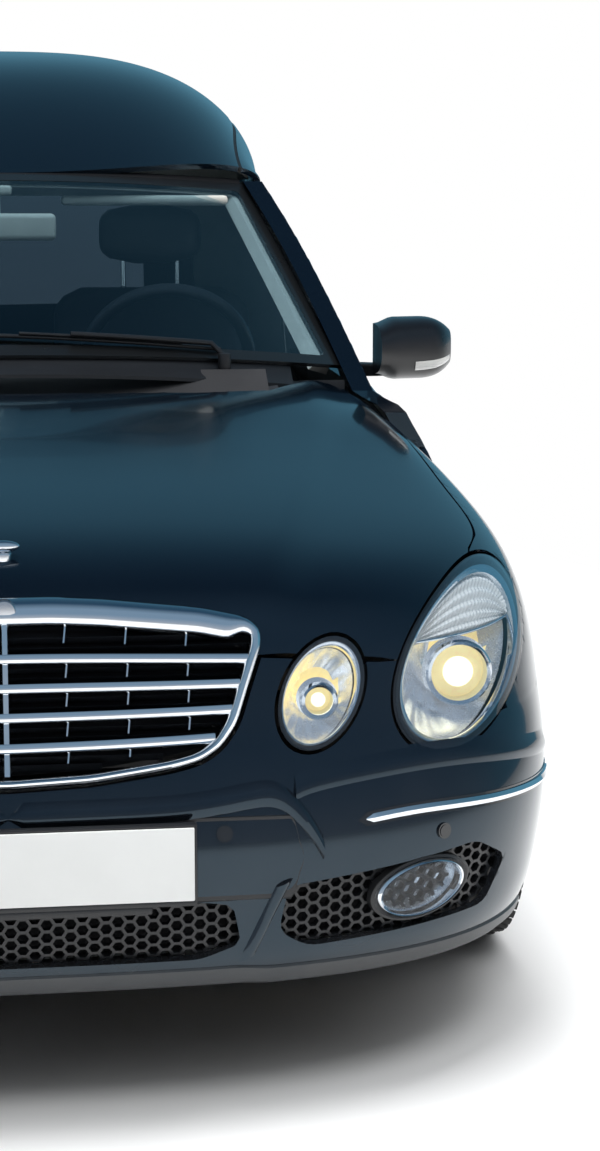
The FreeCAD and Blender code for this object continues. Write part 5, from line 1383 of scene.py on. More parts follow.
    def seal(self, name: str, place: Form, window: Outline, columns: int, rows: int) -> Piece:
        """Rubber strip round a window opening, proud of the skin."""
        rise = np.array([SEAL_RISE, 0.0, 0.0])
        skin = Skin(name, lambda u, v: place(u, v) + rise, columns, rows, ALONG_X)
        skin.cut(grown(rounded(window, 30), SEAL_WIDTH), View.PROFILE, Side.INSIDE)
        skin.cut(grown(rounded(window, 30), -SEAL_THICK), View.PROFILE, Side.OUTSIDE)
        return skin.thicken(SEAL_THICK, 1.0)

    def handle(self) -> Piece:
        """Bow handle with a bright strip."""
        x = float(FORM.side_x(2360.0, np.array([800.0]))[0])
        bow = block((x - 4, 2270, 780), (x + 24, 2450, 812), 9.0, 4)
        strip = block((x + 20, 2285, 792), (x + 27, 2435, 799), 2.0, 2)
        return joined("handle", [tinted(bow, PAINT), tinted(strip, CHROME)])

    @staticmethod
    def strip_place(u: Array, v: Array) -> Array:
        """Places on the thin bright strip along the door."""
        s = 1375 + 1110 * u
        z = RUB_STRIP_Z - RUB_STRIP_HALF + 2 * RUB_STRIP_HALF * v
        return np.stack([FORM.side_x(s, z) + 5.0 - 8.0 * (2 * v - 1) ** 2, s, z], -1)

    def rub_strip(self) -> Piece:
        """Thin bright strip along the door."""
        skin = Skin("rub_strip", self.strip_place, 60, 6, ALONG_X)
        return skin.thicken(
            lambda p, n: np.stack([FORM.side_x(p[:, 1], p[:, 2]) - 3.0, p[:, 1], p[:, 2]], -1))

    def hinge_eyes(self) -> Piece:
        """Eyes of the two hinges, on the door's side."""
        return joined("eyes", [cylinder((*DOOR_PIN, (low + high) / 2), 11.0, high - low, "Z", 24)
                               for low, high in ((385.0, 435.0), (655.0, 705.0))])

    def door_card(self) -> Piece:
        """Lining on the inner face of the door, with its arm rest and pull."""
        skin = Skin("card", self.card_place, 60, 30, (-1.0, 0.0, 0.0))
        card = skin.thicken((self.card_thick, 0.0, 0.0), 2.0)
        fittings = [block((690, 1900, 640), (760, 2330, 690), 16.0, 4),
                    block((712, 1700, 800), (745, 1790, 826), 8.0, 3),
                    block((716, 1840, 745), (742, 2040, 765), 7.0, 3)]
        return joined("card", [tinted(card, CABIN)] + [tinted(part, LINING) for part in fittings])

    def card_place(self, u: Array, v: Array) -> Array:
        """Places on the lining's cabin side."""
        s = 1450 + 980 * u
        z = 300 + 560 * v
        x = FORM.side_x(s, z) - panel_depth(z) - self.card_thick
        return np.stack([x - 10 * np.sin(np.pi * np.clip((v - 0.1) / 0.5, 0, 1)), s, z], -1)

    def pillars(self) -> None:
        """Posts behind the doors' front edges, with the hinge pins."""
        parts = [block((738, 1353, SILL + 4), (760, 1425, 860), 3.0, 2)]
        for low, high in ((380.0, 440.0), (650.0, 710.0)):
            parts.append(cylinder((*DOOR_PIN, (low + high) / 2), 6.0, high - low + 14, "Z", 20))
            for z in (low - 8, high):
                parts.append(block((740, 1394, z), (872, 1406, z + 8), 1.5, 1))
                parts.append(cylinder((*DOOR_PIN, z + 4), 10.0, 8.0, "Z", 24))
        finish_pair(joined("hinge_pillar_left", parts), "hinge_pillar", [CAST_METAL], "cast")

    def rear_glass(self) -> None:
        """Dark glass along the load space, with its seals."""
        for number, window in enumerate(REAR_WINDOWS, 1):
            pane = self.pane(f"load_pane_{number}_left", self.place, window, self.columns, self.rows)
            finish_pair(pane, f"load_pane_{number}", [PRIVACY], "window_glass",
                        left=("side_glasses",) if number == 1 else ())
            seal = self.seal(f"load_seal_{number}_left", self.place, window, self.columns, self.rows)
            finish_pair(seal, f"load_seal_{number}", [RUBBER], "black_trim")


@dataclass
class Roof:
    """Raised roof: its middle, the painted strips at its sides and the seams between them."""

    header_s: float = 1994.0
    header_bow: float = 100.0
    columns: int = 128
    rows: int = 130
    seam_half: float = 4.0
    seam_cover: float = 12.0        # half width of the strip over a seam
    strip_thick: float = 14.0

    def build(self) -> None:
        """Make the roof and its lining."""
        self.fit_ends()
        middle = self.panel("roof_middle", self.seam(-self.seam_half), Side.INSIDE)
        strips = self.panel("roof_strips", self.seam(self.seam_half), Side.OUTSIDE)
        finish_piece(middle, [PAINT], "body", "body_paint", "roof_shell", "roof_rear")
        finish_piece(strips, [PAINT], "body", "body_paint")
        for hand, side in SIDES:
            outline = [(x * hand, s) for x, s in self.seam_strip()]
            skin = Skin("roof_seam_" + side, lambda u, v: self.place(u, v, -3.0), self.columns * 2, self.rows)
            skin.cut(outline, View.PLAN, Side.INSIDE)
            finish_piece(skin.thicken(8.0), [RUBBER], "body", "black_trim")
        self.lining()
        self.header_seal()

    def fit_ends(self) -> None:
        """Find where each lengthwise line of the roof starts and ends."""
        self.across = np.linspace(-1, 1, 401)
        t = np.sin(self.across * np.pi / 2)
        first, last = np.full(t.shape, 2050.0), np.full(t.shape, 5450.0)
        for _ in range(40):
            x, _ = self.arch(t, first)
            first = self.header_s + self.header_bow * (x / 565) ** 2
            x, z = self.arch(t, last)
            last = last + 0.6 * (FORM.tail_s(x, z) - last)
        self.first, self.last = first, last

    @staticmethod
    def arch(t: Array, s: Array, inset: float = 0.0) -> tuple[Array, Array]:
        """x and z of the roof's cross section, from -1 to 1 across."""
        width = FORM.side_x(s, np.full(np.shape(s), RAIL)) - inset
        rise = FORM.roof_line(s) - RAIL - inset
        return width * t, RAIL + rise * np.sqrt(np.maximum(0.0, 1 - np.abs(t) ** 3))

    def place(self, u: Array, v: Array, rise: float = 0.0) -> Array:
        """Places on the roof."""
        w = 2 * u - 1
        first, last = np.interp(w, self.across, self.first), np.interp(w, self.across, self.last)
        s = first + (last - first) * v
        x, z = self.arch(np.sin(w * np.pi / 2), s, -rise)
        return np.stack([x, s, z], -1)

    @staticmethod
    def seam_x(s: Array) -> Array:
        """Half distance between the seams along the roof."""
        return 556 + 62 * soft_step((s - 2050) / 900)

    def seam(self, offset: float, last: float = 5700.0) -> Outline:
        """Outline in plan of what lies between the seams."""
        right = [(float(self.seam_x(s) + offset), float(s)) for s in np.linspace(1900, last, 60)]
        return right + flipped(right)[::-1]

    def seam_strip(self) -> Outline:
        """Outline in plan of one seam."""
        outer, inner = (self.seam(offset, 5440.0)[:60] for offset in (self.seam_cover, -self.seam_cover))
        return outer + inner[::-1]

    def panel(self, name: str, outline: Outline, keep: Side) -> Piece:
        """One part of the roof's skin."""
        skin = Skin(name, self.place, self.columns, self.rows)
        skin.cut(outline, View.PLAN, keep)
        return skin.thicken(self.strip_thick, EASED_EDGE)

    def lining(self) -> None:
        """Pale headlining under the roof."""
        skin = Skin("headlining", lambda u, v: self.place(0.02 + 0.96 * u, 0.012 + 0.975 * v, -30.0), 60, 60,
                    (0.0, 0.0, -1.0))
        finish_piece(skin.thicken(6.0), [LINING], "body", "cabin_lining")

    def header_seal(self) -> None:
        """Dark joint between the windscreen and the roof's front edge."""
        finish_piece(Skin("header_joint", self.header_place, 80, 4).thicken(10.0), [RUBBER], "body",
                     "black_trim")

    @staticmethod
    def header_place(u: Array, v: Array) -> Array:
        """Places on the strip just ahead of the roof's edge."""
        across = 1.96 * u - 0.98
        low = FORM.windscreen(across, np.ones(across.shape), 1.0)
        high = low + np.array([0.0, 22.0, 10.0])
        return low + (high - low) * v[..., None]


@dataclass
class RearEnd:
    """Tailgate, rear bumper, tail lamps and rear plate."""

    swell: tuple[tuple[float, float], ...] = ((210, 8), (260, 24), (360, 38), (460, 40), (500, 30), (512, 16))
    grid: tuple[int, int] = (96, 84)
    clear_band: tuple[float, float] = (0.742, 0.778)        # metres

    def build(self) -> None:
        """Make everything at the rear."""
        self.tailgate()
        self.bumper()
        self.lamps()
        self.plate()

    @staticmethod
    def gate_place(u: Array, v: Array, rise: float = 0.0) -> Array:
        """Places on the tailgate."""
        x = -636 + 1272 * u
        z = TAIL_BOTTOM + (1636 - TAIL_BOTTOM) * v
        return np.stack([x, FORM.tail_s(x, z) + rise, z], -1)

    def outline(self) -> Outline:
        """Edge of the tailgate, a running gap inside the roof and the rear pillars."""
        t = np.sin(np.linspace(0.12, 1.0, 30) * np.pi / 2)
        x, z = Roof.arch(t, np.full(t.shape, TAIL_PIN_S), FRAME_THICK + PANEL_GAP + 2)
        edge = TAIL_HALF_WIDTH - PANEL_GAP
        top = [(float(min(a, edge)), float(min(b, 1634))) for a, b in zip(x, z)]
        return mirrored_outline(top + [(edge, 1300), (edge, TAIL_BOTTOM + 30),
                                       (edge - 30, TAIL_BOTTOM + 0.5)])

    def tailgate(self) -> None:
        """Tailgate skin with its window, glass, seal, bright strip and hinge eyes."""
        skin = Skin("tailgate_skin", self.gate_place, *self.grid, BEHIND)
        skin.cut(self.outline(), View.FRONT, Side.INSIDE)
        window = rounded(TAIL_WINDOW, 40)
        skin.cut(window, View.FRONT, Side.OUTSIDE)
        gate = skin.thicken((0.0, -TAIL_THICK, 0.0), EASED_EDGE)
        eyes = [cylinder((hand * 200.0, TAIL_PIN_S, 1640.0), 10.0, 56.0, "X", 24) for hand, _ in SIDES]
        finish_piece(joined("tailgate_skin", [gate] + eyes), [PAINT], "tailgate", "body_paint", "tailgate")
        pane = Skin("tailgate_pane", lambda u, v: self.gate_place(u, v, -8.0), *self.grid, BEHIND)
        pane.cut(grown(window, -1.0), View.FRONT, Side.INSIDE)
        finish_piece(pane.thicken((0.0, -GLASS_THICK, 0.0)), [PRIVACY], "tailgate", "window_glass",
                     "tailgate_glass")
        seal = Skin("tailgate_seal", lambda u, v: self.gate_place(u, v, SEAL_RISE), *self.grid, BEHIND)
        seal.cut(grown(window, SEAL_WIDTH), View.FRONT, Side.INSIDE)
        seal.cut(grown(window, -SEAL_THICK), View.FRONT, Side.OUTSIDE)
        finish_piece(seal.thicken((0.0, -SEAL_THICK, 0.0), 1.0), [RUBBER], "tailgate", "black_trim")
        bar = Skin("tailgate_bar", self.bar_place, 60, 6, BEHIND)
        finish_piece(bar.thicken((0.0, -12.0, 0.0), 2.0), [CHROME], "tailgate", "chrome")

    @staticmethod
    def bar_place(u: Array, v: Array) -> Array:
        """Places on the bright strip over the rear plate."""
        x, z = -380 + 760 * u, 842 + 26 * v
        return np.stack([x, FORM.tail_s(x, z) + 10 - 6 * (2 * v - 1) ** 2, z], -1)

    def bumper_place(self, u: Array, v: Array) -> Array:
        """Places on the rear bumper, which stands proud of the body.

        Args:
            u: Share of the way across.
            v: Share of the bumper's height.

        Returns:
            The places, one per pair of shares.
        """
        turn = np.radians(-80 + 160 * u)
        z = 210 + 302 * v
        way = np.stack([np.sin(turn), np.cos(turn)], -1)
        side, start, m = FORM.side(z), FORM.tail_line(z) - FORM.TAIL_CORNER, FORM.TAIL_FULLNESS
        low, high = np.zeros(z.shape), np.full(z.shape, 1500.0)
        for _ in range(34):
            reach = (low + high) / 2
            x, s = np.abs(reach * way[..., 0]), BUMPER_FAN_S + reach * way[..., 1]
            ahead = np.maximum(s - start, 0.0) / FORM.TAIL_CORNER
            inside = (x / side) ** m + ahead ** m < 1
            low, high = np.where(inside, reach, low), np.where(inside, high, reach)
        reach = low + Spline(self.swell)(z)
        return np.stack([reach * way[..., 0], BUMPER_FAN_S + reach * way[..., 1], z], -1)

    def bumper(self) -> None:
        """Rear bumper with a bright strip."""
        skin = Skin("rear_bumper_skin", self.bumper_place, 150, 26, lambda p: p - [0.0, 4800.0, 300.0])
        skin.cut(wheel_arch(REAR_AXLE_S), View.PROFILE, Side.OUTSIDE)
        finish_piece(skin.thicken(9.0, EASED_EDGE), [PAINT], "body", "body_paint", "rear_bumper")
        strip = Skin("rear_bumper_strip", self.strip_place, 110, 4, lambda p: p - [0.0, 4800.0, 300.0])
        finish_piece(strip.thicken(8.0, 1.0), [CHROME], "body", "chrome")

    def strip_place(self, u: Array, v: Array) -> Array:
        """Places on the bright strip round the rear bumper."""
        place = self.bumper_place(0.1 + 0.8 * u, 0.80 + 0.05 * v)
        flat = (place - np.array([0.0, BUMPER_FAN_S, 0.0])) * [1.0, 1.0, 0.0]
        return place + unit(flat) * 2.5

    def lamp_place(self, u: Array, v: Array) -> Array:
        """Places on the driver's side tail lamp."""
        z = 642 + 236 * v
        start = FORM.tail_line(z) - FORM.TAIL_CORNER
        turn = np.radians(4 + 47 * u)
        width = FORM.side_x(start, z) + 10
        depth = FORM.TAIL_CORNER + 10
        power = 2 / FORM.TAIL_FULLNESS
        ribs = 1.6 * np.cos(v * 2 * np.pi * 3) * np.sin(np.pi * u) ** 0.3
        x = (width + ribs) * np.cos(turn) ** power
        return np.stack([x, start + (depth + ribs) * np.sin(turn) ** power, z], -1)

    def lamps(self) -> None:
        """Ribbed red lamps with a clear band, round the rear corners."""
        low, high = self.clear_band
        lamp = Skin("tail_lamp_left", self.lamp_place, 40, 60, (1.0, 1.0, 0.0)).thicken(10.0, 2.0)
        for face in lamp.data.polygons:
            face.material_index = int(low < face.center.z < high)
        finish_pair(lamp, "tail_lamp", [TAIL_RED, REVERSE_WHITE], "tail_glass", left=("tail_lamps",))

    def plate(self) -> None:
        """Blank rear plate in its frame."""
        s = float(FORM.tail_s(np.array([0.0]), np.array([760.0]))[0])
        board = named(block((-260, s - 2, 703), (260, s + 9, 812), 3.0, 3), "rear_plate_board")
        rim = named(block((-266, s - 3, 697), (266, s + 5, 818), 4.0, 3), "rear_plate_frame")
        finish_piece(board, [PLATE], "tailgate", "plate", "rear_plate")
        finish_piece(rim, [BLACK_TRIM], "tailgate", "black_trim")


# ---------------------------------------------------------------- lamps
class LampFace:
    """A leaning oval on the nose, laid out by distance from its middle and turn round it."""

    def __init__(self, centre: tuple[float, float], half: tuple[float, float], lean: float) -> None:
        """Keep the oval's sizes.

        Args:
            centre: x and z of the middle.
            half: Half width and half height.
            lean: How far the top lies to the side, as a share of the half width.
        """
        self.centre, self.half, self.shift = centre, half, math.asin(lean)

    def flat(self, r: Array, turn: Array) -> tuple[Array, Array]:
        """x and z seen from ahead, with r the share of the way to the edge."""
        return (self.centre[0] + self.half[0] * r * np.cos(turn),
                self.centre[1] + self.half[1] * r * np.sin(turn + self.shift))

    def place(self, r: Array, turn: Array, depth: Array | float = 0.0) -> Array:
        """Places behind the nose's skin by a depth."""
        points = FORM.nose(*self.flat(np.maximum(r, 1e-4), turn))
        return points - FORM.outward(points) * np.broadcast_to(depth, points.shape[:-1])[..., None]

    def disc(self, name: str, depth: Callable[[Array, Array], Array], rings: Sequence[float], count: int,
             thick: float, angle: float = 40.0) -> Piece:
        """Dish of rings about the middle, given its thickness with a solidify modifier.

        Args:
            name: Name of the piece.
            depth: Depth behind the nose's skin, from ring value and turn.
            rings: Ring values from the middle outwards, the first of them filled.
            count: Points round each ring.
            thick: Thickness of the dish.
            angle: Sharpest angle in degrees that is shaded smooth.

        Returns:
            The closed piece.
        """
        turn = np.linspace(0, 2 * math.pi, count, endpoint=False)
        rows = [self.place(r, turn, depth(r, turn)) for r in (np.full(count, float(ring)) for ring in rings)]
        faces = quads(len(rings), count, False, True) + [tuple(range(count))[::-1]]
        piece = mesh_piece(name, np.concatenate(rows), faces)
        pick(piece)
        modifier = piece.modifiers.new("thickness", "SOLIDIFY")
        modifier.thickness = thick * MM
        modifier.offset = -1.0
        apply_modifiers(piece)
        turn_outwards(piece)
        smooth(piece, angle)
        return piece

    def ring(self, outer: float, inner: float, proud: float, deep: float, count: int) -> Piece:
        """Ring between two shares of the way to the edge, at depths behind the nose's skin."""
        steps = [(outer, deep), (outer, 1.0 + proud * 0.4), ((outer + inner) / 2, proud),
                 (inner, proud + 3.0), (inner, deep + 4.0)]
        turn = np.linspace(0, 2 * math.pi, count, endpoint=False)
        return ring_mesh("ring", [self.place(np.full(count, r), turn, depth) for r, depth in steps], 50)


@dataclass
class Headlamp:
    """One leaning oval headlamp of the driver's side, and its twin across the car."""

    label: str
    face: LampFace
    depth: float                    # of the bowl
    lit_reach: float                # metres round the lit spot
    lens_low: float                 # share of the way down to the edge
    lens_radius: float
    lens_inset: float
    count: int = 96

    def build(self) -> None:
        """Make every piece of the lamp."""
        name = "lamp_" + self.label
        nodes = ("headlamps",) if self.label == "inner" else ()
        finish_pair(self.cover(), name + "_cover", [LENS], "lamp_glass", left=nodes)
        gasket = self.face.ring(1.02, 0.925, 1.5, 7.0, self.count)
        finish_pair(gasket, name + "_gasket", [GLOSS_TRIM], "black_trim")
        finish_pair(self.face.ring(0.93, 0.875, 3.0, 12.0, self.count), name + "_rim", [CHROME], "chrome")
        finish_pair(self.bowl(), name + "_bowl", [GLOWING_REFLECTOR, LAMP_GLOW], "lamp_glass")
        finish_pair(self.projector(), name + "_projector", [], "lamp_glass")

    def cover(self) -> Piece:
        """Clear cover, flush with the body."""
        rings = [0.02, 0.15, 0.3, 0.45, 0.6, 0.72, 0.82, 0.9, 0.96, 1.0]
        return self.face.disc("cover", lambda r, t: -4.0 * (1 - r ** 4), rings, self.count, 2.5)

    def bowl_depth(self, r: Array, t: Array) -> Array:
        """Depth of the faceted reflector."""
        dip = self.depth * np.sqrt(np.maximum(0.0, 1 - (r / 0.92) ** 2)) + 9.0
        facets = 1.4 * np.cos(t * 14) * np.clip((r - 0.3) / 0.4, 0, 1) * np.clip((0.9 - r) / 0.1, 0, 1)
        return dip + facets

    def bowl(self) -> Piece:
        """Reflector bowl behind the cover, lit low in its middle, with a faint painted glow over the rest of
        its metal.
        """
        rings = [0.03, 0.12, 0.22, 0.32, 0.42, 0.52, 0.62, 0.72, 0.8, 0.86, 0.9]
        piece = self.face.disc("bowl", self.bowl_depth, rings, self.count, 2.0, 30)
        middle = to_frame(self.face.place(np.array([0.14]), np.array([-math.pi / 2]), 0.0))[0]
        for polygon in piece.data.polygons:
            gap = Vector((polygon.center.x - middle[0], 0.0, polygon.center.z - middle[2])).length
            polygon.material_index = int(gap < self.lit_reach)
        return piece

    def projector(self) -> Piece:
        """Round lens in its ring, in the bowl."""
        x, z = self.face.flat(np.array([self.lens_low]), np.array([-math.pi / 2 - self.face.shift * 0.4]))
        spot = FORM.nose(x, z)[0]
        radius, tail = self.lens_radius, self.depth * 0.42
        centre = (spot[0] - self.lens_inset, spot[1] + self.depth * 0.50, spot[2])
        rim = [(0.0, radius), (-6.0, radius + 2), (-9.0, radius + 7), (-4.0, radius + 10), (26.0, radius + 6),
               (26.0, radius)]
        lens = [(2.0, 0.0), (4.0, radius * 0.35), (9.0, radius * 0.7), (17.0, radius * 0.99),
                (24.0, radius * 0.99), (26.0, 0.0)]
        bulb = [(1.0, 0.0), (1.4, radius * 0.30), (4.0, radius * 0.56), (12.0, radius * 0.56), (12.0, 0.0)]
        collar = [(20.0, radius + 6.5), (20.0, radius + 12), (tail, radius + 4), (tail, radius)]
        # The collar's reflector metal carries a faint painted glow.
        shapes = (("rim", rim, 64, CHROME), ("lens", lens, 64, LAMP_GLOW), ("bulb", bulb, 48, LAMP_LIT),
                  ("collar", collar, 48, GLOWING_REFLECTOR))
        parts = [spun(name, profile, centre, "Y", count) for name, profile, count, _ in shapes]
        return joined("projector", [tinted(part, shape[3]) for part, shape in zip(parts, shapes)])


@dataclass
class Headlamps:
    """Four leaning oval headlamps, with the turn signals in the tops of the large ones."""

    signal_level: float = 0.34      # height of the signal's foot, as a share of the half height
    signal_edge: float = 0.885

    def build(self) -> None:
        """Make the driver's side pair and copy it to the other side."""
        small, self.face = (LampFace(*sizes) for sizes in LAMPS)
        Headlamp("inner", small, 62.0, 0.034, 0.22, 19.0, 0.0).build()
        Headlamp("outer", self.face, 80.0, 0.052, 0.24, 42.0, 6.0).build()
        finish_pair(self.signal(), "lamp_outer_signal", [SIGNAL], "lamp_glass")
        finish_pair(self.brow(), "lamp_outer_brow", [CHROME], "chrome")

    def signal_place(self, u: Array, v: Array) -> Array:
        """Places on the signal's ribbed sheet."""
        half = math.acos(self.signal_level)
        across = (2 * u - 1)
        top = np.stack([np.sin(across * half), np.cos(across * half)], -1) * self.signal_edge
        level = np.full(across.shape, self.signal_level * self.signal_edge)
        bottom = np.stack([across * math.sin(half) * self.signal_edge, level], -1)
        mid = bottom + (top - bottom) * v[..., None]
        r = np.hypot(mid[..., 0], mid[..., 1])
        turn = np.arctan2(mid[..., 1], mid[..., 0]) - self.face.shift
        ribs = 2.2 * np.cos(v * 2 * np.pi * 5) + 0.5 * np.cos(u * 2 * np.pi * 30)
        return self.face.place(r, turn, 13.0 + 5.0 * (1 - v) + ribs)

    def signal(self) -> Piece:
        """Ribbed turn signal in the top third."""
        return Skin("signal", self.signal_place, 150, 60, (0.3, -1.0, 0.3)).thicken(5.0)

    def brow(self) -> Piece:
        """Bright strip between the turn signal and the bowl."""
        across = np.linspace(-0.83, 0.83, 30)
        r = np.hypot(across, 0.30)
        turn = np.arctan2(np.full(across.shape, 0.30), across) - self.face.shift
        return tube("brow", self.face.place(r, turn, 16.0), 2.6, 10)


@dataclass
class FogLamps:
    """Oval fog lamps in the outer intakes."""

    centre: tuple[float, float] = (606.0, 316.0)
    half: tuple[float, float] = (72.0, 43.0)
    lean: float = 0.15
    count: int = 72

    def build(self) -> None:
        """Make both fog lamps."""
        face = LampFace(self.centre, self.half, self.lean)
        cover = face.disc("cover", lambda r, t: -1.5 - 4 * (1 - r ** 2),
                          [0.04, 0.25, 0.45, 0.62, 0.76, 0.86, 0.9], self.count, 2.5)
        bowl = face.disc("bowl", lambda r, t: 6 + 34 * np.sqrt(np.maximum(0, 1 - (r / 0.9) ** 2)),
                         [0.05, 0.2, 0.36, 0.52, 0.66, 0.78, 0.88], self.count, 2.0)
        finish_pair(cover, "fog_cover", [FOG_GLASS], "lamp_glass", left=("fog_lamps",))
        # The fog lamp bowl's reflector metal carries a faint painted glow.
        finish_pair(bowl, "fog_bowl", [GLOWING_REFLECTOR], "lamp_glass")
        finish_pair(face.ring(1.0, 0.88, -5.0, 10.0, self.count), "fog_ring", [CHROME], "chrome")
        finish_pair(face.ring(1.13, 1.0, -1.0, 14.0, self.count), "fog_bezel", [BLACK_TRIM], "black_trim")


# ---------------------------------------------------------------- grille and bumper trim
def crossings(edge: Array, level: float, axis: int) -> list[float]:
    """Where a closed outline crosses a level of one axis, as values of the other axis."""
    other = 1 - axis
    return [a[other] + (level - a[axis]) / (b[axis] - a[axis]) * (b[other] - a[other])
            for a, b in zip(edge, np.roll(edge, -1, 0))
            if (a[axis] - level) * (b[axis] - level) <= 0 and abs(a[axis] - b[axis]) > 1e-9]


def on_skin(x: Array, z: Array, proud: Array | float) -> Array:
    """Places at a distance out of the nose's skin, as seen from ahead at x and z."""
    points = FORM.nose(x, z)
    return points + FORM.outward(points) * proud


@dataclass
class Grille:
    """Bright surround with its bars, uprights and dark louvres, and the plain ornament above it."""

    rim: float = 24.0
    bars: tuple[tuple[float, float], ...] = ((676, 9), (635, 3), (595, -2), (554, -6))    # height, end drop
    uprights: tuple[float, ...] = (-264, -176, -88, 88, 176, 264)
    bend_half: float = 330.0        # x at which a bar has its full drop
    bend_power: float = 1.6
    louvre_drop: float = 2.0
    louvre_shares: tuple[float, ...] = (0.3, 0.62)
    hang: float = 0.62              # share of a gap that an upright fills
    ornament_s: float = 236.0

    def build(self) -> None:
        """Make the whole grille."""
        self.outline = rounded(GRILLE, 14)
        self.inner = np.array(grown(self.outline, -self.rim))
        for name, make, finish, slot in (("grille_surround", self.surround, CHROME, "chrome"),
                                         ("grille_bars", self.cross_bars, CHROME, "chrome"),
                                         ("grille_uprights", self.thin_uprights, CHROME, "chrome"),
                                         ("grille_louvres", self.louvres, GLOSS_TRIM, "black_trim"),
                                         ("grille_back", self.back, DARK, "black_trim"),
                                         ("bonnet_ornament", self.ornament, CHROME, "chrome"),
                                         ("badge_disc", self.badge, DULL_CHROME, "chrome")):
            nodes = ("radiator_grille",) if name == "grille_surround" else ()
            finish_piece(named(make(), name), [finish], "bonnet", slot, *nodes)

    def half_span(self, z: float) -> float:
        """Half width of the opening at a height."""
        return max(crossings(self.inner, z, 1), default=0.0)

    def surround(self) -> Piece:
        """Rounded bright frame that follows the grille's outline."""
        middle = even(self.outline, 220)
        ahead, behind = np.roll(middle, -1, 0), np.roll(middle, 1, 0)
        area = np.sum(behind[:, 0] * middle[:, 1] - middle[:, 0] * behind[:, 1])
        run = unit(ahead - behind)
        inward = np.stack([-run[:, 1], run[:, 0]], -1) * (1 if area > 0 else -1)
        section = [(0.0, -20.0), (0.5, -1.0), (4.0, 3.5), (10.0, 6.0), (17.0, 4.5), (22.0, -1.0),
                   (23.5, -9.0), (23.5, -26.0), (10.0, -26.0)]
        rows = []
        share = self.rim_share(middle)
        for inset, proud in section:
            flat = middle + inward * (inset * share)[:, None]
            rows.append(on_skin(flat[:, 0], flat[:, 1], proud))
        return ring_mesh("surround", rows)

    @staticmethod
    def rim_share(flat: Array) -> Array:
        """Width of the frame round its outline: widest at the top, thinnest at the bottom."""
        high = soft_step((flat[:, 1] - 690) / 40) * np.clip((364 - np.abs(flat[:, 0])) / 36, 0, 1)
        low = soft_step((580 - flat[:, 1]) / 60)
        return 0.72 + 0.72 * high - 0.14 * low

    def bent(self, x: Array, drop: float) -> Array:
        """How far a bar has dropped at x."""
        return drop * (np.abs(x) / self.bend_half) ** self.bend_power

    def bar(self, level: float, drop: float, half: float, section: Sequence[tuple[float, float]],
            steps: int) -> Piece:
        """Bar across the opening.

        Args:
            level: Height at the centre line.
            drop: How far its ends are bent down.
            half: Half width.
            section: Rise along the height and distance out of the skin, round the bar.
            steps: Places along it.

        Returns:
            The closed piece.
        """
        across = np.linspace(-half, half, steps)
        line = level - self.bent(across, drop)
        return strip_mesh("bar", [on_skin(across, line + rise, proud) for rise, proud in section])

    def cross_bars(self) -> Piece:
        """Four bright bars whose ends bend down or up with the opening."""
        section = [(7.5, -7.0), (6.5, -1.5), (2.0, 1.0), (-3.0, 0.0), (-6.5, -4.0), (-7.5, -9.0),
                   (-5.5, -20.0), (5.5, -20.0)]
        return joined("bars", [self.bar(level, drop, self.half_span(level - drop) + 14, section, 60)
                               for level, drop in self.bars])

    def upright(self, x: float, half: float, proud: float, low: float, high: float) -> Piece:
        """One upright between two heights, leaning a little where it is thin."""
        z = np.linspace(low, high, 24)
        lean = -0.12 * math.copysign(1.0, x) * (high - z) if x else np.zeros(z.shape)
        rows = []
        for side, out in ((-half, proud - 3), (-half * 0.6, proud), (half * 0.6, proud), (half, proud - 3),
                          (half, proud - 34), (-half, proud - 34)):
            points = on_skin(np.full(z.shape, x), z, out)
            points[:, 0] += side + lean
            rows.append(points)
        return strip_mesh("upright", rows)

    def reach(self, x: float) -> tuple[float, float]:
        """Lowest and highest place of the opening at x, each a little behind the rim."""
        levels = crossings(self.inner, x, 0)
        return min(levels) - 6, max(levels) + 6

    def thin_uprights(self) -> Piece:
        """Thin edges that hang in the gaps, and the wider divider in the middle."""
        parts = [self.upright(0.0, 6.0, -6.0, *self.reach(0.0))]
        for x in self.uprights:
            bottom, top = self.reach(x)
            levels = [top] + [level - self.bent(x, drop) for level, drop in self.bars] + [bottom]
            for high, low in zip(levels, levels[1:]):
                if high - low > 16.0:
                    parts.append(self.upright(x, 1.9, -12.0, high - self.hang * (high - low), high - 5.0))
        return joined("uprights", parts)

    def louvres(self) -> Piece:
        """Dark slats between the bright bars."""
        section = [(4.0, -14.0), (3.0, -12.0), (-4.0, -22.0), (-3.0, -30.0), (5.0, -30.0)]
        parts = []
        levels = [721.0] + [level for level, _ in self.bars] + [520.0]
        for high, low in zip(levels, levels[1:]):
            for share in self.louvre_shares:
                z = low + (high - low) * share
                half = self.half_span(z) + 6
                if half >= 40:
                    parts.append(self.bar(z, self.louvre_drop, half, section, 40))
        return joined("louvres", parts)

    def back(self) -> Piece:
        """Dark backing of the opening, a near-black sheet of painted shade for its depth."""
        skin = Skin("back", lambda u, v: on_skin(-390 + 780 * u, 490 + 275 * v, -36.0), 120, 40, AHEAD)
        skin.cut(grown(self.outline, -10.0), View.FRONT, Side.INSIDE)
        return skin.thicken(5.0)

    def ornament(self) -> Piece:
        """Plain flattened drop on the bonnet's nose, in a small cup."""
        s = self.ornament_s
        z = float(FORM.bonnet_height(np.array([0.0]), np.array([s]))[0]) - 16.0
        bpy.ops.object.select_all(action="DESELECT")
        bpy.ops.mesh.primitive_uv_sphere_add(segments=40, ring_count=24, radius=1.0,
                                             scale=(0.025, 0.010, 0.009),
                                             location=to_frame([[0.0, s, z + 18.0]])[0])
        drop = bpy.context.object
        settle(drop)
        smooth(drop, 60)
        stem = cylinder((0.0, s, z + 4.0), 4.0, 22.0, "Z", 20)
        cup = cylinder((0.0, s, z + 2.0), 13.0, 14.0, "Z", 36, 2.0)
        return joined("ornament", [drop, stem, cup])

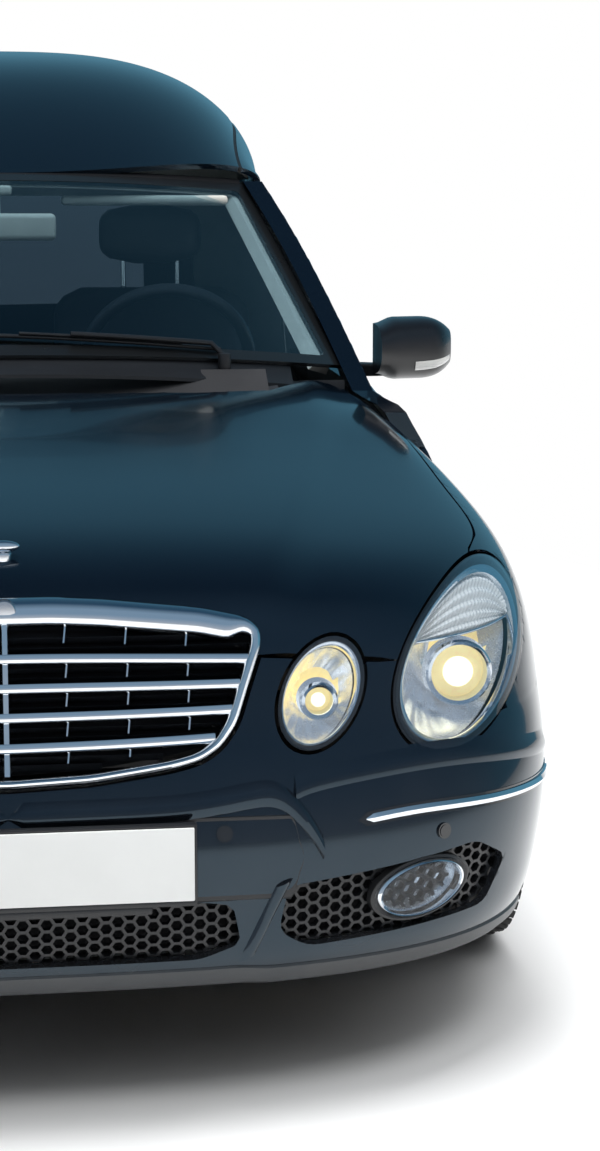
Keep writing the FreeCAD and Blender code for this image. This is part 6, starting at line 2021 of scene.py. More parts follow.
    def badge(self) -> Piece:
        """Blank round disc in the top of the surround."""
        spot = FORM.nose(np.array([0.0]), np.array([739.0]))[0]
        profile = [(-9.0, 0.0), (-9.0, 9.0), (-7.5, 15.5), (-5.0, 17.5), (6.0, 17.5), (6.0, 0.0)]
        return spun("badge", profile, spot, "Y", 48)


# ---------------------------------------------------------------- bumper details, cowl, glass and mirrors
def skin_strip(line: Sequence[tuple[float, float]], section: Sequence[tuple[float, float]],
               steps: int = 60) -> Piece:
    """Moulding that follows the nose along a smooth line of x and z.

    Args:
        line: Points of the line, as x and z in millimetres.
        section: Rise along the height and distance out of the skin, round the moulding.
        steps: Places along the line.

    Returns:
        The closed piece.
    """
    at = np.linspace(0, len(line) - 1, steps)
    x, z = (Spline([(float(k), point[axis]) for k, point in enumerate(line)])(at) for axis in (0, 1))
    taper = np.clip(np.minimum(at, at[-1] - at) / 0.12, 0.15, 1.0)
    rows = [on_skin(x, z + rise * taper, (out * np.where(out > 0, taper, 1.0))[..., None])
            for rise, out in section]
    return strip_mesh("strip", rows)


@dataclass
class BumperTrim:
    """Everything laid on or behind the bumper skin."""

    chrome_line: tuple[tuple[float, float], ...] = ((515, 434), (610, 438), (724, 431), (800, 424),
                                                    (876, 413))
    shelf_line: tuple[tuple[float, float], ...] = ((0, 462), (150, 463), (262, 466), (345, 476), (392, 470),
                                                   (430, 430), (452, 392))
    fold_line: tuple[tuple[float, float], ...] = ((408, 478), (450, 490), (560, 500), (680, 498), (790, 480),
                                                  (868, 456))
    cell_wide: float = 34.0
    cell_tall: float = 19.0
    rib_half: float = 2.3
    rib_front: float = 16.0         # depths behind the skin
    rib_back: float = 27.0
    mesh_back: float = 42.0
    lip_height: float = 207.0

    def build(self) -> None:
        """Make every piece of the bumper's trim."""
        self.chrome_strips()
        self.raised_edges()
        self.mesh_panels()
        self.plate()
        self.struts()
        self.lower_lip()
        self.sensors()

    def chrome_strips(self) -> None:
        """Bright strips on the bumper's corners, each in a dark seat."""
        section = [(-7.0, -2.0), (-6.0, 4.0), (0.0, 7.5), (6.0, 4.5), (7.0, -2.0)]
        finish_pair(skin_strip(self.chrome_line, section, 70), "bumper_strip", [CHROME], "chrome")
        section = [(-11.0, -2.0), (-10.0, 1.6), (10.0, 1.6), (11.0, -2.0)]
        line = ((505, 433),) + self.chrome_line[1:-1] + ((884, 412),)
        finish_pair(skin_strip(line, section, 70), "bumper_strip_seat", [GLOSS_TRIM], "black_trim")

    def raised_edges(self) -> None:
        """Edge that runs over the plate and bends down to the side intakes, and the fold beside it."""
        edge = [(-16.0, -2.0), (-12.0, 3.0), (-5.0, 7.5), (2.0, 9.0), (10.0, 6.5), (20.0, 1.0), (24.0, -2.0)]
        finish_pair(skin_strip(self.shelf_line, edge, 90), "bumper_edge", [PAINT], "body_paint")
        fold = [(-14.0, -2.0), (-6.0, 3.0), (2.0, 5.0), (12.0, 3.0), (26.0, -1.0), (26.0, -3.0)]
        finish_pair(skin_strip(self.fold_line, fold, 80), "bumper_fold", [PAINT], "body_paint")

    def mesh_panels(self) -> None:
        """Dark honeycomb behind the three lower openings."""
        for label, outline in (("middle", CENTRE_INTAKE), ("left", SIDE_INTAKE),
                               ("right", flipped(SIDE_INTAKE))):
            # The back is a near-black sheet of painted shade behind the mesh.
            back = Skin("mesh_back_" + label, self.back_place, 150, 24, lambda p: p - [0.0, 900.0, 300.0])
            back.cut(grown(rounded(outline, 14), 10.0), View.FRONT, Side.INSIDE)
            finish_piece(back.thicken(3.0), [DARK], "body", "black_trim")
            nodes = ("lower_grille",) if label == "middle" else ()
            finish_piece(named(self.honeycomb(outline), "mesh_" + label), [MESH_TRIM], "body", "black_trim",
                         *nodes)

    def back_place(self, u: Array, v: Array) -> Array:
        """Places behind the mesh."""
        points = fan_on_nose(66.0, u, 225 + 165 * v)
        return points - FORM.outward(points) * self.mesh_back

    def honeycomb(self, outline: Outline) -> Piece:
        """Flat-topped cells of thin ribs over an opening."""
        edge = np.array(grown(rounded(outline, 14), 7.0))
        wide, half_tall = self.cell_wide, self.cell_tall * 0.5
        points = []
        low, high = edge.min(0), edge.max(0)
        first, last = int(low[0] / wide) - 2, int(high[0] / wide) + 2
        for row in range(int((high[1] - low[1]) / half_tall) + 3):
            z = low[1] - half_tall + row * self.cell_tall * 0.5
            for column in range(first, last):
                x = (column + (0.5 if row % 2 else 0.0)) * wide
                left, right = np.array([x - wide * 0.16, z]), np.array([x + wide * 0.16, z])
                for a, b in ((left, right), (right, right + [wide * 0.18, half_tall]),
                             (right, right + [wide * 0.18, -half_tall])):
                    if within(np.array([a, b]), edge).all():
                        run = unit(b - a)
                        side = np.array([-run[1], run[0]]) * self.rib_half
                        points += [a - side, b - side, b + side, a + side]
        flat = np.array(points)
        front = FORM.nose(flat[:, 0], flat[:, 1])
        way = FORM.outward(front)
        count = len(flat)
        faces = []
        for a in range(0, count, 4):
            faces += [(a, a + 1, a + 2, a + 3), (a + count, a + 3 + count, a + 2 + count, a + 1 + count)]
            faces += [(a + i, a + i + count, a + j + count, a + j) for i, j in neighbours(4, True)]
        return solid_mesh("mesh", np.concatenate([front - way * self.rib_front, front - way * self.rib_back]),
                          faces)

    @staticmethod
    def plate() -> None:
        """Blank plate in a dark holder over a flat panel."""
        board = named(block((-260, -11.5, 341), (260, -7, 448), 1.8, 2), "front_plate")
        finish_piece(board, [PLATE], "body", "plate", "number_plates")
        bars = (((-264, -9, 333), (264, 4, 341), 2.0), ((-264, -9, 448), (264, 4, 453), 2.0),
                ((-264, -9, 337), (-259, 4, 451), 2.0), ((259, -9, 337), (264, 4, 451), 2.0),
                ((-200, -8, 322), (200, 6, 334), 3.0))
        finish_piece(joined("plate_holder", [block(*bar) for bar in bars]), [BLACK_TRIM], "body",
                     "black_trim")
        section = [(-64.0, -2.0), (-60.0, 1.2), (60.0, 1.2), (64.0, -2.0)]
        panel = skin_strip(((0, 394), (150, 394), (300, 392), (420, 388)), section)
        finish_pair(panel, "bumper_panel", [BLACK_TRIM], "black_trim")

    @staticmethod
    def struts() -> None:
        """Slanted struts between the middle opening and the side intakes."""
        top, bottom = np.array([392.0, 352.0]), np.array([338.0, 240.0])
        middle = top + (bottom - top) * np.linspace(0, 1, 30)[:, None]
        section = [(-9.0, -2.0), (-6.0, 4.0), (0.0, 6.5), (6.0, 4.0), (9.0, -2.0)]
        rows = [on_skin(middle[:, 0] + offset * 1.6, middle[:, 1] + offset * 0.7, out)
                for offset, out in section]
        finish_pair(strip_mesh("strut", rows), "bumper_strut", [PAINT], "body_paint")

    def lower_lip(self) -> None:
        """Lighter lip along the bumper's lower edge."""
        x = np.linspace(-812, 812, 140)
        low = self.lip_height - 6.0 * soft_step((np.abs(x) - 320) / 60)
        section = ((26.0, -3.0), (22.0, 3.0), (4.0, 7.0), (-16.0, 3.0), (-20.0, -10.0), (10.0, -12.0))
        rows = [on_skin(x, low + rise * 0.8, out) for rise, out in section]
        finish_piece(strip_mesh("bumper_lip", rows), [LIP], "body", "black_trim")

    @staticmethod
    def sensors() -> None:
        """Round parking sensors in the dark panel and beside the side intake."""
        parts = []
        for x, z in ((305.0, 430.0), (640.0, 400.0)):
            spot = FORM.nose(np.array([x]), np.array([z]))[0]
            way = FORM.outward(spot[None])[0]
            direction = Vector(way).to_track_quat("Z", "Y").to_euler()
            for radius, lift in ((12.0, 0.4), (9.0, 1.4)):
                bpy.ops.mesh.primitive_cylinder_add(vertices=40, radius=radius * MM, depth=5.0 * MM,
                                                    location=to_frame([spot + way * lift])[0],
                                                    rotation=direction)
                part = bpy.context.object
                settle(part)
                smooth(part, 40)
                parts.append(part)
        finish_pair(joined("sensors", parts), "parking_sensors", [GLOSS_TRIM], "black_trim")


@dataclass
class FrontGlass:
    """Windscreen with its seal, the cowl below it and the wipers."""

    thick_band: float = 9.5
    band_rise: float = 1.5
    band_share: float = 0.955       # of the half width and height at the band's inner edge
    cowl_half: float = 600.0

    def build(self) -> None:
        """Make glass, seal, cowl and wipers."""
        self.windscreen()
        cowl = Skin("cowl_panel", self.cowl_place, 90, 10).thicken((0.0, 0.0, -8.0), 1.0)
        finish_piece(cowl, [BLACK_TRIM], "body", "black_trim")
        self.wipers()
        self.pillar_trims()

    @staticmethod
    def place(u: Array, v: Array, rise: float = 0.0) -> Array:
        """Places on the glass."""
        return FORM.windscreen(2 * u - 1, v, rise)

    def windscreen(self) -> None:
        """Clear glass and the dark band printed round its edge."""
        glass = Skin("windscreen_glass", self.place, 80, 40, (0.0, -0.5, 1.0)).thicken(GLASS_THICK)
        finish_piece(glass, [WINDOW], "body", "window_glass", "windscreen")
        band = Skin("windscreen_seal", lambda u, v: self.place(u, v, self.band_rise), 120, 60,
                    (0.0, -0.5, 1.0))
        band.cut(self.inner_line(), View.FRONT, Side.OUTSIDE)
        finish_piece(band.thicken(self.thick_band, 0.8), [SCREEN_BAND], "body", "black_trim")

    def inner_line(self) -> Outline:
        """Inner edge of the dark band, as seen from ahead."""
        across = np.linspace(-self.band_share, self.band_share, 40)
        low = self.place((across + 1) / 2, np.full(across.shape, 0.045), self.band_rise)
        high = self.place((across[::-1] + 1) / 2, np.full(across.shape, self.band_share), self.band_rise)
        points = np.concatenate([low, high])
        return rounded([tuple(p) for p in points[:, [0, 2]]], 6.0, 1)

    def cowl_place(self, u: Array, v: Array) -> Array:
        """Places on the cowl between the bonnet and the foot of the glass."""
        x = -self.cowl_half + 2 * self.cowl_half * u
        rear = FORM.windscreen(x / 721.0, np.full(np.shape(x), 0.02), -8.0)
        ahead = rear + np.array([0.0, -62.0, -34.0])
        ahead[..., 2] -= 8.0 * (np.abs(x) / self.cowl_half) ** 2
        place = ahead + (rear - ahead) * v[..., None]
        place[..., 2] += -5.0 * np.sin(np.pi * v)
        return place

    @staticmethod
    def wipers() -> None:
        """Two wipers with their arms, blades and pivots."""
        parts = []
        share = np.linspace(0, 1, 24)
        for pivot_u, tip_u in ((-0.10, -0.80), (0.62, -0.03)):
            start = FORM.windscreen(np.array([pivot_u]), np.array([-0.02]), 16.0)[0]
            u = pivot_u + (tip_u - pivot_u) * share
            v = 0.03 + (0.075 - 0.03) * share
            arm = FORM.windscreen(u[:16], v[:16] * 0.9, 22.0)
            arm[0] = start
            parts.append(tube("arm", arm, 5.5, 12))
            parts.append(tube("blade", FORM.windscreen(u, v, 8.0), 4.2, 8))
            parts.append(tube("carrier", FORM.windscreen(u[4:-3], v[4:-3], 15.0), 3.4, 8))
            parts.append(cylinder(start - np.array([0.0, 0.0, 10.0]), 13.0, 34.0, "Z", 28, 3.0))
        finish_piece(joined("wiper_set", parts), [BLACK_TRIM], "body", "black_trim", "wipers")

    @staticmethod
    def pillar_trims() -> None:
        """Pale trims on the inside of the windscreen pillars."""
        v = np.linspace(0.04, 0.96, 30)
        rows = [FORM.windscreen(np.full(v.shape, u), v, rise)
                for u, rise in ((0.975, -12.0), (0.93, -14.0), (0.90, -34.0), (0.96, -44.0))]
        finish_pair(strip_mesh("trim", rows), "pillar_trim", [LINING], "cabin_lining")


@dataclass
class Mirrors:
    """Door mirrors with their feet and turn signals."""

    root_x: float = 792.0
    span: float = 165.0
    middle_z: float = 1026.0
    back_s: float = 1656.0
    half_tall: float = 66.0

    def build(self) -> None:
        """Make both mirrors."""
        finish_pair(self.housing(), "mirror_housing", [MIRROR_TRIM], "black_trim", "door", ("mirror_left",),
                    ("mirror_right",))
        finish_pair(self.glass(), "mirror_glass", [CHROME], "chrome", "door")
        finish_pair(self.signal(), "mirror_signal", [SIGNAL], "lamp_glass", "door")
        finish_pair(self.foot(), "mirror_foot", [BLACK_TRIM], "black_trim", "door")

    def shell(self, x: float, turn: Array) -> Array:
        """One ring of the housing at x."""
        t = (x - self.root_x) / self.span
        narrow = 1 - np.clip((t - 0.55) / 0.45, 0, 1) ** 2.6 * 0.45
        half_z = self.half_tall * narrow * (0.80 + 0.2 * soft_step(t / 0.25))
        deep = (118.0 - 42.0 * t) * (1 - 0.62 * np.clip((t - 0.7) / 0.3, 0, 1) ** 2.5)
        z = self.middle_z + 3.0 * t + half_z * np.sign(np.sin(turn)) * np.abs(np.sin(turn)) ** 0.72
        cosine = np.cos(turn)
        s = self.back_s - deep * np.where(cosine > 0, cosine ** 0.8, 0.0)
        return np.stack([np.full(turn.shape, x), s, z], -1)

    def housing(self) -> Piece:
        """Rounded housing, flat behind."""
        turn = np.linspace(-math.pi / 2, math.pi / 2, 33)
        places = self.root_x + self.span * np.sin(np.linspace(0.0, 1.0, 26) * math.pi / 2)
        return shell_mesh("housing", np.array([self.shell(float(x), turn) for x in places]))

    @staticmethod
    def glass() -> Piece:
        """Mirror glass behind the housing."""
        count = 64
        turn = np.linspace(0, 2 * math.pi, count, endpoint=False)
        x = 872 + 70 * np.sign(np.cos(turn)) * np.abs(np.cos(turn)) ** 0.6
        z = 1028 + 50 * np.sign(np.sin(turn)) * np.abs(np.sin(turn)) ** 0.7
        points = np.concatenate([np.stack([x, np.full(count, s), z], -1) for s in (1655.0, 1659.0)])
        ends = [tuple(range(count)), tuple(range(count, 2 * count))[::-1]]
        return solid_mesh("glass", points, ends + quads(2, count, False, True))

    def signal(self) -> Piece:
        """Clear strip low on the outer half of the housing's face."""
        rows = []
        for angle, out in ((-0.62, 1.5), (-0.52, 3.0), (-0.36, 3.0), (-0.27, 1.5), (-0.27, -3.0),
                           (-0.62, -3.0)):
            row = np.array([self.shell(float(x), np.array([angle * (1 - 0.15 * (x - 868) / 84)]))[0]
                            for x in np.linspace(868, 952, 26)])
            row[:, 1] -= out
            rows.append(row)
        return strip_mesh("signal", rows)

    @staticmethod
    def foot() -> Piece:
        """Bar with softened edges, from the corner of the window out to the housing."""
        sections = (((766, 1700, 962), (766, 1700, 990), (766, 1752, 992), (766, 1752, 962)),
                    ((800, 1640, 966), (800, 1640, 992), (800, 1690, 994), (800, 1690, 968)),
                    ((842, 1585, 972), (842, 1585, 994), (842, 1640, 996), (842, 1640, 974)))
        piece = strip_mesh("bar", [np.array(row, float) for row in zip(*sections)])
        pick(piece)
        modifier = piece.modifiers.new("soft", "BEVEL")
        modifier.width = 5.0 * MM
        modifier.segments = 3
        apply_modifiers(piece)
        smooth(piece, 50)
        return piece


def shell_mesh(name: str, grid: Array) -> Piece:
    """Closed piece from a grid of places, its first and last rows and columns capped flat."""
    rows, columns = grid.shape[:2]
    faces = quads(rows, columns, False, False)
    faces.append(tuple(range(columns)))
    faces.append(tuple((rows - 1) * columns + k for k in range(columns))[::-1])
    edge = [i * columns for i in range(rows)] + [i * columns + columns - 1 for i in reversed(range(rows))]
    faces.append(tuple(edge)[::-1])
    return solid_mesh(name, grid.reshape(-1, 3), faces)


# ---------------------------------------------------------------- wheels
@dataclass
class Wheel:
    """One wheel: tyre with tread, alloy rim with spokes, disc, bolts and valve."""

    axle: str
    hand: int
    track: float = 1560.0
    tyre_width: float = 225.0
    rim_radius: float = 203.0
    rim_width: float = 190.0
    spokes: int = 10
    bolts: int = 5
    bolt_circle: float = 56.0
    bolt_radius: float = 8.5
    bolt_out: float = 62.0
    valve_circle: float = 184.0
    valve_out: float = 88.0
    shoulder_blocks: int = 60
    grooves: tuple[float, ...] = (-52.0, -18.0, 18.0, 52.0)
    groove_depth: float = 7.0
    block_size: Place = (0.013, 0.0205, 0.0045)         # of one tread block, in metres
    block_rows: tuple[Place, ...] = ((74.0, 0.18, 2.2), (92.0, 0.30, 7.7))      # offset, lean and depth

    def __post_init__(self) -> None:
        """Work out the wheel's name and its middle."""
        self.label = f"{self.axle}_{'left' if self.hand > 0 else 'right'}"
        axle_s = FRONT_AXLE_S if self.axle == "front" else REAR_AXLE_S
        self.centre = (self.hand * self.track / 2, axle_s, TYRE_RADIUS)

    def build(self) -> None:
        """Make every piece of the wheel."""
        body = "wheel_" + self.label
        finish_piece(self.tyre(), [TYRE], body, "tyre", "tyre_" + self.label)
        finish_piece(self.rim(), [ALLOY], body, "alloy", "rim_" + self.label)
        finish_piece(self.disc(), [DISC_STEEL], body, "steel")
        finish_piece(self.fittings(), [CHROME], body, "chrome")

    def tyre(self) -> Piece:
        """Tyre with grooves round it and shoulder cuts across it."""
        half, seat = self.tyre_width / 2, self.rim_width / 2
        outer = [(-seat + 2, self.rim_radius + 2), (-seat - 3, 212), (-half + 6, 230), (-half + 1, 246),
                 (-half, 262), (-half + 0.5, 270), (-half + 2.6, 272), (-half + 1.6, 275), (-half + 4, 292),
                 (-half + 12, 308), (-half + 24, 317), (-half + 46, 323)]
        tread = []
        for middle in self.grooves:
            crown = TYRE_RADIUS - 0.0006 * middle ** 2
            tread += [(middle - 5.0, crown), (middle - 4.0, crown - self.groove_depth),
                      (middle + 4.0, crown - self.groove_depth), (middle + 5.0, crown)]
        inside = [(half - 14, 222), (0, 236), (-half + 14, 222)]
        profile = outer + tread + [(-a, r) for a, r in reversed(outer)] + inside
        piece = spun("tyre_body_" + self.label, profile, self.centre, "X", 120)
        return joined("tyre_body_" + self.label, [piece, self.shoulders()])

    def shoulders(self) -> Piece:
        """Blocks of tread across the tyre's shoulders."""
        mesh = bmesh.new()
        size = Matrix.Diagonal((*self.block_size, 1.0))
        for k in range(self.shoulder_blocks):
            base = Matrix.Rotation(2 * math.pi * k / self.shoulder_blocks, 4, "X")
            for side in (-1, 1):
                for offset, lean, sunk in self.block_rows:
                    box = bmesh.ops.create_cube(mesh, size=1.0)["verts"]
                    out = Matrix.Translation((side * offset * MM, 0.0, (TYRE_RADIUS - sunk) * MM))
                    bmesh.ops.transform(mesh, verts=box,
                                        matrix=base @ out @ Matrix.Rotation(-side * lean, 4, "Y") @ size)
        bmesh.ops.translate(mesh, verts=mesh.verts, vec=Vector(to_frame([self.centre])[0]))
        tread = bpy.data.meshes.new("tread")
        mesh.to_mesh(tread)
        mesh.free()
        blocks = bpy.data.objects.new("tread", tread)
        bpy.context.scene.collection.objects.link(blocks)
        return blocks

    def rim(self) -> Piece:
        """Barrel with lips, a hub and ten tapered spokes."""
        seat = self.rim_width / 2
        barrel = [(-seat - 5, 213), (-seat - 2, 216), (-seat, 213), (-seat, 203), (-seat + 14, 197),
                  (seat - 40, 197),
                  (seat - 14, 201), (seat, 203), (seat, 214), (seat + 4, 216), (seat + 6, 212),
                  (seat + 3, 200), (seat - 12, 190), (seat - 30, 186), (-seat + 10, 188), (-seat - 5, 198)]
        hub = [(12.0, 32), (12.0, 74), (38.0, 80), (58.0, 72), (66.0, 52), (66.0, 32)]
        cap = [(52.0, 0.0), (70.0, 0.0), (73.0, 8.0), (72.0, 24.0), (67.0, 31.0), (52.0, 31.5)]
        parts = [self.ring("barrel", barrel, 96), self.ring("hub", hub, 72)]
        parts += [self.spoke(2 * math.pi * k / self.spokes) for k in range(self.spokes)]
        return joined("rim_body_" + self.label, parts + [self.ring("cap", cap, 48)])

    def ring(self, name: str, profile: Sequence[tuple[float, float]], count: int) -> Piece:
        """Ring about the wheel's axis, its offsets measured outwards from the wheel's middle."""
        return spun(name, [(self.hand * a, r) for a, r in profile], self.centre, "X", count)

    def about(self, out: float, radius: float, turn: float) -> Place:
        """Place at a distance outwards from the wheel's middle, a radius and a turn from the top."""
        x, s, z = self.centre
        return x + self.hand * out, s + radius * math.sin(turn), z + radius * math.cos(turn)

    def spoke(self, turn: float) -> Piece:
        """One spoke from the hub to the rim."""
        stations = ((66.0, 60.0, 15.0), (90.0, 60.0, 13.0), (120.0, 66.0, 13.0), (150.0, 74.0, 15.0),
                    (176.0, 80.0, 19.0), (192.0, 82.0, 27.0))       # radius, offset of the face, half width
        corners = ((-1.0, 4.0), (-0.55, 0.0), (0.55, 0.0), (1.0, 4.0), (0.7, 26.0), (-0.7, 26.0))
        return strip_mesh("spoke", [np.array([self.about(face - drop, r, turn + corner * half / r)
                                              for r, face, half in stations]) for corner, drop in corners])

    def disc(self) -> Piece:
        """Vented brake disc with its bell."""
        profile = [(-15.0, 76), (-15.0, 148), (-13.0, 150), (-7.0, 150), (-6.0, 146), (2.0, 146), (3.0, 150),
                   (9.0, 150), (11.0, 148), (11.0, 84), (12.0, 74), (12.0, 60), (-7.0, 60), (-7.0, 76)]
        return self.ring("brake_disc_" + self.label, profile, 96)

    def fittings(self) -> Piece:
        """Wheel bolts and the valve."""
        turn = 2 * math.pi / self.bolts
        parts = [cylinder(self.about(self.bolt_out, self.bolt_circle, turn * (k + 0.5)), self.bolt_radius,
                          16.0, "X", 6, 1.2) for k in range(self.bolts)]
        parts.append(cylinder(self.about(self.valve_out, self.valve_circle, 0.0), 4.0, 26.0, "X", 16, 0.8))
        return joined("wheel_fittings_" + self.label, parts)


# ---------------------------------------------------------------- cabin
def rounded_ring(turn: Array, half: float, other: float, power: float,
                 other_power: float) -> tuple[Array, Array]:
    """Squared oval at turns round it, from its half sizes, squarer the smaller the powers."""
    return (half * np.sign(np.cos(turn)) * np.abs(np.cos(turn)) ** power,
            other * np.sign(np.sin(turn)) * np.abs(np.sin(turn)) ** other_power)


@dataclass
class FrontSeat:
    """One front seat with stitched cushions and a headrest on bright posts."""

    hand: int
    inner_x: float = 130.0
    width: float = 500.0
    cushion: tuple[Place, ...] = ((1930, 520, 60), (1990, 575, 72), (2150, 560, 78), (2300, 545, 78),
                                  (2440, 540, 70))
    back: tuple[Place, ...] = ((2470, 560, 62), (2500, 700, 66), (2525, 860, 66), (2560, 1010, 58),
                               (2590, 1130, 40))
    seam: tuple[Place, ...] = ((2000, 575, 71), (2150, 560, 78), (2300, 545, 78), (2420, 540, 72))
    seam_out: float = 150.0
    post_out: float = 68.0
    bolster: float = 22.0

    def build(self) -> None:
        """Make the seat."""
        side = "left" if self.hand > 0 else "right"
        x0 = self.inner_x if self.hand > 0 else -self.inner_x - self.width
        self.middle = x0 + self.width / 2
        pads = [self.pad("seat_cushion_" + side, self.cushion, 250.0, "Z"),
                self.pad("seat_back_" + side, self.back, 245.0, "Y"), self.headrest("headrest_" + side)]
        for part in pads:
            nodes = ("front_seats",) if part is pads[0] and self.hand > 0 else ()
            finish_piece(part, [SEAT], "body", "seat_leather", *nodes)
        posts = [tube("post", [(self.middle + out, s, z)
                               for s, z in ((2590, 1110), (2588, 1200), (2586, 1240))], 6.0)
                 for out in (-self.post_out, self.post_out)]
        finish_piece(joined("headrest_posts_" + side, posts), [CHROME], "body", "chrome")
        base = named(block((x0 + 60, 2000, 243), (x0 + 440, 2440, 460), 18.0, 3), "seat_base_" + side)
        finish_piece(base, [CABIN], "body", "black_trim")
        seams = [tube("seam", [(self.middle + out, s, z + half - 1) for s, z, half in self.seam], 2.2, 8)
                 for out in (-self.seam_out, self.seam_out)]
        finish_piece(joined("seat_piping_" + side, seams), [PIPING], "body", "seat_leather")

    def pad(self, name: str, line: Sequence[Place], half: float, axis: str) -> Piece:
        """Stuffed shape with raised side bolsters.

        Args:
            name: Name of the piece.
            line: Rows of s, z and half thickness.
            half: Half width.
            axis: "Z" where it lies, "Y" where it stands.

        Returns:
            The closed piece.
        """
        turn = np.linspace(0, 2 * math.pi, 40, endpoint=False)
        at = np.linspace(0, len(line) - 1, 22)
        values = [Spline([(float(k), row[i]) for k, row in enumerate(line)])(at) for i in range(3)]
        rows = []
        for k, (s, z, thick) in enumerate(zip(*values)):
            ends = min(k, len(at) - 1 - k)
            shrink = (0.72, 0.90, 0.97)[ends] if ends < 3 else 1.0
            x, lift = rounded_ring(turn, half * shrink, thick * shrink, 0.45, 0.55)
            raised = self.bolster * soft_step((np.abs(x) - half * 0.55) / (half * 0.3))
            lift = lift + np.where(np.sin(turn) > 0, raised, 0.0)
            row = (np.full(40, s), z + lift) if axis == "Z" else (s - lift, np.full(40, z))
            rows.append(np.stack([self.middle + x, *row], -1))
        return capped_mesh(name, rows)

    def headrest(self, name: str) -> Piece:
        """Rounded headrest."""
        turn = np.linspace(0, 2 * math.pi, 36, endpoint=False)
        rows = []
        for z in np.linspace(1190, 1336, 12):
            shrink = max(0.30, (1 - abs((z - 1263) / 73) ** 4) ** 0.35)
            x, s = rounded_ring(turn, 128 * shrink, 46 * shrink, 0.55, 0.7)
            rows.append(np.stack([self.middle + x, 2586 - s, np.full(36, z)], -1))
        return capped_mesh(name, rows)


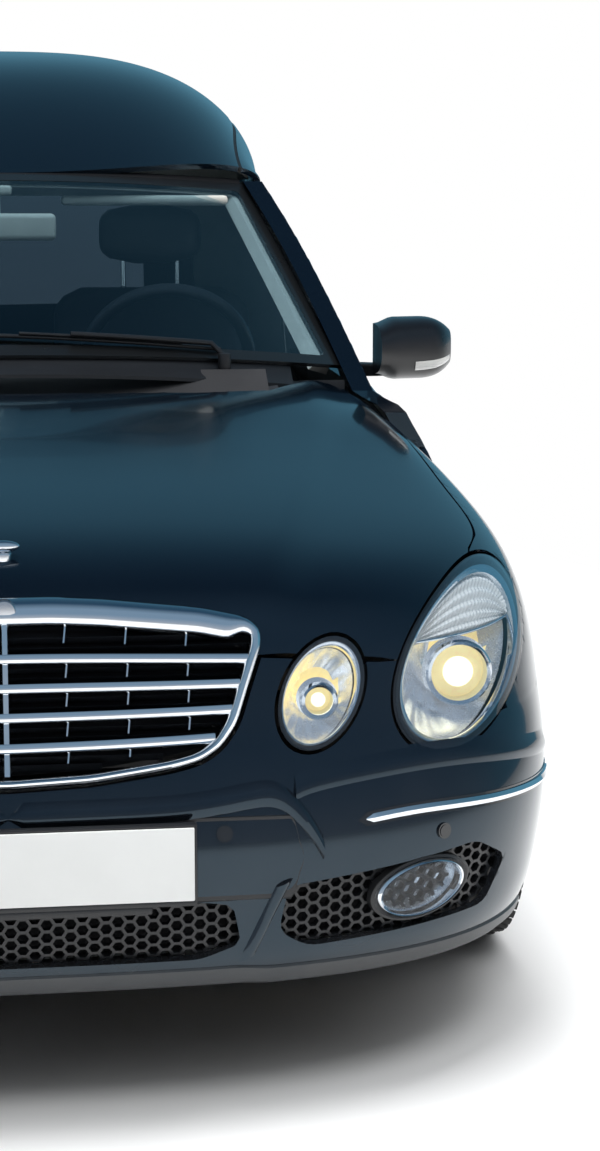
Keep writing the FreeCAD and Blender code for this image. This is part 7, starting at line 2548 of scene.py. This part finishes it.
@dataclass
class Cabin:
    """Seats, steering wheel, mirror, visors, belts and vents."""

    hub: Place = (370.0, 1905.0, 985.0)
    lean: Place = (0.0, 0.88, 0.47)
    wheel_radius: float = 183.0
    visor_ends: tuple[float, float] = (146.0, 518.0)
    belt_route: tuple[Place, ...] = ((690.0, 2470.0, 1210.0), (706.0, 2476.0, 1000.0),
                                     (724.0, 2480.0, 760.0), (736.0, 2480.0, 420.0))
    belt_half: float = 23.0
    belt_thick: float = 1.6
    vents_at: tuple[float, ...] = (-560.0, -150.0, 120.0, 600.0)
    slats: int = 4

    def build(self) -> None:
        """Make everything that shows through the glass."""
        for hand, _ in SIDES:
            FrontSeat(hand).build()
        self.steering_wheel()
        self.mirror()
        self.visors()
        self.belts()
        self.vents()

    def steering_wheel(self) -> None:
        """Leather rim, four spokes and the boss, turned about the column."""
        hub, across = np.array(self.hub), np.array(ALONG_X)
        way = np.array(self.lean) / np.linalg.norm(self.lean)
        up = np.cross(way, across)
        if up[2] < 0:
            up = -up
        turn = np.linspace(0, 2 * math.pi, 72, endpoint=False)
        ring = hub + self.wheel_radius * (np.outer(np.cos(turn), across) + np.outer(np.sin(turn), up))
        parts = [tube("rim", ring, 14.5, 20, ring=True)]
        for angle in (-0.06, math.pi + 0.06, -math.pi / 2 - 0.22, -math.pi / 2 + 0.22):
            ray = math.cos(angle) * across + math.sin(angle) * up
            side = np.cross(way, ray)
            rows = []
            for out, lift in ((-1.0, -7.0), (-0.6, 4.0), (0.6, 4.0), (1.0, -7.0)):
                rows.append(np.array([hub + ray * (45 + 132 * t) + side * (26 * (1 - t) + 12 * t) * out
                                      - way * (14 * (1 - t) + lift) for t in np.linspace(0, 1, 8)]))
            parts.append(strip_mesh("spoke", rows))
        boss = [hub + radius * (np.outer(np.cos(turn), across) + np.outer(np.sin(turn), up) * 0.82)
                + way * depth
                for radius, depth in ((40, -52), (66, -44), (72, -20), (66, -2), (40, 6))]
        parts.append(capped_mesh("boss", boss))
        parts.append(tube("column", [hub - way * 318, hub - way * 30], 22.0, 24))
        finish_piece(joined("steering_wheel_whole", parts), [WHEEL_LEATHER], "steering_wheel", "black_trim",
                     "steering_wheel")

    @staticmethod
    def mirror() -> None:
        """Inside mirror on its stem."""
        glass = block((-129, 1918, 1252), (129, 1944, 1311), 12.0, 5)
        stem = tube("stem", [(0.0, 1936.0, 1300.0), (0.0, 1950.0, 1345.0), (0.0, 1975.0, 1368.0)], 8.0)
        foot = block((-34, 1948, 1352), (34, 1998, 1372), 6.0, 3)
        finish_piece(joined("inside_mirror", [glass, stem, foot]), [PALE_PLASTIC], "body", "cabin_lining")

    def visors(self) -> None:
        """Pale visors folded up under the header, and the header's lining."""
        for hand, side in SIDES:
            low, high = sorted(hand * end for end in self.visor_ends)
            visor = named(block((low, 2000, 1330), (high, 2150, 1352), 9.0, 4), "sun_visor_" + side)
            finish_piece(visor, [PALE_PLASTIC], "body", "cabin_lining")
        lining = Skin("header_lining", self.header_place, 60, 10, (0.0, -0.4, -1.0)).thicken((0.0, 4.0, 6.0))
        finish_piece(lining, [PALE_PLASTIC], "body", "cabin_lining")

    @staticmethod
    def header_place(u: Array, v: Array) -> Array:
        """Places under the windscreen's header."""
        across = 1.86 * u - 0.93
        start = FORM.windscreen(across, np.full(across.shape, 0.955), -16.0)
        end = start + np.array([0.0, 150.0, 8.0])
        return start + (end - start) * v[..., None]

    def belts(self) -> None:
        """Belts on the pillars behind the doors' glass, with the loops that they hang from."""
        half, thick = self.belt_half, self.belt_thick
        for hand, side in SIDES:
            line = np.array(self.belt_route) * [hand, 1, 1]
            rows = [line + [-hand * in_x, ds, 0.0]
                    for ds, in_x in ((-half, 0.0), (half, 0.0), (half, thick), (-half, thick))]
            finish_piece(strip_mesh("belt_" + side, rows), [BELT_CLOTH], "body", "cabin_lining")
            loop = block((hand * 690 - 14, 2440, 1204), (hand * 690 + 14, 2500, 1226), 5.0, 3)
            finish_piece(named(loop, "belt_loop_" + side), [CABIN], "body", "black_trim")

    def vents(self) -> None:
        """Four slatted vents on the dashboard."""
        parts = []
        for x in self.vents_at:
            parts.append(block((x - 56, 1672, 872), (x + 56, 1700, 908), 4.0, 2))
            parts += [block((x - 50, 1696, 876 + 8 * k), (x + 50, 1703, 878.5 + 8 * k), 0.8, 1)
                      for k in range(self.slats)]
        finish_piece(joined("dash_vents", parts), [CABIN], "body", "black_trim")


# ---------------------------------------------------------------- what the solids keep
def dress_solids() -> None:
    """Give every CAD node that still shows its own procedural finish."""
    chosen = {"floor_pan": UNDERBODY, "front_structure": UNDERBODY, "front_subframe": CAST_METAL,
              "load_deck": DECK_STEEL, "wheelhouses": WHEELHOUSE, "dashboard": CABIN, "partition": LINING,
              "engine_block": CAST_METAL, "rear_axle": CAST_METAL, "knuckle_left": CAST_METAL,
              "knuckle_right": CAST_METAL, "exhaust": EXHAUST}
    for name, finish in chosen.items():
        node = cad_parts[name]
        node.data.materials.clear()
        node.data.materials.append(finish.material())
        log.info("%s keeps its solid, in %s", name, finish.name)


# ---------------------------------------------------------------- stage
@dataclass
class Studio:
    """Floor, lights, surroundings and camera."""

    camera_place: Place = (0.005, -5.835, 1.290)
    yaw: float = 7.69
    pitch: float = 9.1
    lens: float = 68.81
    floor_size: float = 60.0
    fade_from: float = 3.3          # metres from the middle of the car, across it stretched as below
    fade_to: float = 4.4
    stretch: Place = (1.7, 1.0, 1.0)
    lights: tuple[tuple[str, Place, Place, float, float], ...] = (      # name, place, aim, size, power
        ("key", (1.8, -5.6, 6.4), (0.2, -2.2, 0.4), 2.6, 130.0),
        ("top", (0.2, -2.4, 7.0), (0.0, -2.2, 0.0), 3.2, 420.0),
        ("rear", (-3.0, 6.5, 4.5), (0.0, 2.0, 0.4), 3.0, 260.0))

    def build(self) -> None:
        """Set everything up round the car."""
        self.camera()
        self.floor()
        self.surroundings()
        self.lamps()
        bpy.context.scene.view_settings.view_transform = "Standard"

    def camera(self) -> None:
        """Camera at the front, turned towards the driver's side."""
        data = bpy.data.cameras.new("camera")
        data.lens = self.lens
        data.sensor_width = 36.0
        camera = bpy.data.objects.new("camera", data)
        bpy.context.scene.collection.objects.link(camera)
        camera.location = self.camera_place
        camera.rotation_euler = (math.radians(90.0 - self.pitch), 0.0, math.radians(-self.yaw))
        bpy.context.scene.camera = camera

    def floor(self) -> None:
        """Pale floor, white far from the car and clear from below."""
        bpy.ops.object.select_all(action="DESELECT")
        bpy.ops.mesh.primitive_plane_add(size=self.floor_size)
        floor = bpy.context.object
        floor.name = "floor"
        material, tree, place = new_material("pale_floor")
        shader = tree.nodes["Principled BSDF"]
        set_inputs(tree, shader, {"Base Color": (0.86, 0.86, 0.86, 1.0), "Roughness": 0.9,
                                  "Specular IOR Level": 0.0})
        stretched = add_node(tree, "VectorMath", {0: place, 1: self.stretch},
                             operation="MULTIPLY").outputs["Vector"]
        gap = add_node(tree, "VectorMath", {0: stretched}, operation="LENGTH").outputs["Value"]
        fade = add_node(tree, "MapRange",
                        {"Value": gap, "From Min": self.fade_from, "From Max": self.fade_to},
                        interpolation_type="SMOOTHSTEP").outputs["Result"]
        seen = maths(tree, "MULTIPLY", fade, add_node(tree, "LightPath").outputs["Is Camera Ray"])
        above = mix_shader(tree, seen, shader.outputs["BSDF"], add_node(tree, "Emission").outputs["Emission"])
        back = add_node(tree, "NewGeometry").outputs["Backfacing"]
        surface = mix_shader(tree, back, above, add_node(tree, "BsdfTransparent").outputs["BSDF"])
        set_inputs(tree, tree.nodes["Material Output"], {"Surface": surface})
        floor.data.materials.append(material)

    @staticmethod
    def surroundings() -> None:
        """Surroundings, white to the camera; in reflections teal behind the car and paler ahead of it."""
        world = bpy.data.worlds.new("surroundings")
        bpy.context.scene.world = world
        world.use_nodes = True
        tree = world.node_tree
        rays = add_node(tree, "LightPath").outputs
        way = add_node(tree, "TexCoord").outputs["Generated"]
        way = add_node(tree, "SeparateXYZ", {"Vector": way}).outputs
        behind = blend(tree, mapped(tree, way["Z"], 0.15, 0.95), (0.10, 0.27, 0.38), (0.02, 0.06, 0.11))
        ahead = blend(tree, mapped(tree, way["Z"], -0.1, 0.6), (0.46, 0.49, 0.55), (0.20, 0.30, 0.41))
        side = blend(tree, mapped(tree, way["Y"], -0.45, 0.15), (0.0, 0.0, 0.0), (1.0, 1.0, 1.0))
        lit = blend(tree, mapped(tree, way["Z"], 0.3, 1.0), (0.012, 0.014, 0.016), (1.25, 1.28, 1.30))
        tone = blend(tree, rays["Is Glossy Ray"], lit, blend(tree, side, ahead, behind))
        seen = maths(tree, "MAXIMUM", rays["Is Camera Ray"], rays["Is Transmission Ray"])
        set_inputs(tree, tree.nodes["Background"], {"Color": blend(tree, seen, tone, (1.0, 1.0, 1.0))})

    def lamps(self) -> None:
        """Large soft lights above and beside the car."""
        for name, place, aim, size, power in self.lights:
            data = bpy.data.lights.new(name, "AREA")
            data.size = size
            data.energy = power
            light = bpy.data.objects.new(name, data)
            bpy.context.scene.collection.objects.link(light)
            light.location = place
            light.visible_glossy = False
            light.rotation_euler = (Vector(aim) - Vector(place)).to_track_quat("-Z", "Y").to_euler()


def main() -> None:
    """Build the whole car and its surroundings."""
    logging.basicConfig(level=logging.INFO, format="%(name)s %(message)s")
    FrontPanels().build()
    BodySides().build()
    Roof().build()
    RearEnd().build()
    Headlamps().build()
    FogLamps().build()
    Grille().build()
    BumperTrim().build()
    FrontGlass().build()
    Mirrors().build()
    for axle in ("front", "rear"):
        for hand in (1, -1):
            Wheel(axle, hand).build()
    Cabin().build()
    dress_solids()
    Studio().build()


if __name__ == "__main__":
    main()
